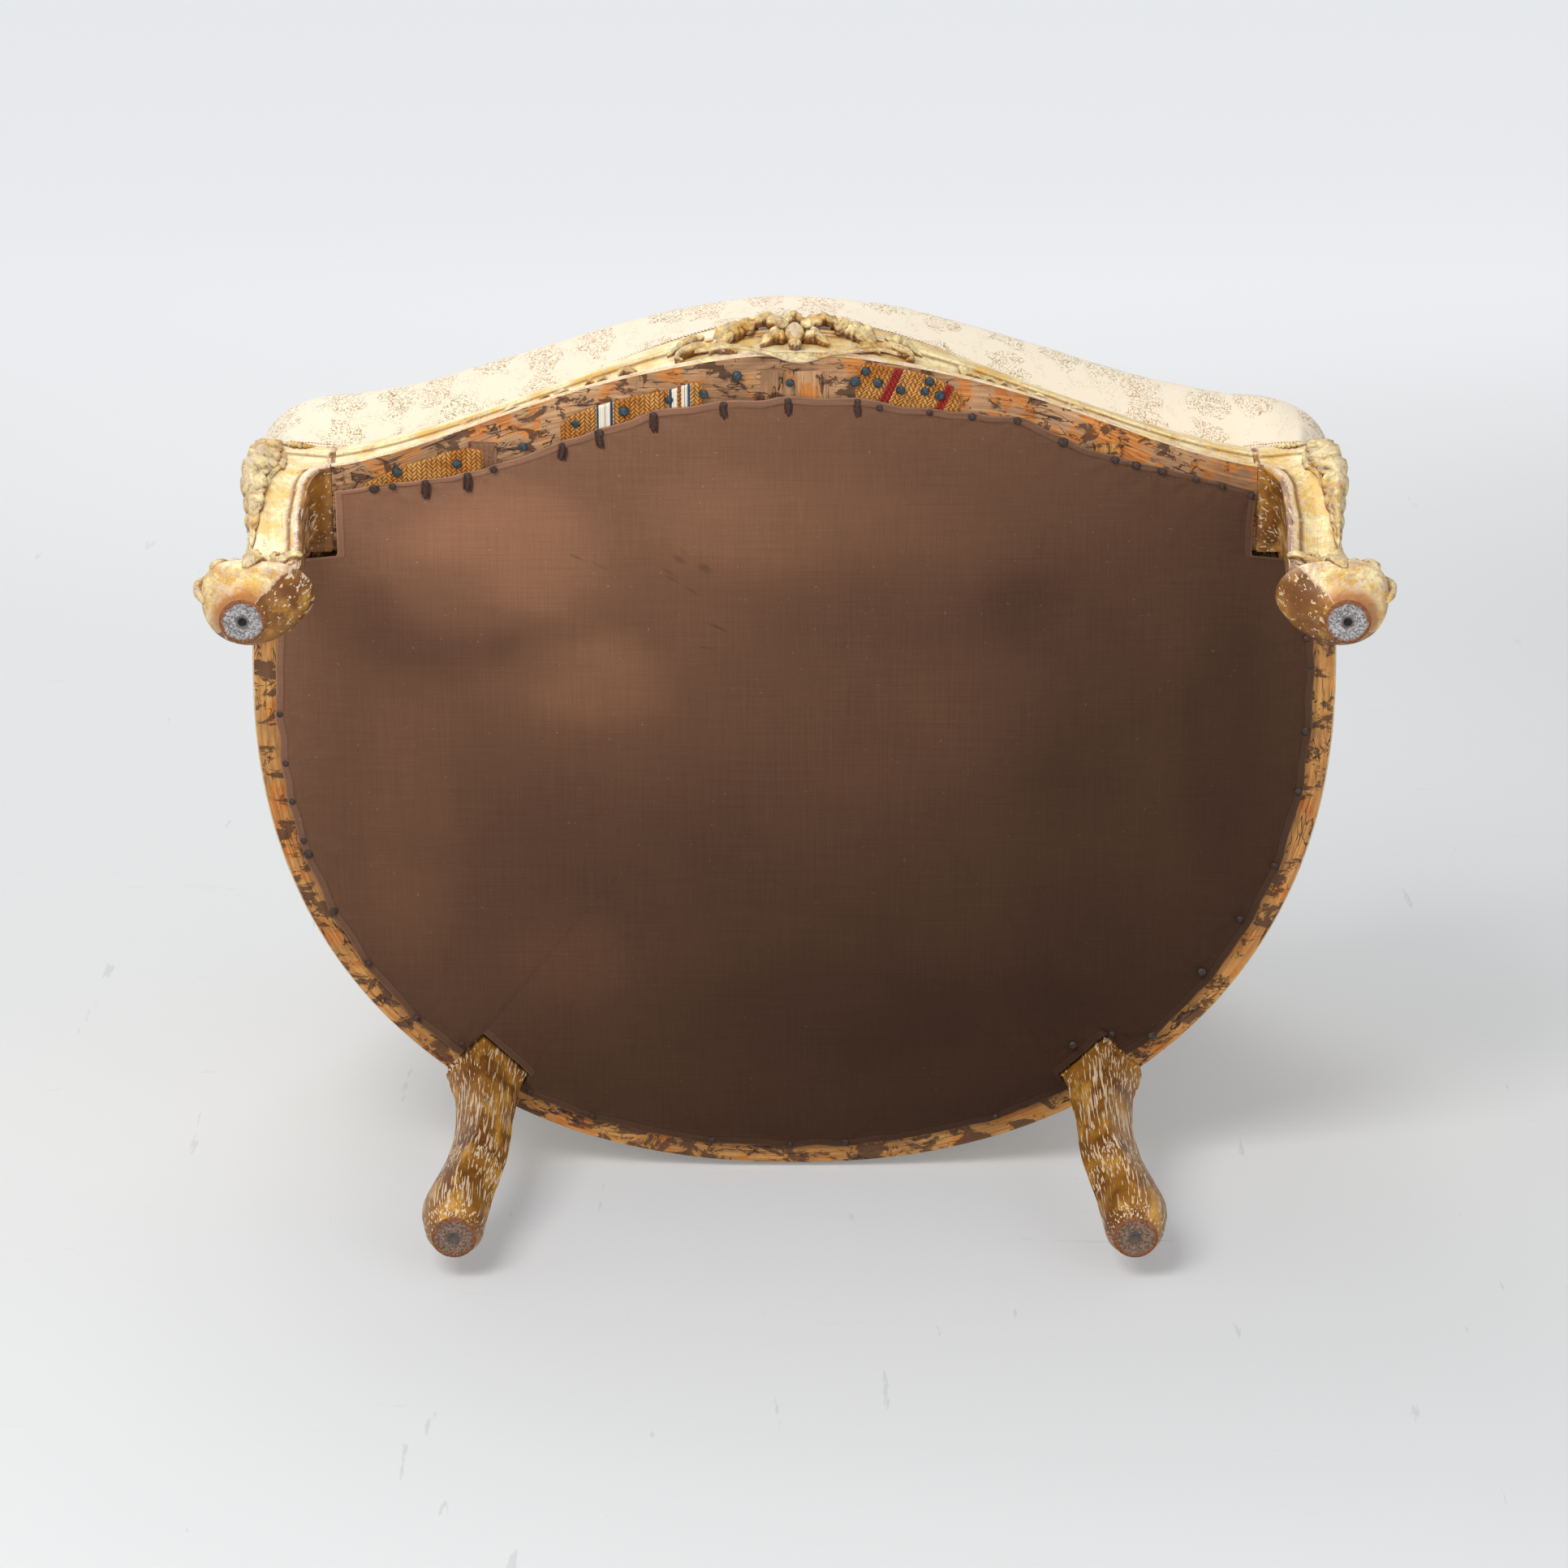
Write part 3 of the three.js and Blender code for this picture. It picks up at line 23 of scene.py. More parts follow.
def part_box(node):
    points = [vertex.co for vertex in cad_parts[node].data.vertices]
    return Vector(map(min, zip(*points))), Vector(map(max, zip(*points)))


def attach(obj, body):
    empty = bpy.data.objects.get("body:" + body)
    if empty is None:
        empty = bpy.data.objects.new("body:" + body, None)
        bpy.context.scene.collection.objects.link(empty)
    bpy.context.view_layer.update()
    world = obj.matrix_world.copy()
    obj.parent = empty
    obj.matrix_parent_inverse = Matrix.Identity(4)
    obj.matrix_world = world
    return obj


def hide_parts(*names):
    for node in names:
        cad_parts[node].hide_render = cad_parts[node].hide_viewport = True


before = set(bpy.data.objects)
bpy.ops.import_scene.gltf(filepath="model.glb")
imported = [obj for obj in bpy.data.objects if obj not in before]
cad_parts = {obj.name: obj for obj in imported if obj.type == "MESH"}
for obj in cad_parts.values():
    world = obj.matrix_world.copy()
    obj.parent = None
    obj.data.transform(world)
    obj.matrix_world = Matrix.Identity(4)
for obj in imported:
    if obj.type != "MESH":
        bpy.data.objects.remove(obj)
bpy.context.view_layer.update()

logging.basicConfig(level=logging.INFO, format="%(message)s")
log = logging.getLogger("bergere")

Array = np.ndarray
SEED = 7
# Gap between two pieces that meet
JOINT = 0.0003


# ---------------------------------------------------------------- numbers and curves


def linear(colour: Sequence[float]) -> tuple[float, float, float, float]:
    """Turns a colour written as 0-255 display values into a linear RGBA tuple.

    Args:
        colour: Red, green and blue as a screen shows them.

    Returns:
        The linear colour with alpha 1.
    """
    shares = [channel / 255 for channel in colour]
    spread = [s / 12.92 if s <= 0.04045 else ((s + 0.055) / 1.055) ** 2.4 for s in shares]
    return (*spread, 1.0)


def smooth(share: Array) -> Array:
    """Eases a share from 0 to 1 with level ends."""
    share = np.clip(share, 0, 1)
    return share * share * (3 - 2 * share)


def bell(distance: Array, width: float) -> Array:
    """A bell of height 1 and the given width."""
    return np.exp(-((np.asarray(distance) / width) ** 2))


def read_curve(rows: Sequence[Sequence[float]], at: Array) -> Array:
    """Reads a table along smooth curves that never overshoot its rows.

    Args:
        rows: Rows whose first value rises.
        at: Where to read, in the first column's terms.

    Returns:
        The other columns at those places, in a last axis.
    """
    table = np.array(rows, float)
    key, value = table[:, 0], table[:, 1:]
    step = np.diff(key)
    slope = np.diff(value, axis=0) / step[:, None]
    product = slope[:-1] * slope[1:]
    total = np.where(product > 0, slope[:-1] + slope[1:], 1)
    inner = np.where(product > 0, 2 * product / total, 0)
    tangent = np.vstack([slope[:1], inner, slope[-1:]])
    at = np.clip(np.asarray(at, float), key[0], key[-1])
    i = np.clip(np.searchsorted(key, at, side="right") - 1, 0, len(step) - 1)
    h = step[i][..., None]
    t = (at - key[i])[..., None] / h
    start = (2 * t**3 - 3 * t**2 + 1) * value[i] + (t**3 - 2 * t**2 + t) * h * tangent[i]
    return start + (3 * t**2 - 2 * t**3) * value[i + 1] + (t**3 - t**2) * h * tangent[i + 1]


def solve(measure: Callable[[Array], Array], low: Array, high: Array) -> Array:
    """Finds where a measure crosses zero between two bounds, for many cases at once."""
    low, high = np.broadcast_arrays(np.asarray(low, float), np.asarray(high, float))
    low, high = low.copy(), high.copy()
    rising = measure(high) > measure(low)
    for _ in range(40):
        half = (low + high) / 2
        above = (measure(half) > 0) == rising
        high = np.where(above, half, high)
        low = np.where(above, low, half)
    return (low + high) / 2


def travelled(line: Array) -> Array:
    """Distance travelled along a line, at each of its points."""
    return np.concatenate([[0], np.cumsum(np.linalg.norm(np.diff(line, axis=0), axis=1))])


# ---------------------------------------------------------------- the chair's lines


@dataclass(frozen=True)
class SeatPlan:
    """The rounded plan of the seat, which every rail and panel follows."""

    half_width: float = 0.366
    half_depth: float = 0.361
    roundness: float = 2.2
    underside: float = 0.230
    rail_height: float = 0.075
    crest_top: float = 0.925
    rake: float = 0.100
    rake_curve: float = 1.2
    front_reach: float = 0.241

    @property
    def rail_top(self) -> float:
        """Height of the top of the seat rails."""
        return self.underside + self.rail_height

    @property
    def middle_y(self) -> float:
        """Row y of the widest line of the seat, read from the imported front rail."""
        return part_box("front_rail")[0].y + self.front_reach

    def edge(self, turn: Array, z: Array = 0.0) -> Array:
        """Points of the outline.

        Args:
            turn: Turn from +X towards +Y.
            z: Height; above the rails the back leans.

        Returns:
            Plan x and y in a last axis.
        """
        across, along = np.cos(turn), np.sin(turn)
        power = 2 / self.roundness
        up = np.clip((np.asarray(z) - self.rail_top) / (self.crest_top - self.rail_top), 0, 1)
        depth = self.half_depth + np.where(along > 0, self.rake * up**self.rake_curve, 0)
        x = np.sign(across) * self.half_width * np.abs(across) ** power
        y = np.sign(along) * depth * np.abs(along) ** power
        return np.stack(np.broadcast_arrays(x, y), -1)

    def outward(self, turn: Array) -> Array:
        """Direction that the outline faces at a turn, as an angle."""
        power = 2 / self.roundness * (self.roundness - 1)
        across, along = np.cos(turn), np.sin(turn)
        return np.arctan2(
            np.sign(along) * np.abs(along) ** power / self.half_depth,
            np.sign(across) * np.abs(across) ** power / self.half_width,
        )

    def place(self, turn: Array, inset: Array, z: Array, angle: Array | None = None) -> Array:
        """Points an inset behind the outline.

        Args:
            turn: Turn along the outline.
            inset: Distance behind it.
            z: Height.
            angle: Direction of the inset; the outline's own where it is left out.

        Returns:
            Plan points x, y, z in a last axis.
        """
        turn, inset, z = np.broadcast_arrays(*(np.asarray(v, float) for v in (turn, inset, z)))
        angle = self.outward(turn) if angle is None else np.broadcast_to(angle, turn.shape)
        edge = self.edge(turn, z)
        return np.stack(
            [edge[..., 0] - np.cos(angle) * inset, edge[..., 1] - np.sin(angle) * inset, z], -1
        )

    def turn_at_y(self, y: Array, z: Array = 0.0) -> Array:
        """Turn, on the right half, at which the outline has this y."""
        y = np.asarray(y, float)
        up = np.clip((np.asarray(z) - self.rail_top) / (self.crest_top - self.rail_top), 0, 1)
        depth = self.half_depth + np.where(y > 0, self.rake * up**self.rake_curve, 0)
        share = np.clip(np.abs(y) / depth, 0, 1)
        return np.arcsin(np.sign(y) * share ** (self.roundness / 2))

    def turn_of(self, points: Array) -> Array:
        """Turn whose inset line holds each plan point of the right half."""

        def miss(turn: Array) -> Array:
            """Distance of the points from the inset line of a turn."""
            gap = points[..., :2] - self.edge(turn, points[..., 2])
            angle = self.outward(turn)
            return np.cos(angle) * gap[..., 1] - np.sin(angle) * gap[..., 0]

        shape = points.shape[:-1]
        return solve(miss, np.full(shape, -math.pi / 4), np.full(shape, math.pi / 2))


PLAN = SeatPlan()

# Height up the rail's face against how far it lies behind the rim
RAIL_PROFILE = (
    (0, 0.25), (0.035, 0), (0.08, 0.1), (0.115, 0.55), (0.25, 1), (0.42, 1),
    (0.54, 0.6), (0.6, 0.15), (0.66, 0.45), (0.82, 0.4), (0.94, 0.7), (1, 1),
)
# Height up the rail's face against how proud it looks: 0 in the grooves, 1 on the beads
RAIL_RELIEF = (
    (0, 0.85), (0.03, 0.97), (0.075, 0.9), (0.112, 0.12), (0.15, 0.4), (0.22, 0.6), (0.42, 0.62), (0.5, 0.5),
    (0.54, 0.2), (0.575, 0.7), (0.6, 0.95), (0.63, 0.7), (0.665, 0.15), (0.7, 0.55), (0.82, 0.72), (0.93, 0.5),
    (1, 0.25),
)


# ---------------------------------------------------------------- meshes


class Shade(Enum):
    """How the faces of a mesh meet."""

    SMOOTH = 180
    CREASED = 42


def link_mesh(name: str, mesh: bpy.types.Mesh) -> bpy.types.Object:
    """Puts a mesh into the scene as an object at the origin."""
    piece = bpy.data.objects.new(name, mesh)
    bpy.context.scene.collection.objects.link(piece)
    return piece


def set_attribute(mesh: bpy.types.Mesh, name: str, values: Array) -> None:
    """Stores a number at each vertex for the materials to read."""
    attribute = mesh.attributes.new(name, "FLOAT", "POINT")
    attribute.data.foreach_set("value", np.asarray(values, np.float32).ravel())


def flip_inward(verts: Array, faces: list[list[int]]) -> list[list[int]]:
    """Turns all faces round where they enclose a negative volume."""
    volume = 0.0
    for face in faces:
        a = verts[face[0]]
        for i in range(1, len(face) - 1):
            volume += float(np.dot(a, np.cross(verts[face[i]], verts[face[i + 1]])))
    return [face[::-1] for face in faces] if volume < 0 else faces


@dataclass
class Loft:
    """A closed skin over rings of points, with UVs in metres along and around it."""

    rings: Array
    shade: Shade = Shade.CREASED
    fields: dict[str, Array] = field(default_factory=dict)

    def faces(self, verts: list[Array]) -> list[list[int]]:
        """Faces of the skin; the hubs of the two ends are added to the vertices."""
        rows, count = self.rings.shape[:2]
        faces = []
        for row in range(rows - 1):
            for i in range(count):
                a, b = row * count + i, row * count + (i + 1) % count
                faces.append([a, b, b + count, a + count])
        for start, flip in ((0, True), ((rows - 1) * count, False)):
            hub = len(verts)
            verts.append(np.mean(verts[start:start + count], 0))
            end = [[hub, start + i, start + (i + 1) % count] for i in range(count)]
            faces += [face[::-1] for face in end] if flip else end
        return faces

    def uv_grid(self) -> tuple[Array, Array]:
        """Distance along the rings' path and around each ring, in metres."""
        rows, count = self.rings.shape[:2]
        hop = np.linalg.norm(np.diff(self.rings, axis=0), axis=2).mean(1)
        along = np.concatenate([[0], np.cumsum(hop)])
        closed = np.concatenate([self.rings, self.rings[:, :1]], 1)
        around = np.cumsum(np.linalg.norm(np.diff(closed, axis=1), axis=2), 1)
        around = np.concatenate([np.zeros((rows, 1)), around], 1)
        return np.repeat(along[:, None], count + 1, 1), around

    def mesh(self, name: str) -> bpy.types.Mesh:
        """Makes the mesh in row coordinates, with its fields as vertex attributes."""
        rows, count = self.rings.shape[:2]
        verts = list(self.rings.reshape(-1, 3))
        faces = self.faces(verts)
        points = np.array(verts) + [0, PLAN.middle_y, 0]
        sound = flip_inward(points, faces)
        mesh = bpy.data.meshes.new(name)
        mesh.from_pydata(points.tolist(), [], sound)
        u, v = self.uv_grid()
        layer = mesh.uv_layers.new(name="UVMap")
        vert_of = np.zeros(len(mesh.loops), int)
        mesh.loops.foreach_get("vertex_index", vert_of)
        row = np.minimum(vert_of // count, rows - 1)
        place = np.where(vert_of < rows * count, vert_of % count, 0)
        face_of = np.repeat(np.arange(len(mesh.polygons)), [p.loop_total for p in mesh.polygons])
        last = np.zeros(len(mesh.polygons), bool)
        np.logical_or.at(last, face_of, place == count - 1)
        place = np.where(last[face_of] & (place == 0), count, place)
        uv = np.stack([u[row, place], v[row, place]], -1)
        layer.data.foreach_set("uv", uv.astype(np.float32).ravel())
        for key, values in self.fields.items():
            flat = np.broadcast_to(values, (rows, count)).ravel()
            hubs = len(verts) - rows * count
            set_attribute(mesh, key, np.concatenate([flat, np.full(hubs, flat[0])]))
        mesh.polygons.foreach_set("use_smooth", np.ones(len(mesh.polygons), bool))
        if self.shade is not Shade.SMOOTH:
            mesh.set_sharp_from_angle(angle=math.radians(self.shade.value))
        mesh.validate()
        return mesh

    def piece(self, name: str) -> bpy.types.Object:
        """Makes the object."""
        return link_mesh(name, self.mesh(name))


def mirrored(piece: bpy.types.Object, name: str) -> bpy.types.Object:
    """A copy of a piece on the other side of the chair.

    Args:
        piece: The piece on the right.
        name: The copy's name.

    Returns:
        The copy, its faces pointing out.
    """
    mesh = piece.data.copy()
    mesh.name = name
    points = np.zeros(len(mesh.vertices) * 3, np.float32)
    mesh.vertices.foreach_get("co", points)
    points[::3] *= -1
    mesh.vertices.foreach_set("co", points)
    mesh.flip_normals()
    return link_mesh(name, mesh)


def joined(name: str, meshes: Sequence[bpy.types.Mesh]) -> bpy.types.Object:
    """One object from several meshes, which are removed."""
    build = bmesh.new()
    for mesh in meshes:
        build.from_mesh(mesh)
    whole = bpy.data.meshes.new(name)
    build.to_mesh(whole)
    build.free()
    for mesh in meshes:
        bpy.data.meshes.remove(mesh)
    return link_mesh(name, whole)


def dress(piece: bpy.types.Object, *materials: bpy.types.Material) -> bpy.types.Object:
    """Gives a piece its materials."""
    piece.data.materials.clear()
    for material in materials:
        piece.data.materials.append(material)
    return piece


def settle(piece: bpy.types.Object, slot: str, *nodes: str, body: str = "frame") -> bpy.types.Object:
    """Ties a finished piece to its body and hides the solids that it stands for."""
    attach(piece, body)
    if nodes:
        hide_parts(*nodes)
    log.info("%s: %d faces", piece.name, len(piece.data.polygons))
    return piece


def settle_pair(right: bpy.types.Object, stem: str, slot: str, node: str = "") -> None:
    """Finishes a piece on the right and its mirror image on the left.

    Args:
        right: The piece on the right.
        stem: The copy's name without its side.
        slot: Not used.
        node: The solids' name without their side, where the pieces stand for them.
    """
    left = mirrored(right, stem + "_left")
    for piece, side in ((right, "right_"), (left, "left_")):
        settle(piece, slot, *([side + node] if node else []))


def apply_modifiers(piece: bpy.types.Object) -> None:
    """Gives a piece the mesh that its modifiers make, and clears the modifiers."""
    made = piece.evaluated_get(bpy.context.evaluated_depsgraph_get())
    piece.data = bpy.data.meshes.new_from_object(made)
    piece.modifiers.clear()


def read_points(mesh: bpy.types.Mesh) -> Array:
    """The mesh's vertices as rows of x, y, z."""
    points = np.zeros(len(mesh.vertices) * 3, np.float32)
    mesh.vertices.foreach_get("co", points)
    return points.reshape(-1, 3).astype(float)


def write_points(mesh: bpy.types.Mesh, points: Array) -> None:
    """Moves the mesh's vertices."""
    mesh.vertices.foreach_set("co", points.astype(np.float32).ravel())
    mesh.update()


def write_uv(mesh: bpy.types.Mesh, uv: Array) -> None:
    """Stores a UV pair, in metres, for each vertex."""
    layer = mesh.uv_layers.get("UVMap") or mesh.uv_layers.new(name="UVMap")
    corner = np.zeros(len(mesh.loops), int)
    mesh.loops.foreach_get("vertex_index", corner)
    layer.data.foreach_set("uv", uv[corner].astype(np.float32).ravel())


def solid_copy(node: str, name: str) -> bpy.types.Object:
    """A copy of a CAD solid with its doubled points merged."""
    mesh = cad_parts[node].data.copy()
    mesh.name = name
    build = bmesh.new()
    build.from_mesh(mesh)
    bmesh.ops.remove_doubles(build, verts=build.verts, dist=0.00002)
    build.to_mesh(mesh)
    build.free()
    return link_mesh(name, mesh)


def wobble(points: Array, size: float, seed: int) -> Array:
    """Smooth noise between -1 and 1.

    Args:
        points: Places, in metres.
        size: Length of a swell.
        seed: Which noise.

    Returns:
        The noise at each place.
    """
    chance = np.random.default_rng(seed)
    total = np.zeros(points.shape[:-1])
    for octave in range(3):
        waves = chance.normal(size=(6, points.shape[-1])) * 2.2 * 2**octave / size
        start = chance.uniform(0, 2 * math.pi, 6)
        total += np.sin(points @ waves.T + start).sum(-1) / (4.5 * 2**octave)
    return total / 1.3


def heads_tree() -> bpy.types.NodeTree:
    """Geometry tree that sets a small rounded head on every point of a mesh."""
    tree = bpy.data.node_groups.new("rounded heads", "GeometryNodeTree")
    for key, kind in (("Geometry", "Geometry"), ("Head", "Vector"), ("Jitter", "Float"), ("Seed", "Int"),
                      ("Material", "Material")):
        tree.interface.new_socket(name=key, in_out="INPUT", socket_type="NodeSocket" + kind)
    tree.interface.new_socket(name="Geometry", in_out="OUTPUT", socket_type="NodeSocketGeometry")
    g = Graph(tree)
    source = g.add("NodeGroupInput").outputs
    ball = g.add("GeometryNodeMeshUVSphere", {"Segments": 9, "Rings": 6, "Radius": 1.0}).outputs["Mesh"]
    head = g.add("GeometryNodeTransform", {"Geometry": ball, "Scale": source["Head"]}).outputs[0]
    facing, along = (g.add("GeometryNodeInputNamedAttribute", {"Name": key}, data_type="FLOAT_VECTOR")
                     .outputs["Attribute"] for key in ("facing", "along"))
    level = g.add("FunctionNodeAlignRotationToVector", {"Vector": facing}, axis="Z").outputs[0]
    turned = g.add("FunctionNodeAlignRotationToVector", {"Rotation": level, "Vector": along},
                   axis="X", pivot_axis="Z").outputs[0]
    size = g.add("GeometryNodeInputNamedAttribute", {"Name": "size"}, data_type="FLOAT").outputs["Attribute"]
    least = g.math("SUBTRACT", 1.0, source["Jitter"])
    most = g.math("ADD", 1.0, source["Jitter"])
    chance = g.add("FunctionNodeRandomValue", {2: least, 3: most, "Seed": source["Seed"]}, data_type="FLOAT")
    scale = g.math("MULTIPLY", size, chance.outputs[1])
    heads = g.add("GeometryNodeInstanceOnPoints", {
        "Points": source["Geometry"], "Instance": head, "Rotation": turned, "Scale": scale,
    }).outputs[0]
    real = g.add("GeometryNodeRealizeInstances", {"Geometry": heads}).outputs[0]
    shaded = g.add("GeometryNodeSetShadeSmooth", {"Geometry": real}).outputs[0]
    dressed = g.add("GeometryNodeSetMaterial", {"Geometry": shaded, "Material": source["Material"]}).outputs[0]
    tree.links.new(dressed, g.add("NodeGroupOutput").inputs["Geometry"])
    return tree


@dataclass(frozen=True)
class Heads:
    """Small rounded heads set on points: tacks, nails, stitches, bits of thread."""

    name: str
    head: tuple[float, float, float]
    jitter: float = 0.12
    seed: int = SEED

    def place(self, points: Array, facing: Array, along: Array, material: bpy.types.Material,
              size: Array | float = 1.0) -> bpy.types.Object:
        """Sets the heads.

        Args:
            points: Plan points.
            facing: Direction that each head looks.
            along: Direction of each head's length.
            material: Finish of the heads.
            size: Share of the full size, for each head.

        Returns:
            One mesh of all heads.
        """
        points = np.asarray(points, float) + [0, PLAN.middle_y, 0]
        mesh = bpy.data.meshes.new(self.name)
        mesh.from_pydata(points.tolist(), [], [])
        for key, value in (("facing", facing), ("along", along)):
            attribute = mesh.attributes.new(key, "FLOAT_VECTOR", "POINT")
            attribute.data.foreach_set("vector", np.broadcast_to(value, points.shape).astype(np.float32).ravel())
        set_attribute(mesh, "size", np.broadcast_to(size, len(points)))
        piece = link_mesh(self.name, mesh)
        modifier = piece.modifiers.new("heads", "NODES")
        modifier.node_group = HEADS
        values = {"Head": self.head, "Jitter": self.jitter, "Seed": self.seed, "Material": material}
        for item in HEADS.interface.items_tree:
            if item.item_type == "SOCKET" and item.in_out == "INPUT" and item.name in values:
                modifier[item.identifier] = values[item.name]
        apply_modifiers(piece)
        return piece


@dataclass(frozen=True)
class Leaf:
    """A carved leaf, husk or scroll: a ridge with lobed edges along a curve on a skin."""

    # Share of the length, place along the skin, place up it, rise above it
    spine: tuple
    width: float
    height: float
    lobes: float = 0.0
    cut: float = 0.3
    rib: float = 0.25
    vein: float = 0.55
    blunt: float = 0.75
    steps: int = 44
    across: int = 15

    def rings(self, skin: Callable[[Array, Array, Array], Array]) -> tuple[Array, Array]:
        """Sections of the leaf laid on a skin.

        Args:
            skin: Gives points from the place along, the place up and the distance out.

        Returns:
            The sections, and how proud each point stands.
        """
        share = np.linspace(0.004, 0.996, self.steps)
        run = read_curve(self.spine, share)
        ahead = np.gradient(run[:, :2], axis=0)
        ahead /= np.maximum(np.linalg.norm(ahead, axis=1), 1e-9)[:, None]
        side = np.stack([-ahead[:, 1], ahead[:, 0]], -1)
        body = np.sin(math.pi * share**0.8) ** self.blunt
        lobe = 1 - self.cut * (1 - np.abs(np.sin(math.pi * self.lobes * share)) ** 0.6) if self.lobes else 1
        half = self.width / 2 * body * lobe
        s = np.sin(np.linspace(-math.pi / 2, math.pi / 2, self.across))[None]
        dome = np.sqrt(np.clip(1 - s**2, 0, 1))
        rib = 1 - self.rib + 2 * self.rib * np.abs(np.abs(s) - 0.35) / 0.65
        veins = 1
        if self.lobes:
            notch = np.abs(np.sin(math.pi * self.lobes * (share[:, None] + 0.05 * np.abs(s)))) ** 0.7
            veins = 1 - self.vein * (1 - notch) * smooth(np.abs(s) / 0.5)
        level = dome * rib * veins
        up = run[:, 2:3] + self.height * (0.35 + 0.65 * body[:, None]) * level
        top = skin(run[:, None, 0] + side[:, None, 0] * half[:, None] * s,
                   run[:, None, 1] + side[:, None, 1] * half[:, None] * s, up)
        under = s[:, ::-1][:, 2:-2:3]
        low = skin(run[:, None, 0] + side[:, None, 0] * half[:, None] * under,
                   run[:, None, 1] + side[:, None, 1] * half[:, None] * under,
                   run[:, 2:3] * 0.6 - 0.0012 + 0 * under)
        relief = np.concatenate([0.08 + 0.72 * level * np.ones_like(up), np.full(low.shape[:2], 0.05)], 1)
        return np.concatenate([top, low], 1), relief

    def mesh(self, skin: Callable[[Array, Array, Array], Array], name: str) -> bpy.types.Mesh:
        """The leaf's closed mesh."""
        points, relief = self.rings(skin)
        return Loft(points, shade=Shade.SMOOTH, fields={"relief": relief}).mesh(name)

    def turned_over(self) -> "Leaf":
        """The same leaf on the other side of the middle."""
        spine = tuple((t, -u, v, rise) for t, u, v, rise in self.spine)
        return replace(self, spine=spine)


def carve(name: str, leaves: Sequence[Leaf], skin: Callable[[Array, Array, Array], Array]) -> bpy.types.Object:
    """Joins carved leaves on one skin into a gilt piece."""
    return dress(joined(name, [leaf.mesh(skin, f"{name}_{i}") for i, leaf in enumerate(leaves)]), CARVED_GILT)


def inflate(piece: bpy.types.Object, free: Array, voxel: float = 0.006, cap: float = 0.012) -> None:
    """Lets a pad swell under its stuffing: cloth pressure on a plain copy, carried back to the piece.

    Args:
        piece: The pad; its points move, and its faces stay.
        free: How freely each point may move, from 0 to 1.
        voxel: Size of the copy's even faces.
        cap: The furthest that a point moves.
    """
    scene = bpy.context.scene
    proxy = link_mesh(piece.name + "_proxy", piece.data.copy())
    bpy.context.view_layer.objects.active = proxy
    remesh = proxy.modifiers.new("even", "REMESH")
    remesh.mode, remesh.voxel_size = "VOXEL", voxel
    apply_modifiers(proxy)
    before = read_points(proxy.data)
    cloth = proxy.modifiers.new("cloth", "CLOTH")
    cloth.settings.use_pressure = True
    cloth.settings.uniform_pressure_force = 4
    cloth.settings.effector_weights.gravity = 0
    for number in range(1, 21):
        scene.frame_set(number)
    swollen = proxy.evaluated_get(bpy.context.evaluated_depsgraph_get()).to_mesh()
    moved = read_points(swollen) - before
    length = np.linalg.norm(moved, axis=1)
    moved *= (np.minimum(length, cap) / np.maximum(length, 1e-9))[:, None]
    scene.frame_set(1)
    tree = KDTree(len(before))
    for i, point in enumerate(before):
        tree.insert(point, i)
    tree.balance()
    points = read_points(piece.data)
    shift = np.zeros_like(points)
    for i, point in enumerate(points):
        near = tree.find_n(point, 6)
        weights = np.array([1 / (distance + voxel / 4) for _, _, distance in near])
        shift[i] = weights @ moved[[index for _, index, _ in near]] / weights.sum()
    write_points(piece.data, points + shift * free[:, None])
    bpy.data.objects.remove(proxy)


# ---------------------------------------------------------------- node trees for materials


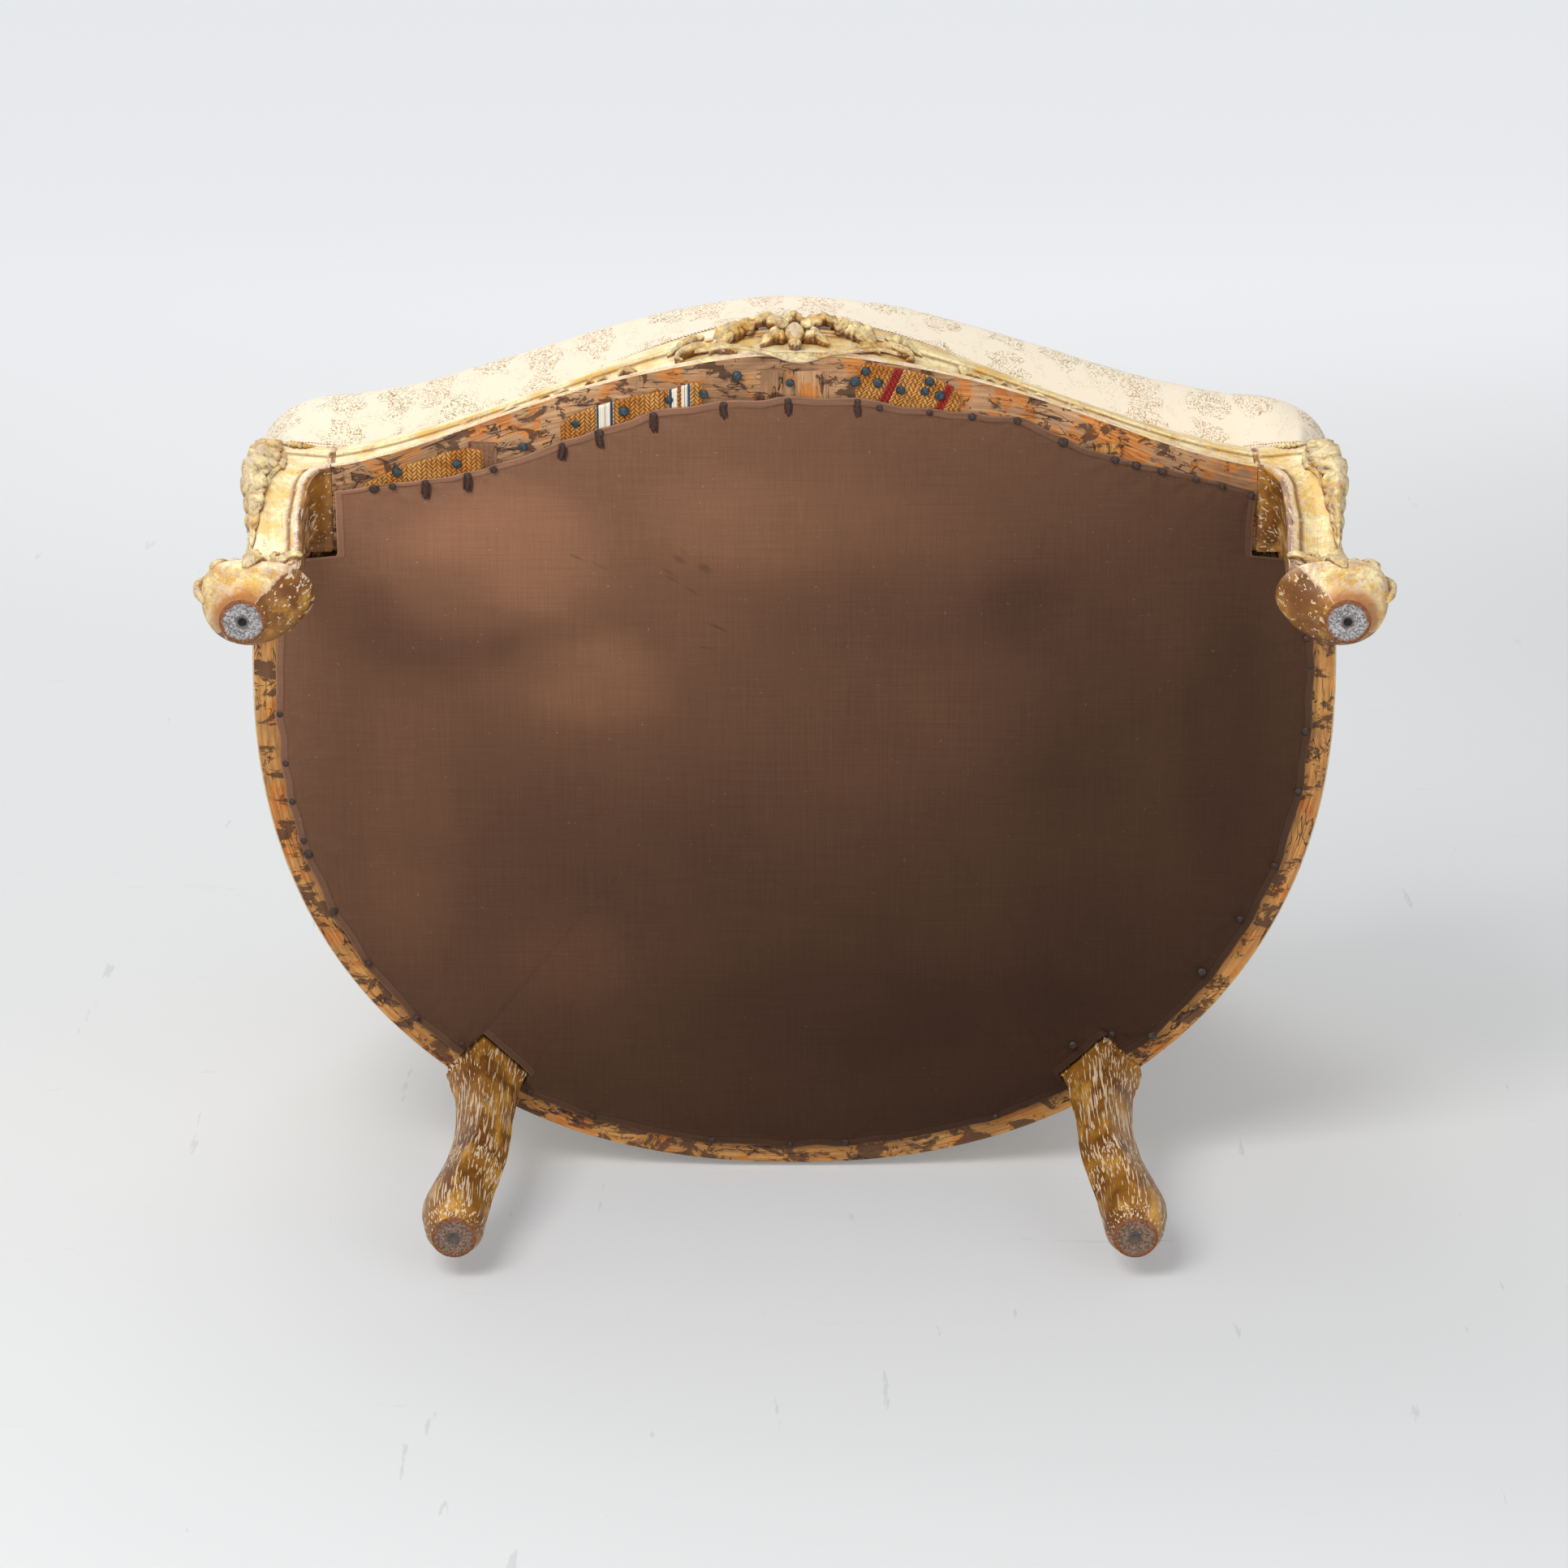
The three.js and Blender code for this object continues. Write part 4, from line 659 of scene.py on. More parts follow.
class Graph:
    """Short names for the shader nodes that the finishes are made of."""

    def __init__(self, tree: bpy.types.NodeTree) -> None:
        """Holds the tree."""
        self.tree = tree

    def add(self, kind: str, inputs: dict | None = None, **settings: object) -> bpy.types.Node:
        """Adds a node, sets its options, and sets or links its inputs.

        Args:
            kind: The node's type name.
            inputs: Socket name or index to a value or a socket.
            settings: The node's options.

        Returns:
            The node.
        """
        node = self.tree.nodes.new(kind)
        for key, value in settings.items():
            setattr(node, key, value)
        for key, value in (inputs or {}).items():
            socket = node.inputs[key]
            if isinstance(value, bpy.types.NodeSocket):
                self.tree.links.new(value, socket)
            else:
                socket.default_value = value
        return node

    def math(self, operation: str, a: object, b: object = 0.0, c: object = 0.0) -> bpy.types.NodeSocket:
        """A sum or another operation on numbers."""
        return self.add("ShaderNodeMath", {0: a, 1: b, 2: c}, operation=operation).outputs[0]

    def vector(self, operation: str, a: object, b: object = (0, 0, 0)) -> bpy.types.NodeSocket:
        """An operation on vectors."""
        node = self.add("ShaderNodeVectorMath", {0: a, 1: b}, operation=operation)
        return node.outputs["Value"] if operation in ("LENGTH", "DOT_PRODUCT") else node.outputs[0]

    def stretch(self, vector: object, scale: Sequence[float]) -> bpy.types.NodeSocket:
        """Coordinates scaled along each axis."""
        return self.vector("MULTIPLY", vector, tuple(scale))

    def noise(self, vector: object, scale: float, detail: float = 4, rough: float = 0.55,
              distortion: float = 0.0) -> bpy.types.NodeSocket:
        """Noise between 0 and 1."""
        node = self.add("ShaderNodeTexNoise", {
            "Vector": vector, "Scale": scale, "Detail": detail, "Roughness": rough, "Distortion": distortion,
        })
        return node.outputs["Fac"]

    def cells(self, vector: object, scale: float, feature: str = "F1", randomness: float = 1.0,
              dimensions: str = "3D") -> bpy.types.Node:
        """A Voronoi node."""
        return self.add("ShaderNodeTexVoronoi", {
            "Vector": vector, "Scale": scale, "Randomness": randomness,
        }, feature=feature, voronoi_dimensions=dimensions)

    def span(self, value: object, low: float, high: float, to_low: float = 0.0,
             to_high: float = 1.0) -> bpy.types.NodeSocket:
        """Maps a range onto another with eased ends."""
        node = self.add("ShaderNodeMapRange", {
            "Value": value, "From Min": low, "From Max": high, "To Min": to_low, "To Max": to_high,
        }, interpolation_type="SMOOTHSTEP")
        return node.outputs["Result"]

    def mix(self, share: object, a: object, b: object) -> bpy.types.NodeSocket:
        """Mixes two colours."""
        return self.add("ShaderNodeMix", {0: share, 6: a, 7: b}, data_type="RGBA").outputs[2]

    def shade(self, colour: object, value: object) -> bpy.types.NodeSocket:
        """Multiplies a colour by a number."""
        grey = self.add("ShaderNodeCombineColor", {0: value, 1: value, 2: value}).outputs[0]
        inputs = {0: 1.0, 6: colour, 7: grey}
        return self.add("ShaderNodeMix", inputs, data_type="RGBA", blend_type="MULTIPLY").outputs[2]

    def attribute(self, name: str) -> bpy.types.NodeSocket:
        """A number stored at the vertices."""
        return self.add("ShaderNodeAttribute", attribute_name=name).outputs["Fac"]

    def object_place(self) -> bpy.types.NodeSocket:
        """Object coordinates."""
        return self.add("ShaderNodeTexCoord").outputs["Object"]

    def uv(self) -> bpy.types.NodeSocket:
        """The piece's own UV map, in metres."""
        return self.add("ShaderNodeTexCoord").outputs["UV"]

    def bump(self, height: object, depth: float, strength: float) -> bpy.types.NodeSocket:
        """A bump whose height is a share of the depth in metres."""
        return self.add("ShaderNodeBump", {"Height": height, "Distance": depth, "Strength": strength}).outputs[0]

    def group(self, tree: bpy.types.NodeTree, inputs: dict) -> bpy.types.Node:
        """Places a node group."""
        return self.add("ShaderNodeGroup", inputs, node_tree=tree)


def new_group(name: str, inputs: dict[str, tuple[str, object]], outputs: dict[str, str]) -> bpy.types.NodeTree:
    """An empty shader group with named sockets.

    Args:
        name: The group's name.
        inputs: Socket name to its type and default.
        outputs: Socket name to its type.

    Returns:
        The group, with its input and output nodes in place.
    """
    tree = bpy.data.node_groups.new(name, "ShaderNodeTree")
    for key, (kind, default) in inputs.items():
        socket = tree.interface.new_socket(name=key, in_out="INPUT", socket_type=kind)
        if default is not None:
            socket.default_value = default
    for key, kind in outputs.items():
        tree.interface.new_socket(name=key, in_out="OUTPUT", socket_type=kind)
    tree.nodes.new("NodeGroupInput").name = "in"
    tree.nodes.new("NodeGroupOutput").name = "out"
    return tree


def weave_group() -> bpy.types.NodeTree:
    """Plain weave: warp and weft threads over and under each other."""
    tree = new_group(
        "plain weave",
        {"Vector": ("NodeSocketVector", None), "Thread": ("NodeSocketFloat", 0.0005),
         "Slub": ("NodeSocketFloat", 0.3)},
        {"Height": "NodeSocketFloat", "Slubs": "NodeSocketFloat"},
    )
    g = Graph(tree)
    source = tree.nodes["in"]
    across = g.math("DIVIDE", 1.0, source.outputs["Thread"])
    scaled = g.add("ShaderNodeVectorMath", {0: source.outputs["Vector"], "Scale": across},
                   operation="SCALE").outputs[0]
    parts = g.add("ShaderNodeSeparateXYZ", {0: scaled})
    pulled = g.noise(scaled, 0.02, 2)
    x = g.math("MULTIPLY_ADD", pulled, 2.0, parts.outputs[0])
    y = g.math("MULTIPLY_ADD", pulled, -2.0, parts.outputs[1])
    warp = g.math("ABSOLUTE", g.math("SINE", g.math("MULTIPLY", x, math.pi)))
    weft = g.math("ABSOLUTE", g.math("SINE", g.math("MULTIPLY", y, math.pi)))
    over = g.math("MULTIPLY", g.math("SINE", g.math("MULTIPLY", x, math.pi / 2)),
                  g.math("SINE", g.math("MULTIPLY", y, math.pi / 2)))
    side = g.span(over, -0.15, 0.15)
    height = g.math("ADD", g.math("MULTIPLY", warp, side),
                    g.math("MULTIPLY", weft, g.math("SUBTRACT", 1.0, side)))
    rows = g.noise(g.stretch(scaled, (0.012, 1.0, 1.0)), 0.7, 3, 0.7)
    columns = g.noise(g.stretch(scaled, (1.0, 0.012, 1.0)), 0.7, 3, 0.7)
    slubs = g.math("MULTIPLY", g.math("ADD", rows, columns), 0.5)
    tall = g.math("ADD", height, g.math("MULTIPLY", slubs, source.outputs["Slub"]))
    tree.links.new(tall, tree.nodes["out"].inputs["Height"])
    tree.links.new(slubs, tree.nodes["out"].inputs["Slubs"])
    return tree


def flake_group() -> bpy.types.NodeTree:
    """Old finish that has flaked off in patches drawn out along a direction."""
    tree = new_group(
        "flaked finish",
        {"Vector": ("NodeSocketVector", None), "Amount": ("NodeSocketFloat", 0.5),
         "Size": ("NodeSocketFloat", 60.0), "Ragged": ("NodeSocketFloat", 1.0)},
        {"Mask": "NodeSocketFloat", "Edge": "NodeSocketFloat"},
    )
    g = Graph(tree)
    source = tree.nodes["in"]
    rough = g.add("ShaderNodeTexNoise", {
        "Vector": source.outputs["Vector"], "Scale": source.outputs["Size"],
        "Detail": g.math("MULTIPLY", source.outputs["Ragged"], 6.0), "Roughness": 0.62,
        "Distortion": g.math("MULTIPLY", source.outputs["Ragged"], 0.35),
    }).outputs["Fac"]
    level = g.math("SUBTRACT", 0.78, g.math("MULTIPLY", source.outputs["Amount"], 0.5))
    past = g.math("SUBTRACT", rough, level)
    tree.links.new(g.span(past, -0.012, 0.012), tree.nodes["out"].inputs["Mask"])
    near = g.math("SUBTRACT", 1.0, g.span(g.math("ABSOLUTE", past), 0.0, 0.02))
    tree.links.new(near, tree.nodes["out"].inputs["Edge"])
    return tree


WEAVE = weave_group()
FLAKES = flake_group()
HEADS = heads_tree()


@dataclass(frozen=True)
class Finish:
    """A material: a name, how rough it is, and a method that draws its colour and bump."""

    name: str
    roughness: float = 0.6

    def paint(self, g: Graph, shader: bpy.types.Node) -> None:
        """Draws the finish; each finish has its own."""
        raise NotImplementedError

    def build(self) -> bpy.types.Material:
        """Makes the material."""
        material = bpy.data.materials.new(self.name)
        material.use_nodes = True
        g = Graph(material.node_tree)
        shader = material.node_tree.nodes["Principled BSDF"]
        shader.inputs["Roughness"].default_value = self.roughness
        self.paint(g, shader)
        return material


@dataclass(frozen=True)
class WornGilt(Finish):
    """Cream and yellow gilding over gesso, darkened to gold-brown in the grooves as painted shade with some grime, and
    rubbed pink on the beads.
    """

    light: tuple = (253, 236, 182)
    gold: tuple = (233, 188, 98)
    # Gold-brown that the grooves darken to, as their painted shade with grime; the chips show it too
    recess: tuple = (140, 80, 20)
    rubbed: tuple = (222, 188, 164)
    bare: float = 0.42
    metal: float = 0.1
    dirty: float = 0.35
    chased: float = 0.0

    def gilding(self, g: Graph) -> tuple[bpy.types.NodeSocket, bpy.types.NodeSocket]:
        """Colour and height of the gilding, which follow the carved relief."""
        place, relief, along = g.object_place(), g.attribute("relief"), g.uv()
        cloud = g.noise(place, 42, 5)
        lines = g.noise(g.stretch(along, (7, 640, 1)), 1.0, 4, 0.65)
        base = g.mix(g.span(g.math("ADD", cloud, g.math("MULTIPLY", lines, 0.5)), 0.6, 0.86),
                     linear(self.gold), linear(self.light))
        dirt = g.noise(place, 150, 6, 0.68)
        # Grooves, low in relief, darken towards the recess colour as painted shade; the dirt noise adds real grime.
        grime_and_groove_shade = g.math("ADD", g.span(relief, 0.12, 0.54, 1, 0),
                       g.math("MULTIPLY", g.span(dirt, 0.5, 0.68), self.dirty))
        toned = g.mix(g.math("MINIMUM", g.math("MULTIPLY", grime_and_groove_shade, 0.9), 0.94), base, linear(self.recess))
        worn = g.math("ADD", relief, g.math("MULTIPLY", g.noise(place, 95, 7, 0.74), 0.9))
        edge = g.span(worn, 1.72 - self.bare, 1.8 - self.bare)
        flaked = g.group(FLAKES, {"Vector": g.stretch(along, (0.5, 1, 1)), "Amount": self.bare - 0.04,
                                  "Size": 260.0})
        bare = g.math("MAXIMUM", g.math("MULTIPLY", edge, 0.85), g.math("MULTIPLY", flaked.outputs["Mask"], 0.65))
        colour = g.mix(bare, toned, g.mix(g.span(dirt, 0.4, 0.6), linear(self.rubbed), linear((238, 214, 188))))
        chips = g.span(g.noise(place, 480, 3, 0.6), 0.67, 0.7)
        colour = g.mix(g.math("MULTIPLY", chips, 0.6), colour, linear(self.recess))
        cracks = g.span(g.cells(g.stretch(along, (1, 0.25, 1)), 46, "DISTANCE_TO_EDGE").outputs[0], 0.0, 0.01)
        height = g.math("SUBTRACT", g.math("MULTIPLY", lines, 0.5),
                        g.math("ADD", g.math("MULTIPLY", bare, 0.8), g.math("MULTIPLY", chips, 0.5)))
        height = g.math("SUBTRACT", height, g.math("MULTIPLY", g.span(dirt, 0.42, 0.66), self.chased))
        return g.shade(colour, g.span(cracks, 0, 1, 0.8, 1.0)), height

    def paint(self, g: Graph, shader: bpy.types.Node) -> None:
        """Draws the gilding."""
        colour, height = self.gilding(g)
        g.tree.links.new(colour, shader.inputs["Base Color"])
        g.tree.links.new(g.bump(height, 0.0005, 0.8), shader.inputs["Normal"])
        shader.inputs["Metallic"].default_value = self.metal


@dataclass(frozen=True)
class FlakedVarnish(Finish):
    """Olive-gold varnish with long pinkish-cream flakes, as on the plain legs."""

    varnish: tuple = (164, 110, 36)
    deep: tuple = (112, 66, 20)
    gold: tuple = (224, 164, 62)
    wood: tuple = (234, 204, 168)
    amount: float = 0.42
    size: float = 760.0
    length: float = 0.038
    ragged: float = 0.2

    def varnished(self, g: Graph) -> tuple[bpy.types.NodeSocket, bpy.types.NodeSocket]:
        """Colour and height of the varnish, whose flakes run up the piece."""
        place = g.object_place()
        tone = g.mix(g.span(g.noise(place, 40, 4), 0.35, 0.7), linear(self.deep), linear(self.varnish))
        gleam = g.span(g.noise(g.stretch(place, (3, 3, 1)), 24, 4), 0.5, 0.68)
        tone = g.mix(g.math("MULTIPLY", gleam, 0.7), tone, linear(self.gold))
        worn = g.span(g.noise(place, 30, 3), 0.35, 0.7, -0.09, 0.09)
        fine = g.group(FLAKES, {"Vector": g.stretch(place, (1, 1, self.length)),
                                "Amount": g.math("ADD", worn, self.amount), "Size": self.size,
                                "Ragged": self.ragged})
        broad = g.group(FLAKES, {"Vector": g.stretch(place, (1, 1, 0.16)),
                                 "Amount": g.math("ADD", worn, self.amount - 0.14), "Size": self.size * 0.26})
        mask = g.math("MAXIMUM", fine.outputs["Mask"], broad.outputs["Mask"])
        fibre = g.noise(g.stretch(place, (420, 420, 8)), 1.0, 4, 0.7)
        wood = g.shade(linear(self.wood), g.span(fibre, 0.25, 0.75, 0.74, 1.08))
        colour = g.mix(mask, tone, wood)
        rim = g.math("MULTIPLY", g.math("MAXIMUM", fine.outputs["Edge"], broad.outputs["Edge"]), 0.35)
        colour = g.mix(rim, colour, linear(self.deep))
        return colour, g.math("SUBTRACT", g.math("MULTIPLY", fibre, 0.15), mask)

    def paint(self, g: Graph, shader: bpy.types.Node) -> None:
        """Draws the varnish."""
        colour, height = self.varnished(g)
        g.tree.links.new(colour, shader.inputs["Base Color"])
        g.tree.links.new(g.bump(height, 0.0005, 0.8), shader.inputs["Normal"])


@dataclass(frozen=True)
class LegFinish(Finish):
    """Gilt on the faces that show and flaked varnish behind, which meet in a ragged line."""

    gilt: WornGilt = WornGilt("gilt", gold=(236, 192, 98))
    varnish: FlakedVarnish = FlakedVarnish("varnish", amount=0.4, size=330.0, length=0.16, ragged=0.5)
    ochre: tuple = (208, 150, 44)
    bared: tuple = (208, 180, 156)
    rust: tuple = (172, 100, 42)
    shadow: tuple = (122, 66, 20)
    groove: float = 0.0768

    def paint(self, g: Graph, shader: bpy.types.Node) -> None:
        """Draws both finishes and the line between them."""
        gilt, gilt_height = self.gilt.gilding(g)
        varnish, varnish_height = self.varnish.varnished(g)
        place = g.object_place()
        height = g.add("ShaderNodeSeparateXYZ", {0: place}).outputs[2]
        patchy = g.noise(place, 75, 6, 0.7)
        worn = g.math("MULTIPLY", g.span(height, 0.055, 0.088, 1, 0), g.span(patchy, 0.38, 0.6))
        gilt = g.mix(g.math("MULTIPLY", worn, 0.85), gilt, g.mix(
            g.span(g.noise(place, 190, 5, 0.7), 0.42, 0.58), linear(self.ochre), linear(self.bared)))
        rust = g.span(g.math("ADD", height, g.math("MULTIPLY", patchy, 0.02)), 0.013, 0.022, 0.85, 0)
        gilt = g.mix(rust, gilt, linear(self.rust))
        uneven = g.math("ADD", height, g.math("MULTIPLY", g.math("SUBTRACT", patchy, 0.5), 0.012))
        groove = g.span(g.math("ABSOLUTE", g.math("SUBTRACT", uneven, self.groove)), 0.0012, 0.0055, 0.85, 0)
        gilt = g.mix(groove, gilt, linear(self.shadow))
        ragged = g.math("ADD", g.attribute("outward"), g.math("MULTIPLY", g.math(
            "SUBTRACT", g.noise(place, 95, 6, 0.7), 0.5), 1.5))
        front = g.span(ragged, 0.42, 0.5)
        seam = g.math("SUBTRACT", 1.0, g.span(g.math("ABSOLUTE", g.math("SUBTRACT", ragged, 0.42)), 0.06, 0.16))
        colour = g.mix(front, varnish, gilt)
        colour = g.mix(g.math("MULTIPLY", seam, 0.8), colour, linear((214, 178, 150)))
        g.tree.links.new(colour, shader.inputs["Base Color"])
        relief = g.math("ADD", g.math("MULTIPLY", gilt_height, front),
                        g.math("MULTIPLY", varnish_height, g.math("SUBTRACT", 1.0, front)))
        g.tree.links.new(g.bump(relief, 0.0005, 0.8), shader.inputs["Normal"])
        shader.inputs["Metallic"].default_value = 0.08


@dataclass(frozen=True)
class RawWood(Finish):
    """The unfinished underside: tan wood with dark stains, worm tracks, splits and orange glue runs."""

    wood: tuple = (160, 116, 80)
    pale: tuple = (204, 160, 116)
    stain: tuple = (70, 40, 26)
    glue: tuple = (166, 84, 26)
    glued: float = 0.52
    stained: float = 0.66
    fine: float = 1.0

    def paint(self, g: Graph, shader: bpy.types.Node) -> None:
        """Draws grain, runs, stains, tracks and holes."""
        place, along = g.object_place(), g.uv()
        grain = g.noise(g.stretch(along, (14, 460 * self.fine, 1)), 1.0, 6, 0.68, 0.3)
        colour = g.mix(g.span(grain, 0.32, 0.68), linear(self.wood), linear(self.pale))
        splits = g.span(g.noise(g.stretch(along, (22, 260 * self.fine, 1)), 1.0, 4, 0.65, 0.8), 0.61, 0.65)
        grimy = g.span(g.noise(g.stretch(along, (9, 26, 1)), 1.0, 5, 0.65, 0.4), 0.4, 0.66, 0, 0.62)
        colour = g.mix(grimy, colour, linear((104, 66, 42)))
        colour = g.mix(g.math("MULTIPLY", splits, 0.9), colour, linear((66, 38, 24)))
        run = g.span(g.math("ADD", g.noise(place, 30, 6, 0.62), g.math("MULTIPLY", grain, 0.25)),
                     0.82 - 0.35 * self.glued, 0.87 - 0.35 * self.glued)
        colour = g.mix(g.math("MULTIPLY", run, 0.85), colour,
                       g.mix(g.span(grain, 0.35, 0.65), linear(self.glue), linear((214, 138, 58))))
        spots = g.noise(g.stretch(place, (1, 1.6, 1)), 46, 8, 0.74, 0.5)
        stain = g.span(spots, 0.73 - 0.28 * self.stained, 0.77 - 0.28 * self.stained)
        colour = g.mix(g.math("MULTIPLY", stain, 0.85), colour, linear(self.stain))
        bend = g.add("ShaderNodeVectorMath", {0: place, 1: g.add("ShaderNodeTexNoise", {
            "Vector": place, "Scale": 90.0, "Detail": 2.0}).outputs["Color"]}, operation="ADD").outputs[0]
        ridge = g.math("ABSOLUTE", g.math("SUBTRACT", g.noise(g.stretch(along, (40, 130, 1)), 1.0, 2, 0.5), 0.5))
        tracks = g.math("MULTIPLY", g.span(ridge, 0.006, 0.014, 1, 0), g.span(g.noise(place, 24, 3), 0.5, 0.56))
        worm = g.cells(bend, 230).outputs["Distance"]
        pits = g.math("MULTIPLY", g.span(worm, 0.12, 0.2, 1, 0), g.span(g.noise(place, 34, 2), 0.5, 0.58))
        holes = g.math("MAXIMUM", tracks, pits)
        colour = g.mix(g.math("MULTIPLY", holes, 0.9), colour, linear((44, 26, 18)))
        g.tree.links.new(colour, shader.inputs["Base Color"])
        height = g.math("SUBTRACT", g.math("MULTIPLY", grain, 0.5), g.math("ADD", g.math(
            "ADD", holes, splits), g.math("MULTIPLY", stain, 0.4)))
        g.tree.links.new(g.bump(height, 0.0009, 0.95), shader.inputs["Normal"])


@dataclass(frozen=True)
class Cambric(Finish):
    """Thin brown lining cloth, faded in clouds, darker in others (water stains, and the left front leg's shadow painted
    in), with splashes and a hem; it darkens towards the right and the rear, partly as fading and partly as painted
    light falloff.
    """

    cloth: tuple = (91, 64, 48)
    faded: tuple = (114, 80, 59)
    # Dark brown of the damp clouds and of the left front leg's painted shadow
    damp_and_shadow: tuple = (64, 43, 34)
    # How fast the cloth darkens towards the right and towards the rear, per metre: partly fading, partly painted light
    # falloff away from the lamp at the front left
    darkening: tuple = (1.5, 2.3)
    middle: float = -0.04

    def paint(self, g: Graph, shader: bpy.types.Node) -> None:
        """Draws the clouds, among them the painted shadow of the left front leg, the hem, the weave with its painted
        shade, and the painted light falloff.
        """
        place = g.object_place()
        weave = g.group(WEAVE, {"Vector": place, "Thread": 0.00052, "Slub": 0.7})
        cloud = g.attribute("cloud")
        soft = g.math("MULTIPLY", g.math("SUBTRACT", g.noise(place, 5, 6, 0.6), 0.5), 1.3)
        level = g.math("ADD", cloud, soft)
        colour = g.mix(g.span(level, -0.9, 0.1, 0.7, 0), linear(self.cloth), linear(self.faded))
        # Darker clouds: damp stains, and the painted shadow of the left front leg
        colour = g.mix(g.span(level, 0.0, 1.0, 0, 0.7), colour, linear(self.damp_and_shadow))
        colour = g.mix(g.math("MULTIPLY", g.attribute("drips"), 0.5), colour, linear((62, 42, 34)))
        hem = g.attribute("hem")
        band = g.span(hem, 0.0046, 0.0054, 0.16, 0)
        colour = g.mix(band, colour, linear((138, 104, 84)))
        lip = g.span(hem, 0.0003, 0.0010, 0.35, 0)
        colour = g.mix(lip, colour, linear((150, 114, 92)))
        seam = g.math("SUBTRACT", 1.0, g.span(g.math("ABSOLUTE", g.math("SUBTRACT", hem, 0.0054)), 0.0, 0.0009))
        colour = g.mix(g.math("MULTIPLY", seam, 0.3), colour, linear((52, 34, 28)))
        lint = g.span(g.noise(place, 420, 2, 0.5), 0.72, 0.78)
        colour = g.mix(g.math("MULTIPLY", lint, 0.25), colour, linear((168, 146, 128)))
        # Weave tone: darker between the threads and lighter on their tops as painted shade and highlight; the slubs
        # vary the threads' own tone.
        tone = g.math("MULTIPLY", g.span(weave.outputs["Height"], 0.2, 1.5, 0.74, 1.16),
                      g.span(weave.outputs["Slubs"], 0.35, 0.65, 0.93, 1.07))
        # Painted light falloff mixed with fading: the cloth darkens away from the lamp at the front left.
        spot = g.add("ShaderNodeSeparateXYZ", {0: place}).outputs
        fading_and_light_falloff = g.math("ADD", g.math("MULTIPLY", spot[0], -self.darkening[0]),
                      g.math("MULTIPLY", g.math("SUBTRACT", spot[1], self.middle), -self.darkening[1]))
        tone = g.math("MULTIPLY", tone, g.math("EXPONENT", fading_and_light_falloff))
        g.tree.links.new(g.shade(colour, tone), shader.inputs["Base Color"])
        g.tree.links.new(g.bump(weave.outputs["Height"], 0.00022, 0.6), shader.inputs["Normal"])
        shader.inputs["Specular IOR Level"].default_value = 0.15


@dataclass(frozen=True)
class Braid(Finish):
    """The jute threads at the straps' folded ends, with threads of other colours in the bands."""

    jute: tuple = (192, 124, 54)
    # Brown of the painted shade between the knots
    dark: tuple = (112, 54, 18)
    cream: tuple = (238, 230, 212)
    blue: tuple = (56, 84, 104)
    red: tuple = (168, 42, 40)

    def paint(self, g: Graph, shader: bpy.types.Node) -> None:
        """Draws the threads by their height, darker between the knots as painted shade and lighter on them as painted
        highlight, and the bands by their kind.
        """
        place, knot, band = g.object_place(), g.attribute("knot"), g.attribute("band")
        fuzz = g.noise(place, 1500, 3, 0.6)
        patch = g.noise(place, 60, 4)
        colour = g.mix(g.span(patch, 0.35, 0.65), linear(self.jute), linear((216, 160, 88)))
        for kind, tint in ((1, self.cream), (2, self.blue), (3, self.red)):
            near = g.span(g.math("ABSOLUTE", g.math("SUBTRACT", band, float(kind))), 0.3, 0.5, 1, 0)
            colour = g.mix(near, colour, linear(tint))
        # Painted shade between the knots and painted highlight on them, from each knot's height
        lit = g.span(g.math("ADD", knot, g.math("MULTIPLY", fuzz, 0.4)), 0.25, 1.05)
        deep = g.mix(0.55, g.shade(colour, 0.35), linear(self.dark))
        g.tree.links.new(g.mix(lit, deep, colour), shader.inputs["Base Color"])
        g.tree.links.new(g.bump(fuzz, 0.0003, 0.6), shader.inputs["Normal"])
        shader.inputs["Specular IOR Level"].default_value = 0.2


@dataclass(frozen=True)
class FootEnd(Finish):
    """Worn end of a foot: speckled grey with an orange-brown rim and a hole painted dark as its shade."""

    pale: tuple = (202, 199, 199)
    dark: tuple = (104, 100, 100)
    rim: tuple = (156, 98, 54)
    # Painted shade in the shallow castor hole
    hole: tuple = (22, 16, 14)

    def paint(self, g: Graph, shader: bpy.types.Node) -> None:
        """Draws the speckle by the distance from the hole."""
        place, rim = g.object_place(), g.attribute("rim")
        speckle = g.noise(place, 700, 5, 0.75)
        colour = g.mix(g.span(speckle, 0.4, 0.62), linear(self.dark), linear(self.pale))
        ragged = g.math("ADD", rim, g.math("MULTIPLY", g.math("SUBTRACT", g.noise(place, 260, 5, 0.7), 0.5), 0.5))
        rust = g.mix(g.span(speckle, 0.4, 0.6), linear((110, 66, 40)), linear(self.rim))
        colour = g.mix(g.span(ragged, 0.74, 0.9), colour, rust)
        colour = g.mix(g.span(ragged, 0.16, 0.3, 0.8, 0), colour, linear((82, 72, 70)))
        # The shallow hole is painted dark: painted shade
        colour = g.mix(g.span(rim, 0.03, 0.07, 1, 0), colour, linear(self.hole))
        g.tree.links.new(colour, shader.inputs["Base Color"])
        g.tree.links.new(g.bump(speckle, 0.0009, 0.9), shader.inputs["Normal"])


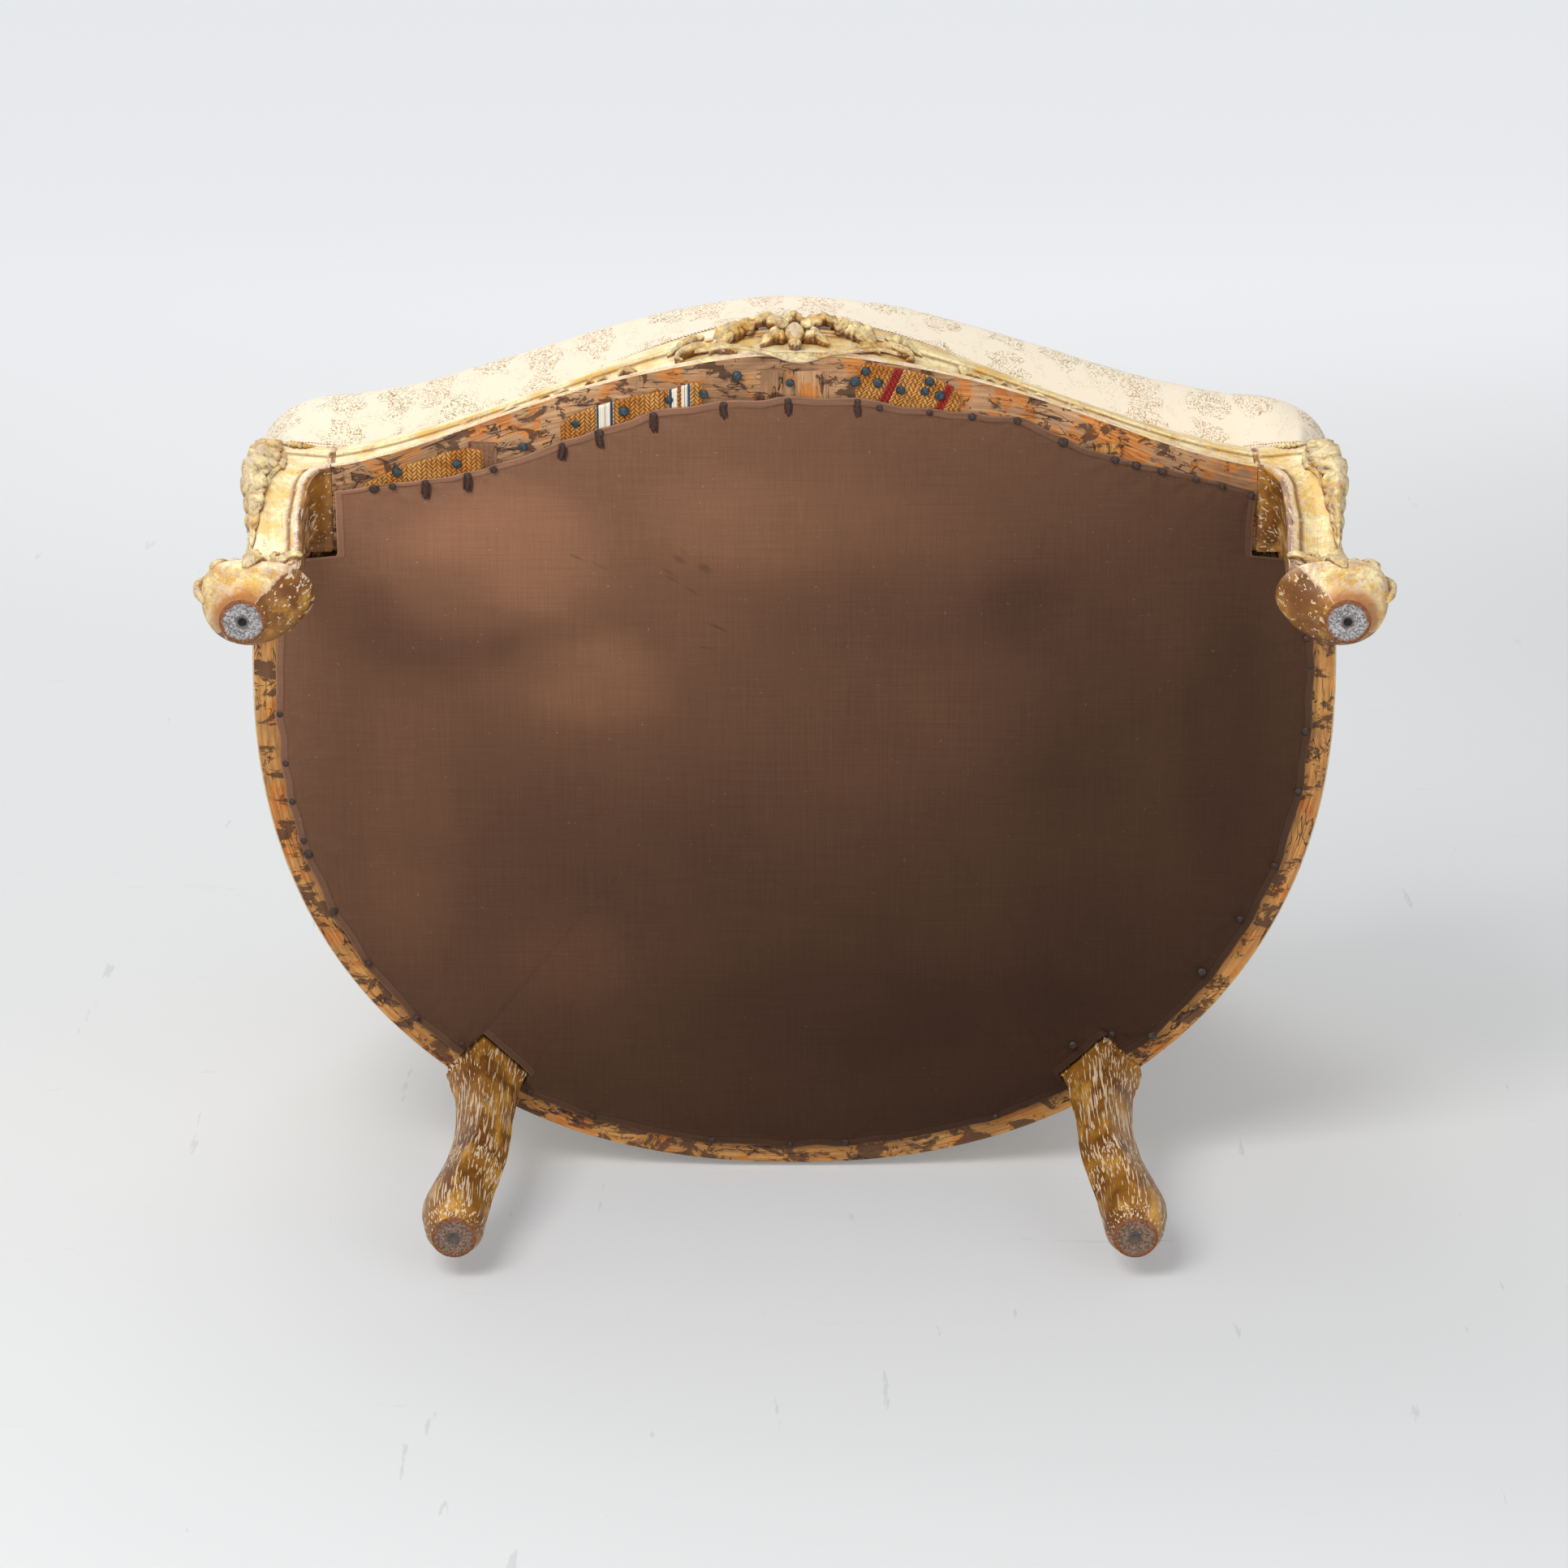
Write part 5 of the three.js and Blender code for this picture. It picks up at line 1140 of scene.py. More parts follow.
@dataclass(frozen=True)
class Webbing(Finish):
    """Jute webbing: fat herringbone threads with two bands of coloured ones."""

    jute: tuple = (196, 140, 74)
    # Brown of the painted shade in the gaps between the threads
    dark: tuple = (128, 76, 34)
    outer: tuple = (58, 76, 92)
    inner: tuple = (236, 226, 204)
    width: float = 0.08
    band: float = 0.021

    def paint(self, g: Graph, shader: bpy.types.Node) -> None:
        """Draws threads and bands across the strap's width, which is V, with the threads darker in their gaps as
        painted shade and lighter on top as painted highlight.
        """
        along = g.uv()
        parts = g.add("ShaderNodeSeparateXYZ", {0: along})
        u, v = parts.outputs[0], parts.outputs[1]
        rib = g.math("PINGPONG", v, 0.0045)
        slant = g.math("ADD", g.math("MULTIPLY", u, 900), g.math("MULTIPLY", rib, 620))
        thread = g.math("ABSOLUTE", g.math("SINE", slant))
        gap = g.span(g.math("PINGPONG", v, 0.00225), 0.0, 0.0006)
        height = g.math("MULTIPLY", thread, gap)
        fuzz = g.noise(along, 700, 3, 0.6)
        # The threads take their colour from their height: painted shade in the gaps and painted highlight on top, in
        # the jute and in both bands
        colour = g.mix(g.span(g.math("ADD", height, g.math("MULTIPLY", fuzz, 0.4)), 0.15, 1.0),
                       linear(self.dark), linear(self.jute))
        middle = g.math("ABSOLUTE", g.math("SUBTRACT", v, self.width / 2))
        away = g.math("ABSOLUTE", g.math("SUBTRACT", middle, self.band))
        colour = g.mix(g.span(away, 0.0072, 0.0076, 1, 0), colour,
                       g.shade(linear(self.outer), g.span(thread, 0, 1, 0.55, 1.05)))
        colour = g.mix(g.span(away, 0.0046, 0.005, 1, 0), colour,
                       g.shade(linear(self.inner), g.span(thread, 0, 1, 0.7, 1.0)))
        colour = g.mix(g.span(away, 0.001, 0.0014, 1, 0), colour, linear(self.jute))
        g.tree.links.new(colour, shader.inputs["Base Color"])
        g.tree.links.new(g.bump(height, 0.0009, 0.9), shader.inputs["Normal"])


@dataclass(frozen=True)
class SprigCloth(Finish):
    """Cream cotton printed with small loose sprigs."""

    ground: tuple = (248, 234, 210)
    rose: tuple = (192, 146, 100)
    leaf: tuple = (172, 146, 92)
    repeat: float = 0.038

    def dabs(self, g: Graph, cloth: object, size: float, width: float) -> bpy.types.NodeSocket:
        """Small leaves, each turned its own way."""
        fine = g.stretch(cloth, (1 / size, 1 / size, 1))
        cell = g.cells(fine, 1.0, randomness=0.9, dimensions="2D")
        chance = g.add("ShaderNodeSeparateColor", {0: cell.outputs["Color"]}).outputs
        local = g.vector("SUBTRACT", fine, cell.outputs["Position"])
        turned = g.add("ShaderNodeVectorRotate", {
            "Vector": local, "Angle": g.math("MULTIPLY", chance[0], 6.28)}, rotation_type="Z_AXIS").outputs[0]
        far = g.vector("LENGTH", g.stretch(turned, (0.75, width, 0)))
        return g.math("MULTIPLY", g.span(far, 0.25, 0.3, 1, 0), g.span(chance[1], 0.34, 0.38))

    def paint(self, g: Graph, shader: bpy.types.Node) -> None:
        """Draws sprigs of stems and leaves in staggered clusters, and a fine weave, a little darker between its threads
        as painted shade.
        """
        cloth = g.uv()
        weave = g.group(WEAVE, {"Vector": cloth, "Thread": 0.0006, "Slub": 0.5})
        bent = g.vector("ADD", cloth, g.vector("MULTIPLY", g.add("ShaderNodeTexNoise", {
            "Vector": cloth, "Scale": 75.0, "Detail": 3.0}).outputs["Color"], (0.030, 0.030, 0)))
        cell = g.cells(g.stretch(bent, (1 / self.repeat, 0.8 / self.repeat, 1)), 1.0, randomness=0.5, dimensions="2D")
        cluster = g.span(cell.outputs["Distance"], 0.34, 0.4, 1, 0)
        tint = g.add("ShaderNodeSeparateColor", {0: cell.outputs["Color"]}).outputs[0]
        ink = g.mix(g.span(tint, 0.4, 0.6), linear(self.rose), linear(self.leaf))
        ridge = g.math("ABSOLUTE", g.math("SUBTRACT", g.noise(g.stretch(cloth, (190, 150, 1)), 1.0, 2, 0.5), 0.5))
        stems = g.math("MULTIPLY", g.span(ridge, 0.007, 0.014, 1, 0), 0.9)
        leaves = g.math("MAXIMUM", self.dabs(g, bent, 0.0038, 2.9), self.dabs(g, cloth, 0.0024, 2.0))
        drawn = g.math("MULTIPLY", g.math("MAXIMUM", stems, leaves), cluster)
        faint = g.math("MULTIPLY", drawn, g.span(g.noise(cloth, 90, 3), 0.3, 0.6, 0.65, 1.0))
        stray = g.math("MULTIPLY", g.math("MULTIPLY", leaves, 0.3), g.span(g.noise(cloth, 70, 2), 0.5, 0.56))
        colour = g.mix(g.math("MAXIMUM", faint, stray), linear(self.ground), ink)
        # Painted shade between the threads of the weave
        tone = g.span(weave.outputs["Height"], 0.0, 1.4, 0.93, 1.02)
        g.tree.links.new(g.shade(colour, tone), shader.inputs["Base Color"])
        g.tree.links.new(g.bump(weave.outputs["Height"], 0.0002, 0.5), shader.inputs["Normal"])
        shader.inputs["Sheen Weight"].default_value = 0.1
        shader.inputs["Specular IOR Level"].default_value = 0.25


@dataclass(frozen=True)
class Mottled(Finish):
    """A plain stuff in two tones, for metal heads, wood ends and hidden cloth."""

    dark: tuple = (60, 50, 44)
    pale: tuple = (96, 84, 74)
    scale: float = 300.0
    metal: float = 0.0
    depth: float = 0.0003

    def paint(self, g: Graph, shader: bpy.types.Node) -> None:
        """Draws the speckle."""
        place = g.object_place()
        speckle = g.noise(place, self.scale, 6, 0.7)
        g.tree.links.new(g.mix(g.span(speckle, 0.35, 0.65), linear(self.dark), linear(self.pale)),
                         shader.inputs["Base Color"])
        g.tree.links.new(g.bump(speckle, self.depth, 0.8), shader.inputs["Normal"])
        shader.inputs["Metallic"].default_value = self.metal


GILT = WornGilt("worn_gilt", 0.42).build()
CARVED_GILT = WornGilt("carved_gilt", 0.42, light=(250, 228, 168), gold=(228, 178, 86), recess=(128, 72, 18),
                       bare=0.48, dirty=0.8, chased=2.4).build()
LEG_FINISH = LegFinish("leg_gilt_and_varnish", 0.45).build()
VARNISH = FlakedVarnish("flaked_varnish", 0.45).build()
RAW_WOOD = RawWood("raw_wood", 0.85).build()
BLOCK_WOOD = RawWood("block_wood", 0.85, wood=(122, 84, 60), pale=(150, 108, 78), glued=0.1, stained=0.5).build()
RAIL_EDGE = RawWood("rail_underside", 0.6, wood=(178, 112, 48), pale=(216, 162, 90), glued=0.45,
                    stained=0.78).build()
CAMBRIC = Cambric("brown_cambric", 0.95).build()
BRAID = Braid("braided_jute", 0.9).build()
BLUE_WEBBING = Webbing("blue_banded_webbing", 0.9).build()
SPRIGS = SprigCloth("sprig_cotton", 0.9).build()
THREAD = Mottled("gimp_thread", 0.9, dark=(138, 98, 60), pale=(186, 146, 100), scale=900).build()
# Pleats and puckers by the tacks: cloth darkened by rust and dirt, and by the folds' shade painted in
PLEAT = Mottled("rust_and_shade_pleat", 0.9, dark=(46, 27, 22), pale=(84, 52, 42), scale=700).build()
TACK = Mottled("rusty_tack", 0.6, metal=0.3, dark=(38, 28, 26), pale=(82, 62, 54), scale=600).build()
WEBBING_NAIL = Mottled("blued_nail", 0.5, metal=0.35, dark=(28, 38, 46), pale=(66, 82, 92), scale=500).build()
FOOT_END = FootEnd("foot_end", 0.85).build()
# The rear ends' holes get a paler painted shade
REAR_FOOT_END = FootEnd("rear_foot_end", 0.85, pale=(158, 132, 112), dark=(92, 68, 54), rim=(158, 100, 60),
                         hole=(92, 82, 74)).build()
SPRING_STEEL = Mottled("spring_steel", 0.45, metal=0.9, dark=(60, 56, 52), pale=(104, 98, 92)).build()
CANVAS = Mottled("canvas", 0.95, dark=(170, 142, 102), pale=(206, 180, 140), scale=900).build()


# ---------------------------------------------------------------- seat frame


@dataclass
class SeatRails:
    """The side rails and the rear rail, along the outline, with their moulded faces."""

    thickness: float = 0.033
    relief: float = 0.006
    set_back: float = 0.003
    side_start: float = -0.0997
    leg_angle: float = math.radians(45)
    turns: int = 120
    face_points: int = 44

    def ring(self, turn: Array, angle: Array) -> tuple[Array, Array]:
        """Sections of the rail and how proud each point stands.

        Args:
            turn: Turns of the sections.
            angle: The direction each one faces.

        Returns:
            The sections' points, and their relief.
        """
        up = np.linspace(0, 1, self.face_points)
        back = read_curve(RAIL_PROFILE, up)[..., 0]
        inset = self.relief * back + self.set_back * up
        z = PLAN.underside + PLAN.rail_height * up
        corner = 0.0012
        inset = np.concatenate([inset, [self.thickness - corner, self.thickness, self.thickness,
                                        self.thickness - corner, self.thickness / 2, 0.006]])
        low, top = PLAN.underside, PLAN.rail_top
        z = np.concatenate([z, [top, top - corner, low + corner, low, low, low]])
        relief = np.concatenate([read_curve(RAIL_RELIEF, up)[..., 0], np.full(6, 0.5)])
        points = PLAN.place(turn[:, None], inset[None], z[None], angle[:, None])
        return points, np.broadcast_to(relief, points.shape[:2])

    def rail(self, name: str, start: float, start_angle: float, end: float, end_angle: float) -> bpy.types.Object:
        """One rail between two legs."""
        share = np.linspace(0, 1, self.turns)
        turn = start + (end - start) * share
        natural = PLAN.outward(np.array([start, end]))
        angle = (PLAN.outward(turn) + (start_angle - natural[0]) * (1 - share) ** 4
                 + (end_angle - natural[1]) * share**4)
        points, relief = self.ring(turn, angle)
        piece = Loft(points, fields={"relief": relief}).piece(name)
        return self.finish_underside(dress(piece, GILT, RAIL_EDGE))

    def finish_underside(self, piece: bpy.types.Object) -> bpy.types.Object:
        """Gives the faces that look down the raw material."""
        for polygon in piece.data.polygons:
            if polygon.normal.z < -0.6:
                polygon.material_index = 1
        return piece

    def build(self) -> None:
        """Makes the three rails."""
        start = float(PLAN.turn_at_y(self.side_start))
        before = REAR_LEGS.turn_beside(-REAR_LEGS.beside)
        behind = REAR_LEGS.turn_beside(REAR_LEGS.beside)
        side = self.rail("side_rail_right", start, 0.0, before, self.leg_angle)
        settle_pair(side, "side_rail", "gilt_wood", "side_rail")
        rear = self.rail("rear_rail_moulded", behind, self.leg_angle, math.pi - behind, math.pi - self.leg_angle)
        settle(rear, "aged_wood", "rear_rail")


@dataclass
class FrontRail:
    """The serpentine front rail."""

    half_length: float = 0.3077
    side_reach: float = 0.158
    bow: float = 0.083
    bow_half_width: float = 0.360
    relief: float = 0.006
    set_back: float = 0.011
    centre_set_back: float = -0.003
    centre_width: float = 0.180
    bevel: float = 0.022
    arch_rise: float = 0.011
    arch_start: float = 0.050
    thickness: float = 0.0617
    columns: int = 301
    face_points: int = 60

    def reach(self, x: Array) -> Array:
        """How far in front of the widest line the rim lies."""
        return self.side_reach + self.bow * (1 + np.cos(math.pi * np.asarray(x) / self.bow_half_width)) / 2

    def top_set_back(self, x: Array) -> Array:
        """How far the top of the face lies behind the rim, apart from its moulding."""
        share = smooth(np.abs(x) / self.centre_width)
        return self.centre_set_back + (self.set_back - self.centre_set_back) * share

    def arch(self, x: Array) -> Array:
        """Rise of the lower edge, which also comes to a point in the middle."""
        run = np.clip((np.abs(x) - self.arch_start) / (self.half_length - self.arch_start), 0, 1)
        return self.arch_rise * np.sin(math.pi * run) ** 2

    def face(self, x: Array, up: Array, out: Array = 0.0) -> Array:
        """Points of the moulded face.

        Args:
            x: Place along the rail.
            up: Share of the height from the lower edge.
            out: Distance in front of the face.

        Returns:
            Plan points.
        """
        x, up, out = np.broadcast_arrays(*(np.asarray(v, float) for v in (x, up, out)))
        back = read_curve(RAIL_PROFILE, up)[..., 0]
        arch = self.arch(x)
        y = self.relief * back + self.top_set_back(x) * up - self.reach(x) - out
        z = PLAN.underside + arch + (PLAN.rail_height - arch) * up
        return np.stack([x, y, z], -1)

    def build(self) -> None:
        """Makes the rail with its underside left raw."""
        x = np.linspace(-self.half_length, self.half_length, self.columns)
        up = np.linspace(0, 1, self.face_points)
        face = self.face(x[:, None], up[None])
        rear = self.thickness - self.reach(x)
        low, top = PLAN.underside, PLAN.rail_top
        back = [np.stack([x, y, np.full_like(x, z)], -1) for y, z in (
            (rear - 0.001, top), (rear, top - 0.001), (rear, low + 0.001), (rear - 0.001, low),
            ((rear + self.bevel - self.reach(x)) / 2, low), (self.bevel - self.reach(x), low),
        )]
        rings = np.concatenate([face, np.stack(back, 1)], 1)
        relief = np.concatenate([read_curve(RAIL_RELIEF, up)[..., 0], np.full(len(back), 0.5)])
        piece = Loft(rings, shade=Shade.CREASED,
                     fields={"relief": np.broadcast_to(relief, rings.shape[:2])}).piece("front_rail_moulded")
        dress(piece, GILT, RAW_WOOD)
        for polygon in piece.data.polygons:
            if polygon.normal.z < -0.6 or polygon.normal.y > 0.5:
                polygon.material_index = 1
        settle(piece, "gilt_wood", "front_rail")


# ---------------------------------------------------------------- legs


@dataclass
class FrontLegs:
    """The cabriole front legs with their moulding, knee, collar and scrolled foot."""

    back: float = 0.100
    edge_width: float = 0.014
    edge_height: float = 0.028
    thick: float = 0.040
    foot_spread: float = 0.016
    foot_thrust: float = 0.0135
    knee_swell: float = 0.020
    knee_height: float = 0.250
    knee_spread: float = 0.050
    scroll_relief: float = 0.003
    scroll_height: float = 0.034
    scroll_spread: float = 0.016
    roundness: float = 4
    relief: float = 0.006
    side_set_back: float = 0.003
    front_set_back: float = 0.011
    heel_cut: float = 0.024
    # Height up the leg, share of the heel cut away behind
    heel: tuple = (
        (0, 0), (0.03, 0.12), (0.075, 0.5), (0.13, 0.9), (0.18, 1), (0.24, 0.75), (0.3, 0.35), (0.38, 0), (1, 0),
    )
    rows: int = 200
    face_points: int = 40
    back_points: int = 26
    # Height up the leg, lean outwards, lean forwards, thickness, share of the block left, roundness
    shares: tuple = (
        (0, 1, 1, 0.75, 0, 1), (0.017, 1, 1, 0.83, 0, 1), (0.035, 0.94, 0.93, 1.05, 0, 1),
        (0.065, 0.81, 0.74, 1.42, 0, 1), (0.109, 0.66, 0.56, 1.72, 0, 1), (0.152, 0.56, 0.44, 1.8, 0, 1),
        (0.19, 0.53, 0.37, 1.65, 0, 1), (0.226, 0.44, 0.3, 1.34, 0, 1), (0.248, 0.4, 0.26, 1.42, 0, 1),
        (0.278, 0.37, 0.19, 1.13, 0, 0.5), (0.326, 0.34, 0.15, 1.06, 0, 0.1), (0.435, 0.37, 0.19, 1, 0, 0),
        (0.565, 0.49, 0.3, 0.99, 0, 0), (0.7, 0.61, 0.44, 1, 0, 0), (0.87, 0.6, 0.47, 0.98, 0.1, 0),
        (0.922, 0.53, 0.44, 0.97, 0.25, 0), (0.965, 0.38, 0.36, 1, 0.45, 0), (0.991, 0.19, 0.19, 1.04, 0.62, 0),
        (1, 0, 0, 1.08, 1, 0),
    )

    @property
    def half_block(self) -> tuple[float, float]:
        """Half the width and depth of the block between the rails."""
        outer = PLAN.edge(PLAN.turn_at_y(-self.back))[0]
        return float(outer - FRONT_RAIL.half_length - JOINT) / 2, FRONT_RAIL.thickness / 2

    def section(self, z: Array) -> dict[str, Array]:
        """Centre, half sizes and roundness of the leg at a height."""
        lean, forward, thick, block, rounded = np.moveaxis(read_curve(self.shares, z / PLAN.underside), -1, 0)
        half_x, half_y = self.half_block
        half = thick * self.thick / 2
        cut = read_curve(self.heel, z / PLAN.underside)[..., 0] * self.heel_cut
        return {
            "x": FRONT_RAIL.half_length + JOINT + half_x + lean * self.foot_spread,
            "reach": self.back + half_y + forward * self.foot_thrust + cut / 2,
            "half_x": half + (half_x - half) * block,
            "half_y": half + (half_y - half) * block - cut / 2,
            "round": rounded,
        }

    def rim_distance(self, from_edge: Array, from_joint: Array, z: Array) -> Array:
        """Distance from the moulding's rim, which turns from the rail's edge down the leg."""
        drop = z - (PLAN.underside - self.edge_height)
        u, v = from_joint / self.edge_width, np.maximum(drop, 0) / self.edge_height
        level = np.hypot(u, v)
        steep = np.maximum(np.hypot(u / self.edge_width, v / self.edge_height), 1e-6)
        turned = np.maximum(0, (level - 1) * level / steep)
        return np.where(drop <= 0, from_edge, turned)

    def rings(self, z: Array) -> tuple[Array, Array, Array]:
        """Sections of the right leg.

        Args:
            z: Heights.

        Returns:
            Points, their relief, and which of them face outwards.
        """
        s = {key: value[:, None] for key, value in self.section(z).items()}
        z = z[:, None]
        share = 2 ** (-1 / self.roundness)
        rise = np.linspace(0, 1, self.face_points)
        a, b = (1 - (rise * share) ** self.roundness) ** (1 / self.roundness), rise * share
        share_x = np.concatenate([a, b[::-1][1:]])[None]
        share_y = np.concatenate([b, a[::-1][1:]])[None]
        corner = np.concatenate([rise, rise[::-1][1:]])[None]
        norm = np.stack([share_x ** (self.roundness - 1), share_y ** (self.roundness - 1)])
        norm = norm / np.linalg.norm(norm, axis=0)
        front = share_y > share_x
        from_edge = np.where(front, share_x * 2 * s["half_x"], share_y * 2 * s["half_y"])
        edge = np.where(front, s["x"] - s["half_x"], s["reach"] - s["half_y"])
        joint = np.where(front, FRONT_RAIL.half_length + JOINT, self.back)
        distance = self.rim_distance(from_edge, from_edge + edge - joint, z)
        back = read_curve(RAIL_PROFILE, distance / PLAN.rail_height)[..., 0]
        up = np.clip((z - PLAN.underside) / PLAN.rail_height, 0, 1)
        set_back = up * (self.side_set_back + (self.front_set_back - self.side_set_back) * norm[1] ** 2)
        near_corner = np.where(z < PLAN.underside, smooth((corner - 0.6) / 0.4), 0)
        profile = back + (0.1 - back) * near_corner
        sunk = self.relief * profile + set_back
        swell = self.knee_swell * bell(z - self.knee_height, self.knee_spread) * corner**3 * math.sqrt(0.5)
        x = s["half_x"] * (2 * share_x - 1) - norm[0] * sunk + swell
        y = s["half_y"] * (2 * share_y - 1) - norm[1] * sunk + swell
        inner = np.linspace(0, 1, self.back_points + 2)[1:-1]
        inner_x = np.clip(2 * inner * 2 - 3, -1, 1)
        inner_y = np.clip(1 - 4 * inner, -1, 1)
        x = np.concatenate([x, (x[:, :1] + s["half_x"]) * (inner_x[None] + 1) / 2 - s["half_x"]], 1)
        y = np.concatenate([y, (y[:, -1:] + s["half_y"]) * (inner_y[None] + 1) / 2 - s["half_y"]], 1)
        count = share_x.shape[1]
        outer_angle = np.linspace(-45, 135, count)
        inner_angle = 135 + 180 * (np.arange(self.back_points) + 1) / (self.back_points + 1)
        angle = np.radians(np.concatenate([outer_angle, inner_angle]))[None]
        away = angle - math.radians(45)
        scroll = self.scroll_relief * bell(z - self.scroll_height, self.scroll_spread)
        scroll = scroll * np.cos(3 * away) * np.maximum(0, np.cos(away))
        x = x + ((s["half_x"] + scroll) * np.cos(angle) - x) * s["round"]
        y = y + ((s["half_y"] + scroll) * np.sin(angle) - y) * s["round"]
        points = np.stack([s["x"] + x, -s["reach"] - y, np.broadcast_to(z, x.shape)], -1)
        proud = read_curve(RAIL_RELIEF, distance / PLAN.rail_height)[..., 0]
        proud = proud + (0.6 - proud) * near_corner
        relief = np.concatenate([proud, np.full((len(z), self.back_points), 0.5)], 1)
        relief = relief + (0.6 - relief) * s["round"]
        outward = np.broadcast_to(np.concatenate([np.ones(count), np.zeros(self.back_points)]), x.shape)
        return points, relief, outward

    def build(self) -> None:
        """Makes both legs with their foot ends."""
        block = np.linspace(PLAN.underside, PLAN.rail_top, 40)[1:]
        z = np.concatenate([np.linspace(0, PLAN.underside, self.rows), block])
        points, relief, outward = self.rings(z)
        across = smooth(np.sin(np.linspace(0, math.pi, points.shape[1] - self.back_points)) / 0.34)
        outward = outward * np.concatenate([across, np.zeros(self.back_points)])
        fields = {"relief": relief, "outward": outward}
        piece = dress(Loft(points, fields=fields).piece("cabriole_leg_right"), LEG_FINISH)
        settle_pair(piece, "cabriole_leg", "gilt_wood", "front_leg")

    def skin(self, around: Array, z: Array, out: Array) -> Array:
        """Points over the faces that show.

        Args:
            around: Share from the outer face's rear edge round the corner to the front face's inner edge.
            z: Height.
            out: Distance out from the surface.

        Returns:
            Plan points of the right leg.
        """
        around, z, out = np.broadcast_arrays(*(np.asarray(v, float) for v in (around, z, out)))
        last = 2 * self.face_points - 2

        def at(share: Array, level: Array) -> Array:
            """Surface points at shares round the leg and heights."""
            points = self.rings(level.ravel())[0]
            place = np.clip(share.ravel(), 0, 1) * last
            i = np.clip(place.astype(int), 0, last - 1)
            part = (place - i)[:, None]
            row = np.arange(len(place))
            return (points[row, i] * (1 - part) + points[row, i + 1] * part).reshape(*share.shape, 3)

        here = at(around, z)
        normal = np.cross(at(around + 0.03, z) - at(around - 0.03, z), at(around, z + 0.003) - at(around, z - 0.003))
        normal /= np.maximum(np.linalg.norm(normal, axis=-1), 1e-12)[..., None]
        s = self.section(z)
        away = here - np.stack([s["x"], -s["reach"], z], -1)
        normal *= np.sign((normal * away).sum(-1))[..., None]
        return here + normal * out[..., None]


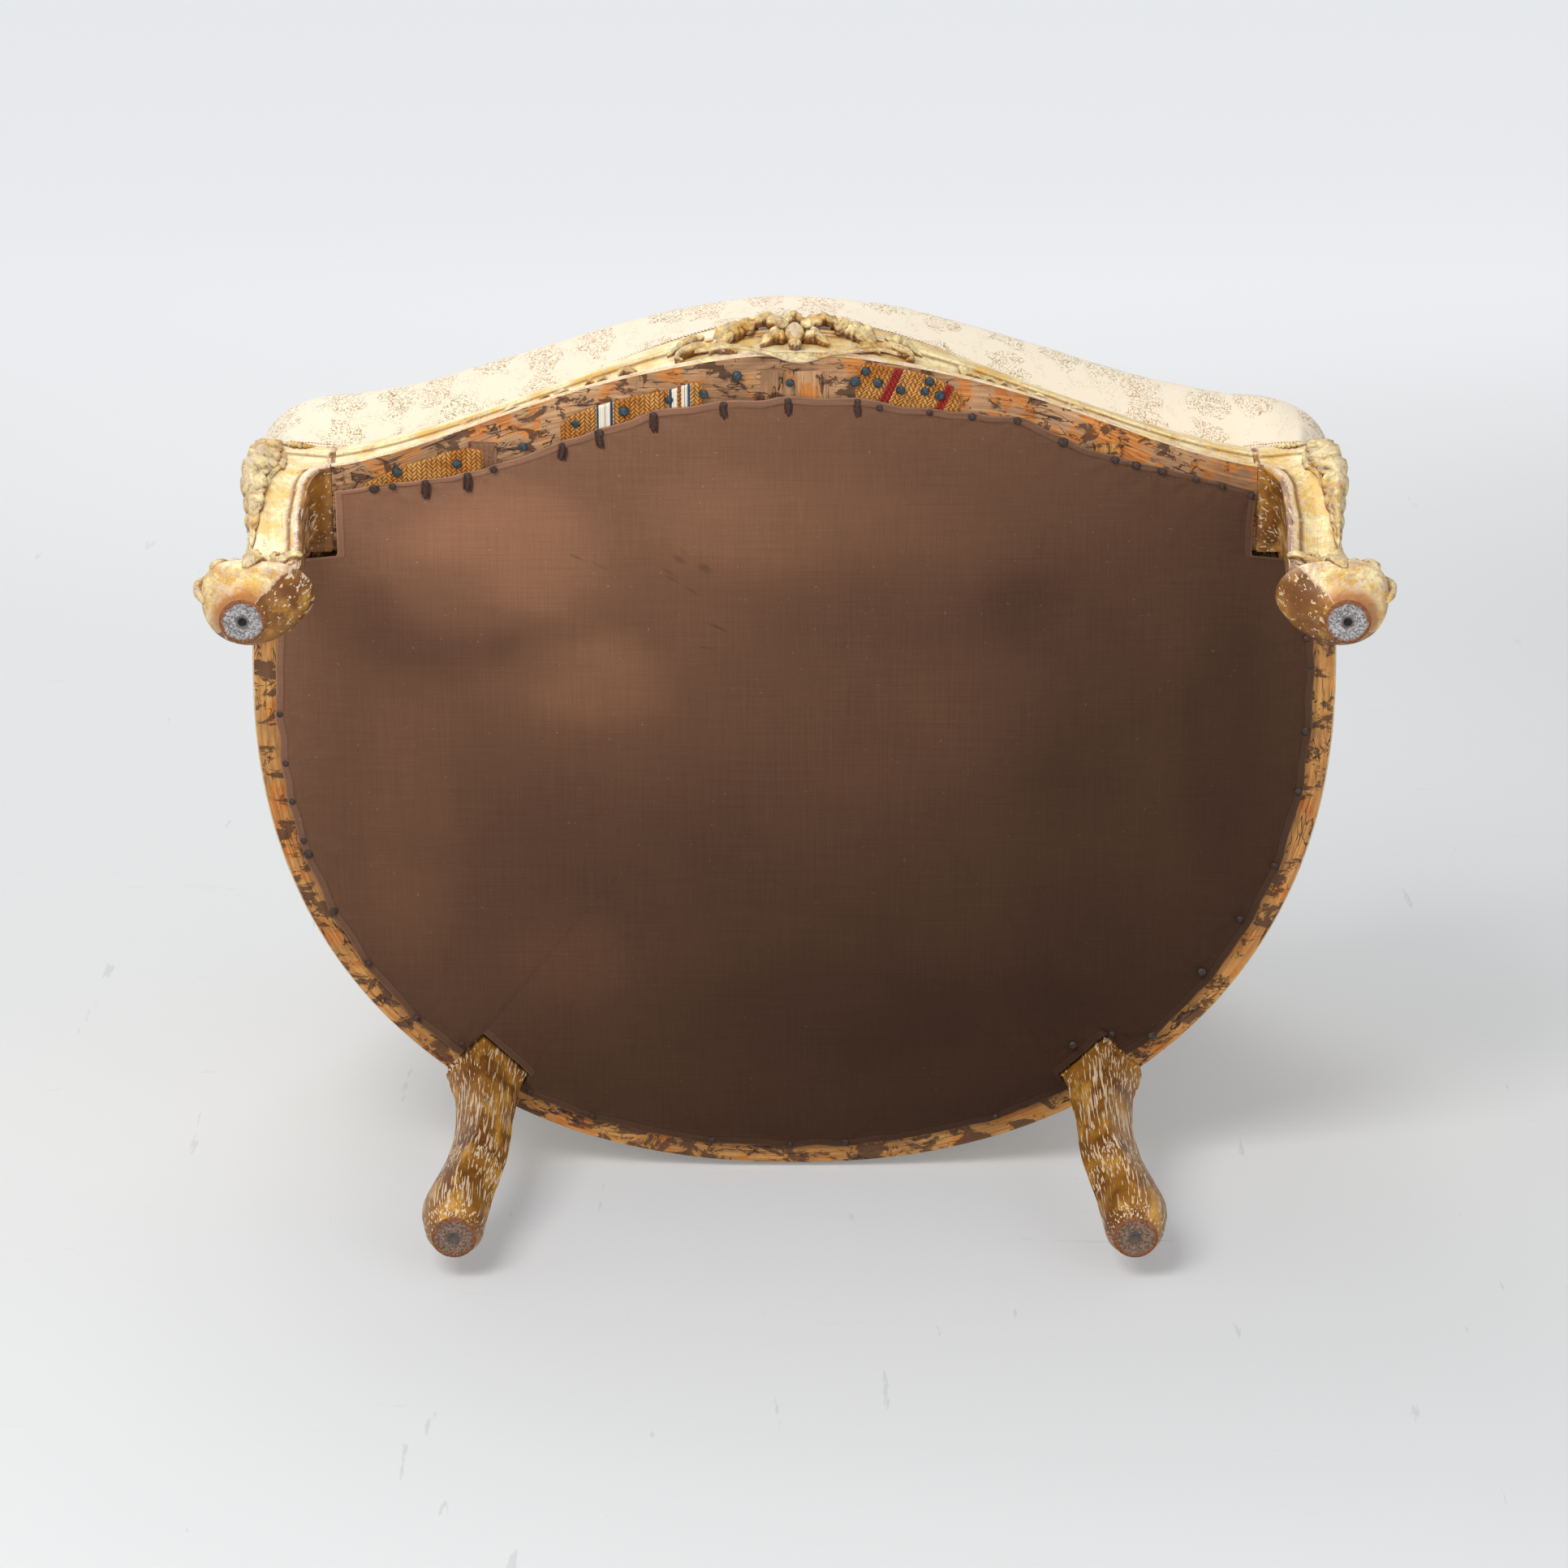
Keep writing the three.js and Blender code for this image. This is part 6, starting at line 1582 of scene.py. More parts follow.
@dataclass
class RearLegs:
    """The plain rear legs, which carry on up as the back stiles."""

    x: float = 0.214
    y: float = 0.290
    angle: float = math.radians(45)
    block_width: float = 0.045
    block_inner: float = 0.020
    stile_width: float = 0.036
    stile_inner: float = 0.014
    stile_inset: float = 0.008
    thick: float = 0.033
    foot_spread: float = 0.011
    foot_thrust: float = 0.005
    clearance: float = JOINT
    relief: float = 0.006
    set_back: float = 0.003
    around: int = 64
    shares: tuple = (
        (0, 1, 0.91, 0), (0.02, 1, 1, 0), (0.06, 1.02, 1.2, 0), (0.12, 1.06, 1.24, 0.15), (0.2, 1, 1.18, 0.4),
        (0.33, 0.5, 1.05, 0.6), (0.46, 0, 0.96, 0.65), (0.62, -0.2, 0.92, 0.65), (0.8, -0.2, 1, 0.7),
        (0.92, 0, 1.12, 0.85), (0.985, 0, 1.2, 0.95),
    )

    @property
    def beside(self) -> float:
        """Distance from the leg's middle to the rail that meets it."""
        return self.block_width / 2 + self.clearance

    @property
    def out(self) -> Array:
        """Direction that the leg's outer face looks."""
        return np.array([math.cos(self.angle), math.sin(self.angle)])

    @property
    def along(self) -> Array:
        """Direction along the rails at the leg."""
        return np.array([-self.out[1], self.out[0]])

    @property
    def turn(self) -> float:
        """Turn of the outline at the leg's middle."""
        return self.turn_beside(0.0)

    def turn_beside(self, along: Array, inset: float = 0.0, z: Array = 0.0) -> Array:
        """Turn at which an inset lies a distance along from the leg's axis."""
        along, z = np.broadcast_arrays(np.asarray(along, float), np.asarray(z, float))

        def miss(turn: Array) -> Array:
            """How far beyond the distance along a turn lies."""
            place = PLAN.place(turn, inset, z)[..., :2]
            return (place - self.axis(z)) @ self.along - along

        found = solve(miss, np.zeros(along.shape), np.full(along.shape, math.pi / 2))
        return float(found) if found.ndim == 0 else found

    @cached_property
    def outline_turn(self) -> float:
        """Turn of the outline's point that the leg's axis leans back with."""
        base = np.array([self.x, self.y])
        return float(solve(lambda t: (PLAN.edge(t) - base) @ self.along, 0.0, math.pi / 2))

    def axis(self, z: Array) -> Array:
        """Plan place of the leg's axis at a height."""
        return np.array([self.x, self.y]) + PLAN.edge(self.outline_turn, z) - PLAN.edge(self.outline_turn)

    def point(self, out: Array, along: Array, z: Array) -> Array:
        """Plan points from distances out and along from the axis."""
        out, along, z = np.broadcast_arrays(*(np.asarray(v, float) for v in (out, along, z)))
        place = self.axis(z) + out[..., None] * self.out + along[..., None] * self.along
        return np.concatenate([place, z[..., None]], -1)

    def unit(self, squareness: Array) -> tuple[Array, Array]:
        """Points between a circle and a square."""
        turn = np.linspace(0, 2 * math.pi, self.around, endpoint=False)
        circle = np.stack([np.cos(turn), np.sin(turn)])
        square = circle / np.abs(circle).max(0)
        shape = circle[:, None] + (square - circle)[:, None] * np.asarray(squareness)[None, :, None]
        return shape[0], shape[1]

    def reach(self, along: Array, z: Array) -> Array:
        """Distance from the axis to the outline."""
        turn = self.turn_beside(along, 0.0, z)
        return (PLAN.edge(turn, z) - self.axis(z)) @ self.out

    def build(self) -> None:
        """Makes both legs with their stiles."""
        share = np.linspace(0, 0.985, 110)
        lean, thick, squareness = np.moveaxis(read_curve(self.shares, share), -1, 0)
        out, along = self.unit(squareness)
        half = (thick * self.thick / 2)[:, None]
        shift = lean[:, None, None] * np.array([self.foot_spread, self.foot_thrust, 0])
        lower = self.point(out * half, along * half, (share * PLAN.underside)[:, None]) + shift
        up = np.linspace(0, 1, 44)
        back = read_curve(RAIL_PROFILE, up)[..., 0]
        out, along = self.unit(np.full(len(up), 0.985))
        z = np.broadcast_to((PLAN.underside + up * PLAN.rail_height)[:, None], out.shape)
        offset = along * self.block_width / 2
        reach = self.reach(offset, z) - (self.relief * back + self.set_back * up)[:, None]
        block = self.point(-self.block_inner + (reach + self.block_inner) * (out + 1) / 2, offset, z)
        share = np.linspace(0.02, 1, 50)[:, None]
        out, along = self.unit(np.full(50, 0.9))
        z = np.full(out.shape, PLAN.rail_top)
        for _ in range(4):
            width = self.block_width + (self.stile_width - self.block_width) * np.clip(
                (z - PLAN.rail_top) / (TOP_RAILS.arm_top - PLAN.rail_top), 0, 1)
            offset = along * width / 2
            inner = self.block_inner + (self.stile_inner - self.block_inner) * share
            reach = self.reach(offset, z) - self.stile_inset
            stile = self.point(-inner + (reach + inner) * (out + 1) / 2, offset, z)
            bottom = TOP_RAILS.section(PLAN.turn_of(stile))["bottom"] - 0.001
            z = PLAN.rail_top + (bottom - PLAN.rail_top) * share
        rings = np.concatenate([lower, block, stile])
        relief = np.concatenate([np.full(len(lower), 0.6), 1 - back, np.full(len(stile), 0.7)])
        piece = Loft(rings, shade=Shade.CREASED,
                     fields={"relief": np.broadcast_to(relief[:, None], rings.shape[:2])}).piece("rear_leg_plain_right")
        dress(piece, VARNISH)
        settle_pair(piece, "rear_leg_plain", "aged_wood", "rear_leg")


# ---------------------------------------------------------------- back and arms


@dataclass
class TopRails:
    """The crest rail and the arm rails, one line from knuckle to knuckle."""

    arm_top: float = 0.605
    crest_top: float = 0.925
    peak: float = 0.012
    peak_turn: float = math.radians(9)
    rise_start: float = math.radians(22)
    rise_end: float = math.radians(80)
    width: float = 0.036
    height: float = 0.044
    inset: float = 0.004
    steepest: float = 1.45
    arm_front: float = -0.015
    knuckle_length: float = 0.026
    knuckle_reach: float = 0.070
    knuckle_swell: float = 0.2
    knuckle_dip: float = 0.009
    around: int = 72
    rebate: float = 0.87
    rebate_height: float = 0.62
    profile: tuple = (
        (0.08, 0), (0, 0.06), (0, 0.14), (0.07, 0.24), (0.12, 0.42), (0.08, 0.6), (0.01, 0.7), (0, 0.8),
        (0.07, 0.93), (0.25, 1), (0.6, 1), (0.9, 0.95), (1, 0.82), (0.95, 0.66), (0.87, 0.62), (0.87, 0),
    )

    def line(self, turn: Array) -> Array:
        """Height of the rail's top at a turn."""
        back = math.pi / 2 - np.abs(turn - math.pi / 2)
        rise = smooth((back - self.rise_start) / (self.rise_end - self.rise_start))
        peak = self.peak * bell(math.pi / 2 - back, self.peak_turn)
        return self.arm_top + (self.crest_top - self.arm_top) * rise + peak

    def section(self, turn: Array) -> dict[str, Array]:
        """Heights, thickness and knuckle of the rail at a turn."""
        turn = np.asarray(turn, float)
        step = math.radians(1)
        run = np.linalg.norm(PLAN.edge(turn + step) - PLAN.edge(turn - step), axis=-1)
        slope = (self.line(turn + step) - self.line(turn - step)) / run
        height = self.height * np.minimum(self.steepest, np.hypot(1, slope))
        back = np.minimum(turn, math.pi - turn)
        from_front = np.where(back < self.rise_start, PLAN.edge(back)[..., 1] - self.arm_front,
                              self.knuckle_reach)
        nose = np.sqrt(1 - (1 - np.clip(from_front / self.knuckle_length, 0, 1)) ** 2)
        swell = 1 + self.knuckle_swell * np.sin(math.pi * np.clip(from_front / self.knuckle_reach, 0, 1)) ** 2
        dip = self.knuckle_dip * (1 - smooth(from_front / self.knuckle_reach))
        centre = self.line(turn) - height / 2 - dip
        half = swell * height / 2
        return {
            "centre": centre, "height": height, "nose": nose, "swell": swell, "bottom": centre - half,
            "top": centre + half, "rebate": centre + half * (2 * self.rebate_height - 1),
            "rebate_inset": self.inset + self.width * (0.5 + (self.rebate - 0.5) * swell),
        }

    def outline(self) -> tuple[Array, Array]:
        """The profile as even points, and how proud each one stands."""
        corners = np.array(self.profile)
        closed = np.vstack([corners, corners[:1]])
        travel = travelled(closed)
        table = np.column_stack([travel, closed])
        at = np.linspace(0, travel[-1], self.around, endpoint=False)
        points = read_curve(table, at)
        beads = 0.2 + 0.7 * (1 - np.clip(points[:, 0] / 0.12, 0, 1))
        return points, np.where(points[:, 0] < 0.3, beads, 0.6)

    def rail(self, name: str, turns: Array) -> bpy.types.Object:
        """One rail over a run of turns."""
        s = {key: value[:, None] for key, value in self.section(turns).items()}
        profile, relief = self.outline()
        size = s["swell"] * np.maximum(s["nose"], 0.2)
        inset = self.inset + self.width * (0.5 + (profile[None, :, 0] - 0.5) * size)
        z = s["centre"] + s["height"] * (profile[None, :, 1] - 0.5) * size
        points = PLAN.place(turns[:, None], inset, z)
        piece = Loft(points, fields={"relief": np.broadcast_to(relief, points.shape[:2])}).piece(name)
        return dress(piece, GILT)

    def build(self) -> None:
        """Makes the crest and both arms."""
        joint = 0.00015 / PLAN.half_width
        leg = REAR_LEGS.turn
        crest = self.rail("crest_rail_moulded", np.linspace(leg + joint, math.pi - leg - joint, 160))
        start = float(PLAN.turn_at_y(self.arm_front))
        shares = np.concatenate([np.linspace(0, 0.06, 14)[:-1], np.linspace(0.06, 1, 110)])
        arm = self.rail("arm_rail_moulded_right", start + (leg - joint - start) * shares)
        settle(crest, "gilt_wood", "crest_rail")
        settle_pair(arm, "arm_rail_moulded", "gilt_wood", "arm_rail")


@dataclass
class ArmSupports:
    """The supports that whip back from the side rails up to the arms."""

    base_y: float = -0.045
    top_y: float = 0.034
    sway: float = 0.010
    width: float = 0.030
    depth: float = 0.020
    inset: float = 0.019
    flare: float = 0.08
    flare_height: float = 0.026

    def y(self, z: Array) -> Array:
        """Plan y of the support's middle at a height."""
        up = np.clip((z - PLAN.rail_top) / (TOP_RAILS.arm_top - TOP_RAILS.height - PLAN.rail_top), 0, 1)
        return self.base_y + (self.top_y - self.base_y) * smooth(up) - self.sway * np.sin(2 * math.pi * up)

    def build(self) -> None:
        """Makes both supports."""
        share = np.linspace(0, 1, 90)[:, None]
        out, along = REAR_LEGS.unit(np.full(90, 0.62))
        low = PLAN.rail_top + JOINT
        z = np.full(out.shape, low)
        for _ in range(4):
            flare = 1 + self.flare * bell(z - PLAN.rail_top, self.flare_height)
            turn = PLAN.turn_at_y(self.y(z) + along * flare * self.width / 2, z)
            angle = PLAN.outward(PLAN.turn_at_y(self.y(z)))
            points = PLAN.place(turn, self.inset - out * self.depth / 2, z, angle)
            bottom = TOP_RAILS.section(PLAN.turn_of(points))["bottom"] - 0.0006
            z = low + (bottom - low) * share
        relief = np.broadcast_to(0.45 + 0.4 * np.abs(along[0]), points.shape[:2])
        piece = Loft(points, fields={"relief": relief}).piece("arm_support_carved_right")
        dress(piece, GILT)
        settle_pair(piece, "arm_support_carved", "gilt_wood", "arm_support")


# ---------------------------------------------------------------- underneath


@dataclass
class DustCover:
    """The cambric under the seat: hemmed, tacked along its edge and slack between the tacks."""

    top: float = 0.2278
    thickness: float = 0.0009
    sag: float = 0.005
    side_inset: float = 0.015
    rings: int = 56
    around: int = 780
    hem_width: float = 0.0052
    scallop: float = 0.0016
    middle: tuple = (0, -0.02)
    # Place across the chair, front edge
    front: tuple = (
        (-0.3065, -0.145), (-0.258, -0.152), (-0.234, -0.155), (-0.204, -0.162), (-0.182, -0.170), (-0.150, -0.182),
        (-0.118, -0.193), (-0.080, -0.205), (-0.042, -0.209), (0.011, -0.212), (0.043, -0.211), (0.065, -0.207),
        (0.092, -0.203), (0.121, -0.200), (0.151, -0.197), (0.178, -0.183), (0.216, -0.169), (0.259, -0.158),
        (0.3065, -0.145),
    )
    # Middle, half width, half depth and strength of the darker clouds, above 0, and the rubbed, paler ones, below; the
    # first darker cloud is the left front leg's shadow painted in, the other darker ones are damp stains
    clouds: tuple = (
        (-0.245, -0.055, 0.070, 0.055, 0.75), (-0.175, -0.030, 0.035, 0.030, 0.35), (0.060, -0.060, 0.110, 0.045, 0.35),
        (0.190, -0.010, 0.075, 0.110, 0.45), (0.290, 0.040, 0.035, 0.120, 0.5), (-0.060, 0.120, 0.200, 0.070, 0.35),
        (0.050, 0.240, 0.170, 0.055, 0.5), (0.190, 0.190, 0.060, 0.070, 0.35), (-0.200, -0.095, 0.085, 0.055, -0.8),
        (-0.140, -0.010, 0.055, 0.040, -0.65), (0.010, -0.120, 0.140, 0.045, -0.45), (0.120, 0.010, 0.070, 0.050, -0.3),
        (-0.260, 0.100, 0.040, 0.120, -0.35), (0.060, 0.090, 0.090, 0.060, -0.3), (-0.150, 0.200, 0.050, 0.040, -0.25),
    )
    # Place and half length of the drips
    drips: tuple = (
        (-0.145, -0.098, 0.0028), (-0.130, -0.092, 0.0020), (-0.076, -0.100, 0.0040), (-0.083, -0.086, 0.0036),
        (-0.060, -0.092, 0.0042), (-0.068, -0.078, 0.0034), (-0.100, -0.050, 0.0030), (-0.052, -0.048, 0.0032),
        (-0.094, -0.033, 0.0026), (-0.060, -0.036, 0.0030), (-0.120, -0.066, 0.0016), (-0.040, -0.070, 0.0018),
    )

    def hem(self, x: Array) -> Array:
        """Front edge of the cover."""
        return read_curve(self.front, x)[..., 0]

    def height(self, plan: Array) -> Array:
        """Height of the cover's upper side at plan points, without its puckers."""
        far = np.maximum(np.abs(plan[..., 0]) / 0.35, np.abs(plan[..., 1] + 0.071 - 0.14) / 0.28)
        return self.top - self.sag * (1 - np.clip(far, 0, 1) ** 2.2)

    def outline(self) -> Array:
        """Plan outline, from the left end of the front to the right and round."""
        clear = 0.0012
        inner = FRONT_RAIL.half_length - clear + JOINT
        x = np.linspace(-inner, inner, 150)
        front = np.stack([x, self.hem(x)], -1)
        back = clear - FRONT_LEGS.back
        start = float(PLAN.turn_at_y(back))
        side = REAR_LEGS.beside + clear
        turns = np.linspace(start, REAR_LEGS.turn_beside(-side, self.side_inset), 60)
        sides = PLAN.place(turns, self.side_inset, 0)[:, :2]
        corners = [REAR_LEGS.point(-REAR_LEGS.block_inner - clear, way * side, 0)[:2] for way in (-1, 1)]
        behind = REAR_LEGS.turn_beside(side, self.side_inset)
        rears = PLAN.place(np.linspace(behind, math.pi / 2, 50), self.side_inset, 0)[:, :2]
        half = np.vstack([[[inner, back]], sides, corners, rears])
        return np.vstack([front, half, (half * [-1, 1])[::-1][1:]])

    def build(self) -> bpy.types.Object:
        """Makes the cover as a filled sheet with a little thickness."""
        ring = self.outline()
        closed = np.vstack([ring, ring[:1]])
        travel = travelled(closed)
        at = np.linspace(0, travel[-1], self.around, endpoint=False)
        edge = np.stack([np.interp(at, travel, closed[:, i]) for i in (0, 1)], -1)
        middle = np.array(self.middle)
        inwards = middle - edge
        inwards /= np.linalg.norm(inwards, axis=1)[:, None]
        tacks = FASTENINGS.tacks()
        near = np.linalg.norm(edge[:, None] - tacks[None], axis=2).min(1)
        slack = self.scallop * smooth(near / 0.022) + 0.0006 * wobble(edge, 0.02, 9)
        edge = edge + inwards * np.maximum(slack, 0)[:, None]
        share = 1 - np.linspace(0, 1, self.rings) ** 2.1
        plan = middle + (edge[None] - middle) * share[:, None, None]
        depth = np.linalg.norm(plan - edge[None], axis=2)
        z = self.top - self.thickness - self.sag * (1 - share[:, None] ** 2.2)
        z = z - self.pucker(plan, tacks) - 0.0007 * wobble(plan, 0.11, 4) * smooth(depth / 0.05)
        z = z - 0.00055 * (depth < self.hem_width) - 0.0009 * bell(self.crease(plan), 0.0011)
        points = np.concatenate([plan, z[..., None]], -1)
        piece = self.cloth(points)
        fields = {"hem": depth, "cloud": self.stains(plan), "drips": self.drops(plan)}
        for key, value in fields.items():
            side = np.concatenate([value[:-1].ravel(), [value[-1].mean()]])
            set_attribute(piece.data, key, np.tile(side, 2))
        dress(piece, CAMBRIC)
        settle(piece, "brown_cambric", "dust_cover")
        return piece

    def cloth(self, points: Array) -> bpy.types.Object:
        """The thin closed sheet over its rings: the underside, the upper side and the folded edge."""
        rows, count = points.shape[0] - 1, points.shape[1]
        under = np.vstack([points[:-1].reshape(-1, 3), points[-1].mean(0)[None]])
        verts = np.vstack([under, under + [0, 0, self.thickness]]) + [0, PLAN.middle_y, 0]
        index = np.arange(count)
        after = (index + 1) % count
        faces = []
        for row in range(rows - 1):
            base = row * count
            faces += np.stack([base + index, base + count + index, base + count + after, base + after], -1).tolist()
        base, hub = (rows - 1) * count, rows * count
        faces += [[base + i, hub, base + j] for i, j in zip(index.tolist(), after.tolist())]
        faces += [[i + len(under) for i in face[::-1]] for face in faces]
        faces += np.stack([index, after, after + len(under), index + len(under)], -1).tolist()
        mesh = bpy.data.meshes.new("dust_cover_cloth")
        mesh.from_pydata(verts.tolist(), [], flip_inward(verts, faces))
        mesh.polygons.foreach_set("use_smooth", np.ones(len(mesh.polygons), bool))
        mesh.set_sharp_from_angle(angle=math.radians(60))
        return link_mesh("dust_cover_cloth", mesh)

    def pucker(self, plan: Array, tacks: Array) -> Array:
        """Depth of the folds that run in from each tack."""
        total = np.zeros(plan.shape[:2])
        for i, tack in enumerate(tacks):
            gap = plan - tack
            far = np.linalg.norm(gap, axis=2)
            close = far < 0.075
            angle = np.arctan2(gap[..., 1], gap[..., 0])[close]
            folds = np.abs(np.sin(3.5 * angle + i)) ** 1.5 * np.exp(-far[close] / 0.020) * smooth(far[close] / 0.006)
            total[close] += 0.0011 * folds - 0.0004 * np.exp(-far[close] / 0.006)
        return total

    def crease(self, plan: Array) -> Array:
        """Distance to the short pulled crease near the right front corner."""
        start, end = np.array([0.2175, -0.166]), np.array([0.2235, -0.140])
        along = np.clip(((plan - start) @ (end - start)) / ((end - start) @ (end - start)), 0, 1)
        return np.linalg.norm(plan - start - along[..., None] * (end - start), axis=2)

    def stains(self, plan: Array) -> Array:
        """Darker clouds above 0, water stains and the left front leg's painted shadow, and rubbed, paler ones below."""
        total = np.zeros(plan.shape[:2])
        frayed = 1 + 0.22 * wobble(plan, 0.09, 21)
        for x, y, wide, deep, strength in self.clouds:
            far = np.hypot((plan[..., 0] - x) / wide, (plan[..., 1] - y) / deep) * frayed
            total += strength * smooth((1.25 - far) / 0.8)
        return total

    def drops(self, plan: Array) -> Array:
        """Dark splashes."""
        total = np.zeros(plan.shape[:2])
        for i, (x, y, long) in enumerate(self.drips):
            lean = 0.5 if i % 3 else -0.4
            gap = plan - [x, y]
            across = gap[..., 0] + lean * gap[..., 1]
            far = np.hypot(across / (long * 0.55), gap[..., 1] / long)
            total = np.maximum(total, smooth((1.15 - far) / 0.4))
        return total


@dataclass
class Blocks:
    """The bracing blocks: three let into the front rail and four behind the legs."""

    proud: float = 0.0007
    edge: float = 0.0006
    woods: dict = field(default_factory=lambda: {
        "front_rail_centre_block": "raw", "front_rail_left_block": "dark", "front_rail_right_block": "orange",
        "left_front_corner_block": "raw", "right_front_corner_block": "raw", "left_rear_corner_block": "raw",
        "right_rear_corner_block": "raw",
    })

    def build(self) -> None:
        """Makes each block a little proud of the rail's underside, with eased edges."""
        finishes = {"raw": RAW_WOOD, "dark": BLOCK_WOOD, "orange": RAIL_EDGE}
        for node, wood in self.woods.items():
            piece = solid_copy(node, node + "_eased")
            points = read_points(piece.data)
            low = points[:, 2].min()
            if abs(low - PLAN.underside) < 0.002:
                points[points[:, 2] < low + 0.0005, 2] -= self.proud
            write_points(piece.data, points)
            write_uv(piece.data, points[:, [1, 0]] + points[:, 2:] * [[0.5, 0.3]])
            bevel = piece.modifiers.new("eased", "BEVEL")
            bevel.width, bevel.segments, bevel.limit_method = self.edge, 2, "ANGLE"
            apply_modifiers(piece)
            settle(dress(piece, finishes[wood]), "bare_wood", node)


@dataclass(frozen=True)
class StrapEnd:
    """The folded end of a strap under the front rail: braided threads and coloured bands."""

    name: str
    # Place across the chair, front edge
    front: tuple
    # Middle of a band across the chair, half width, kind of band
    bands: tuple = ()
    lean: float = 0.0
    thread: float = 0.0033
    pitch: float = 0.0029
    thickness: float = 0.0014
    relief: float = 0.0016

    def build(self) -> None:
        """Makes the end, down to just behind the cover's hem."""
        edge = np.array(self.front)
        x = np.arange(edge[0, 0], edge[-1, 0], 0.0004)
        front = read_curve(self.front, x)[:, 0] + wobble(x[:, None], 0.009, 11) * 0.0009
        rear = DUST_COVER.hem(x) + 0.004
        share = np.linspace(0, 1, 84)
        y = front[:, None] + (rear - front)[:, None] * share[None]
        across = x[:, None] + self.lean * (y + 0.21)
        knot, stripe = self.braid(across, y)
        rim = smooth(share[None] / 0.06) * smooth((x[:, None] - x[0]) / 0.002) * smooth((x[-1] - x[:, None]) / 0.002)
        z = PLAN.underside - (self.thickness + self.relief * knot) * (0.15 + 0.85 * rim)
        top = [np.stack([x, row, np.full_like(x, PLAN.underside + 0.0003)], -1) for row in (rear, front)]
        rings = np.concatenate([np.stack([np.broadcast_to(x[:, None], y.shape), y, z], -1), np.stack(top, 1)], 1)
        fields = {"knot": np.pad(knot, ((0, 0), (0, 2))), "band": np.pad(stripe, ((0, 0), (0, 2)), mode="edge")}
        piece = dress(Loft(rings, shade=Shade.SMOOTH, fields=fields).piece(self.name), BRAID)
        settle(piece, "jute_webbing")

    def braid(self, across: Array, y: Array) -> tuple[Array, Array]:
        """Height of the braided threads, and the band at each point."""
        stripe = np.zeros_like(across)
        for middle, half, kind in self.bands:
            stripe = np.where(np.abs(across - middle) < half, kind, stripe)
        column = np.floor(across / self.thread)
        du = across / self.thread - column - 0.5
        row = y / self.pitch + 0.5 * (column % 2) + du * np.where(column % 2, 1.1, -1.1)
        dv = row - np.floor(row) - 0.5
        knot = np.sqrt(np.clip(1 - 2.4 * du**2 - 4.0 * dv**2, 0, 1))
        knot = knot * (0.75 + 0.25 * wobble(np.stack([across, y], -1), 0.004, 19))
        straight = np.abs(np.sin(math.pi * across / 0.0011)) ** 0.5
        return np.where(np.isin(stripe, (1, 2)), straight, knot), stripe


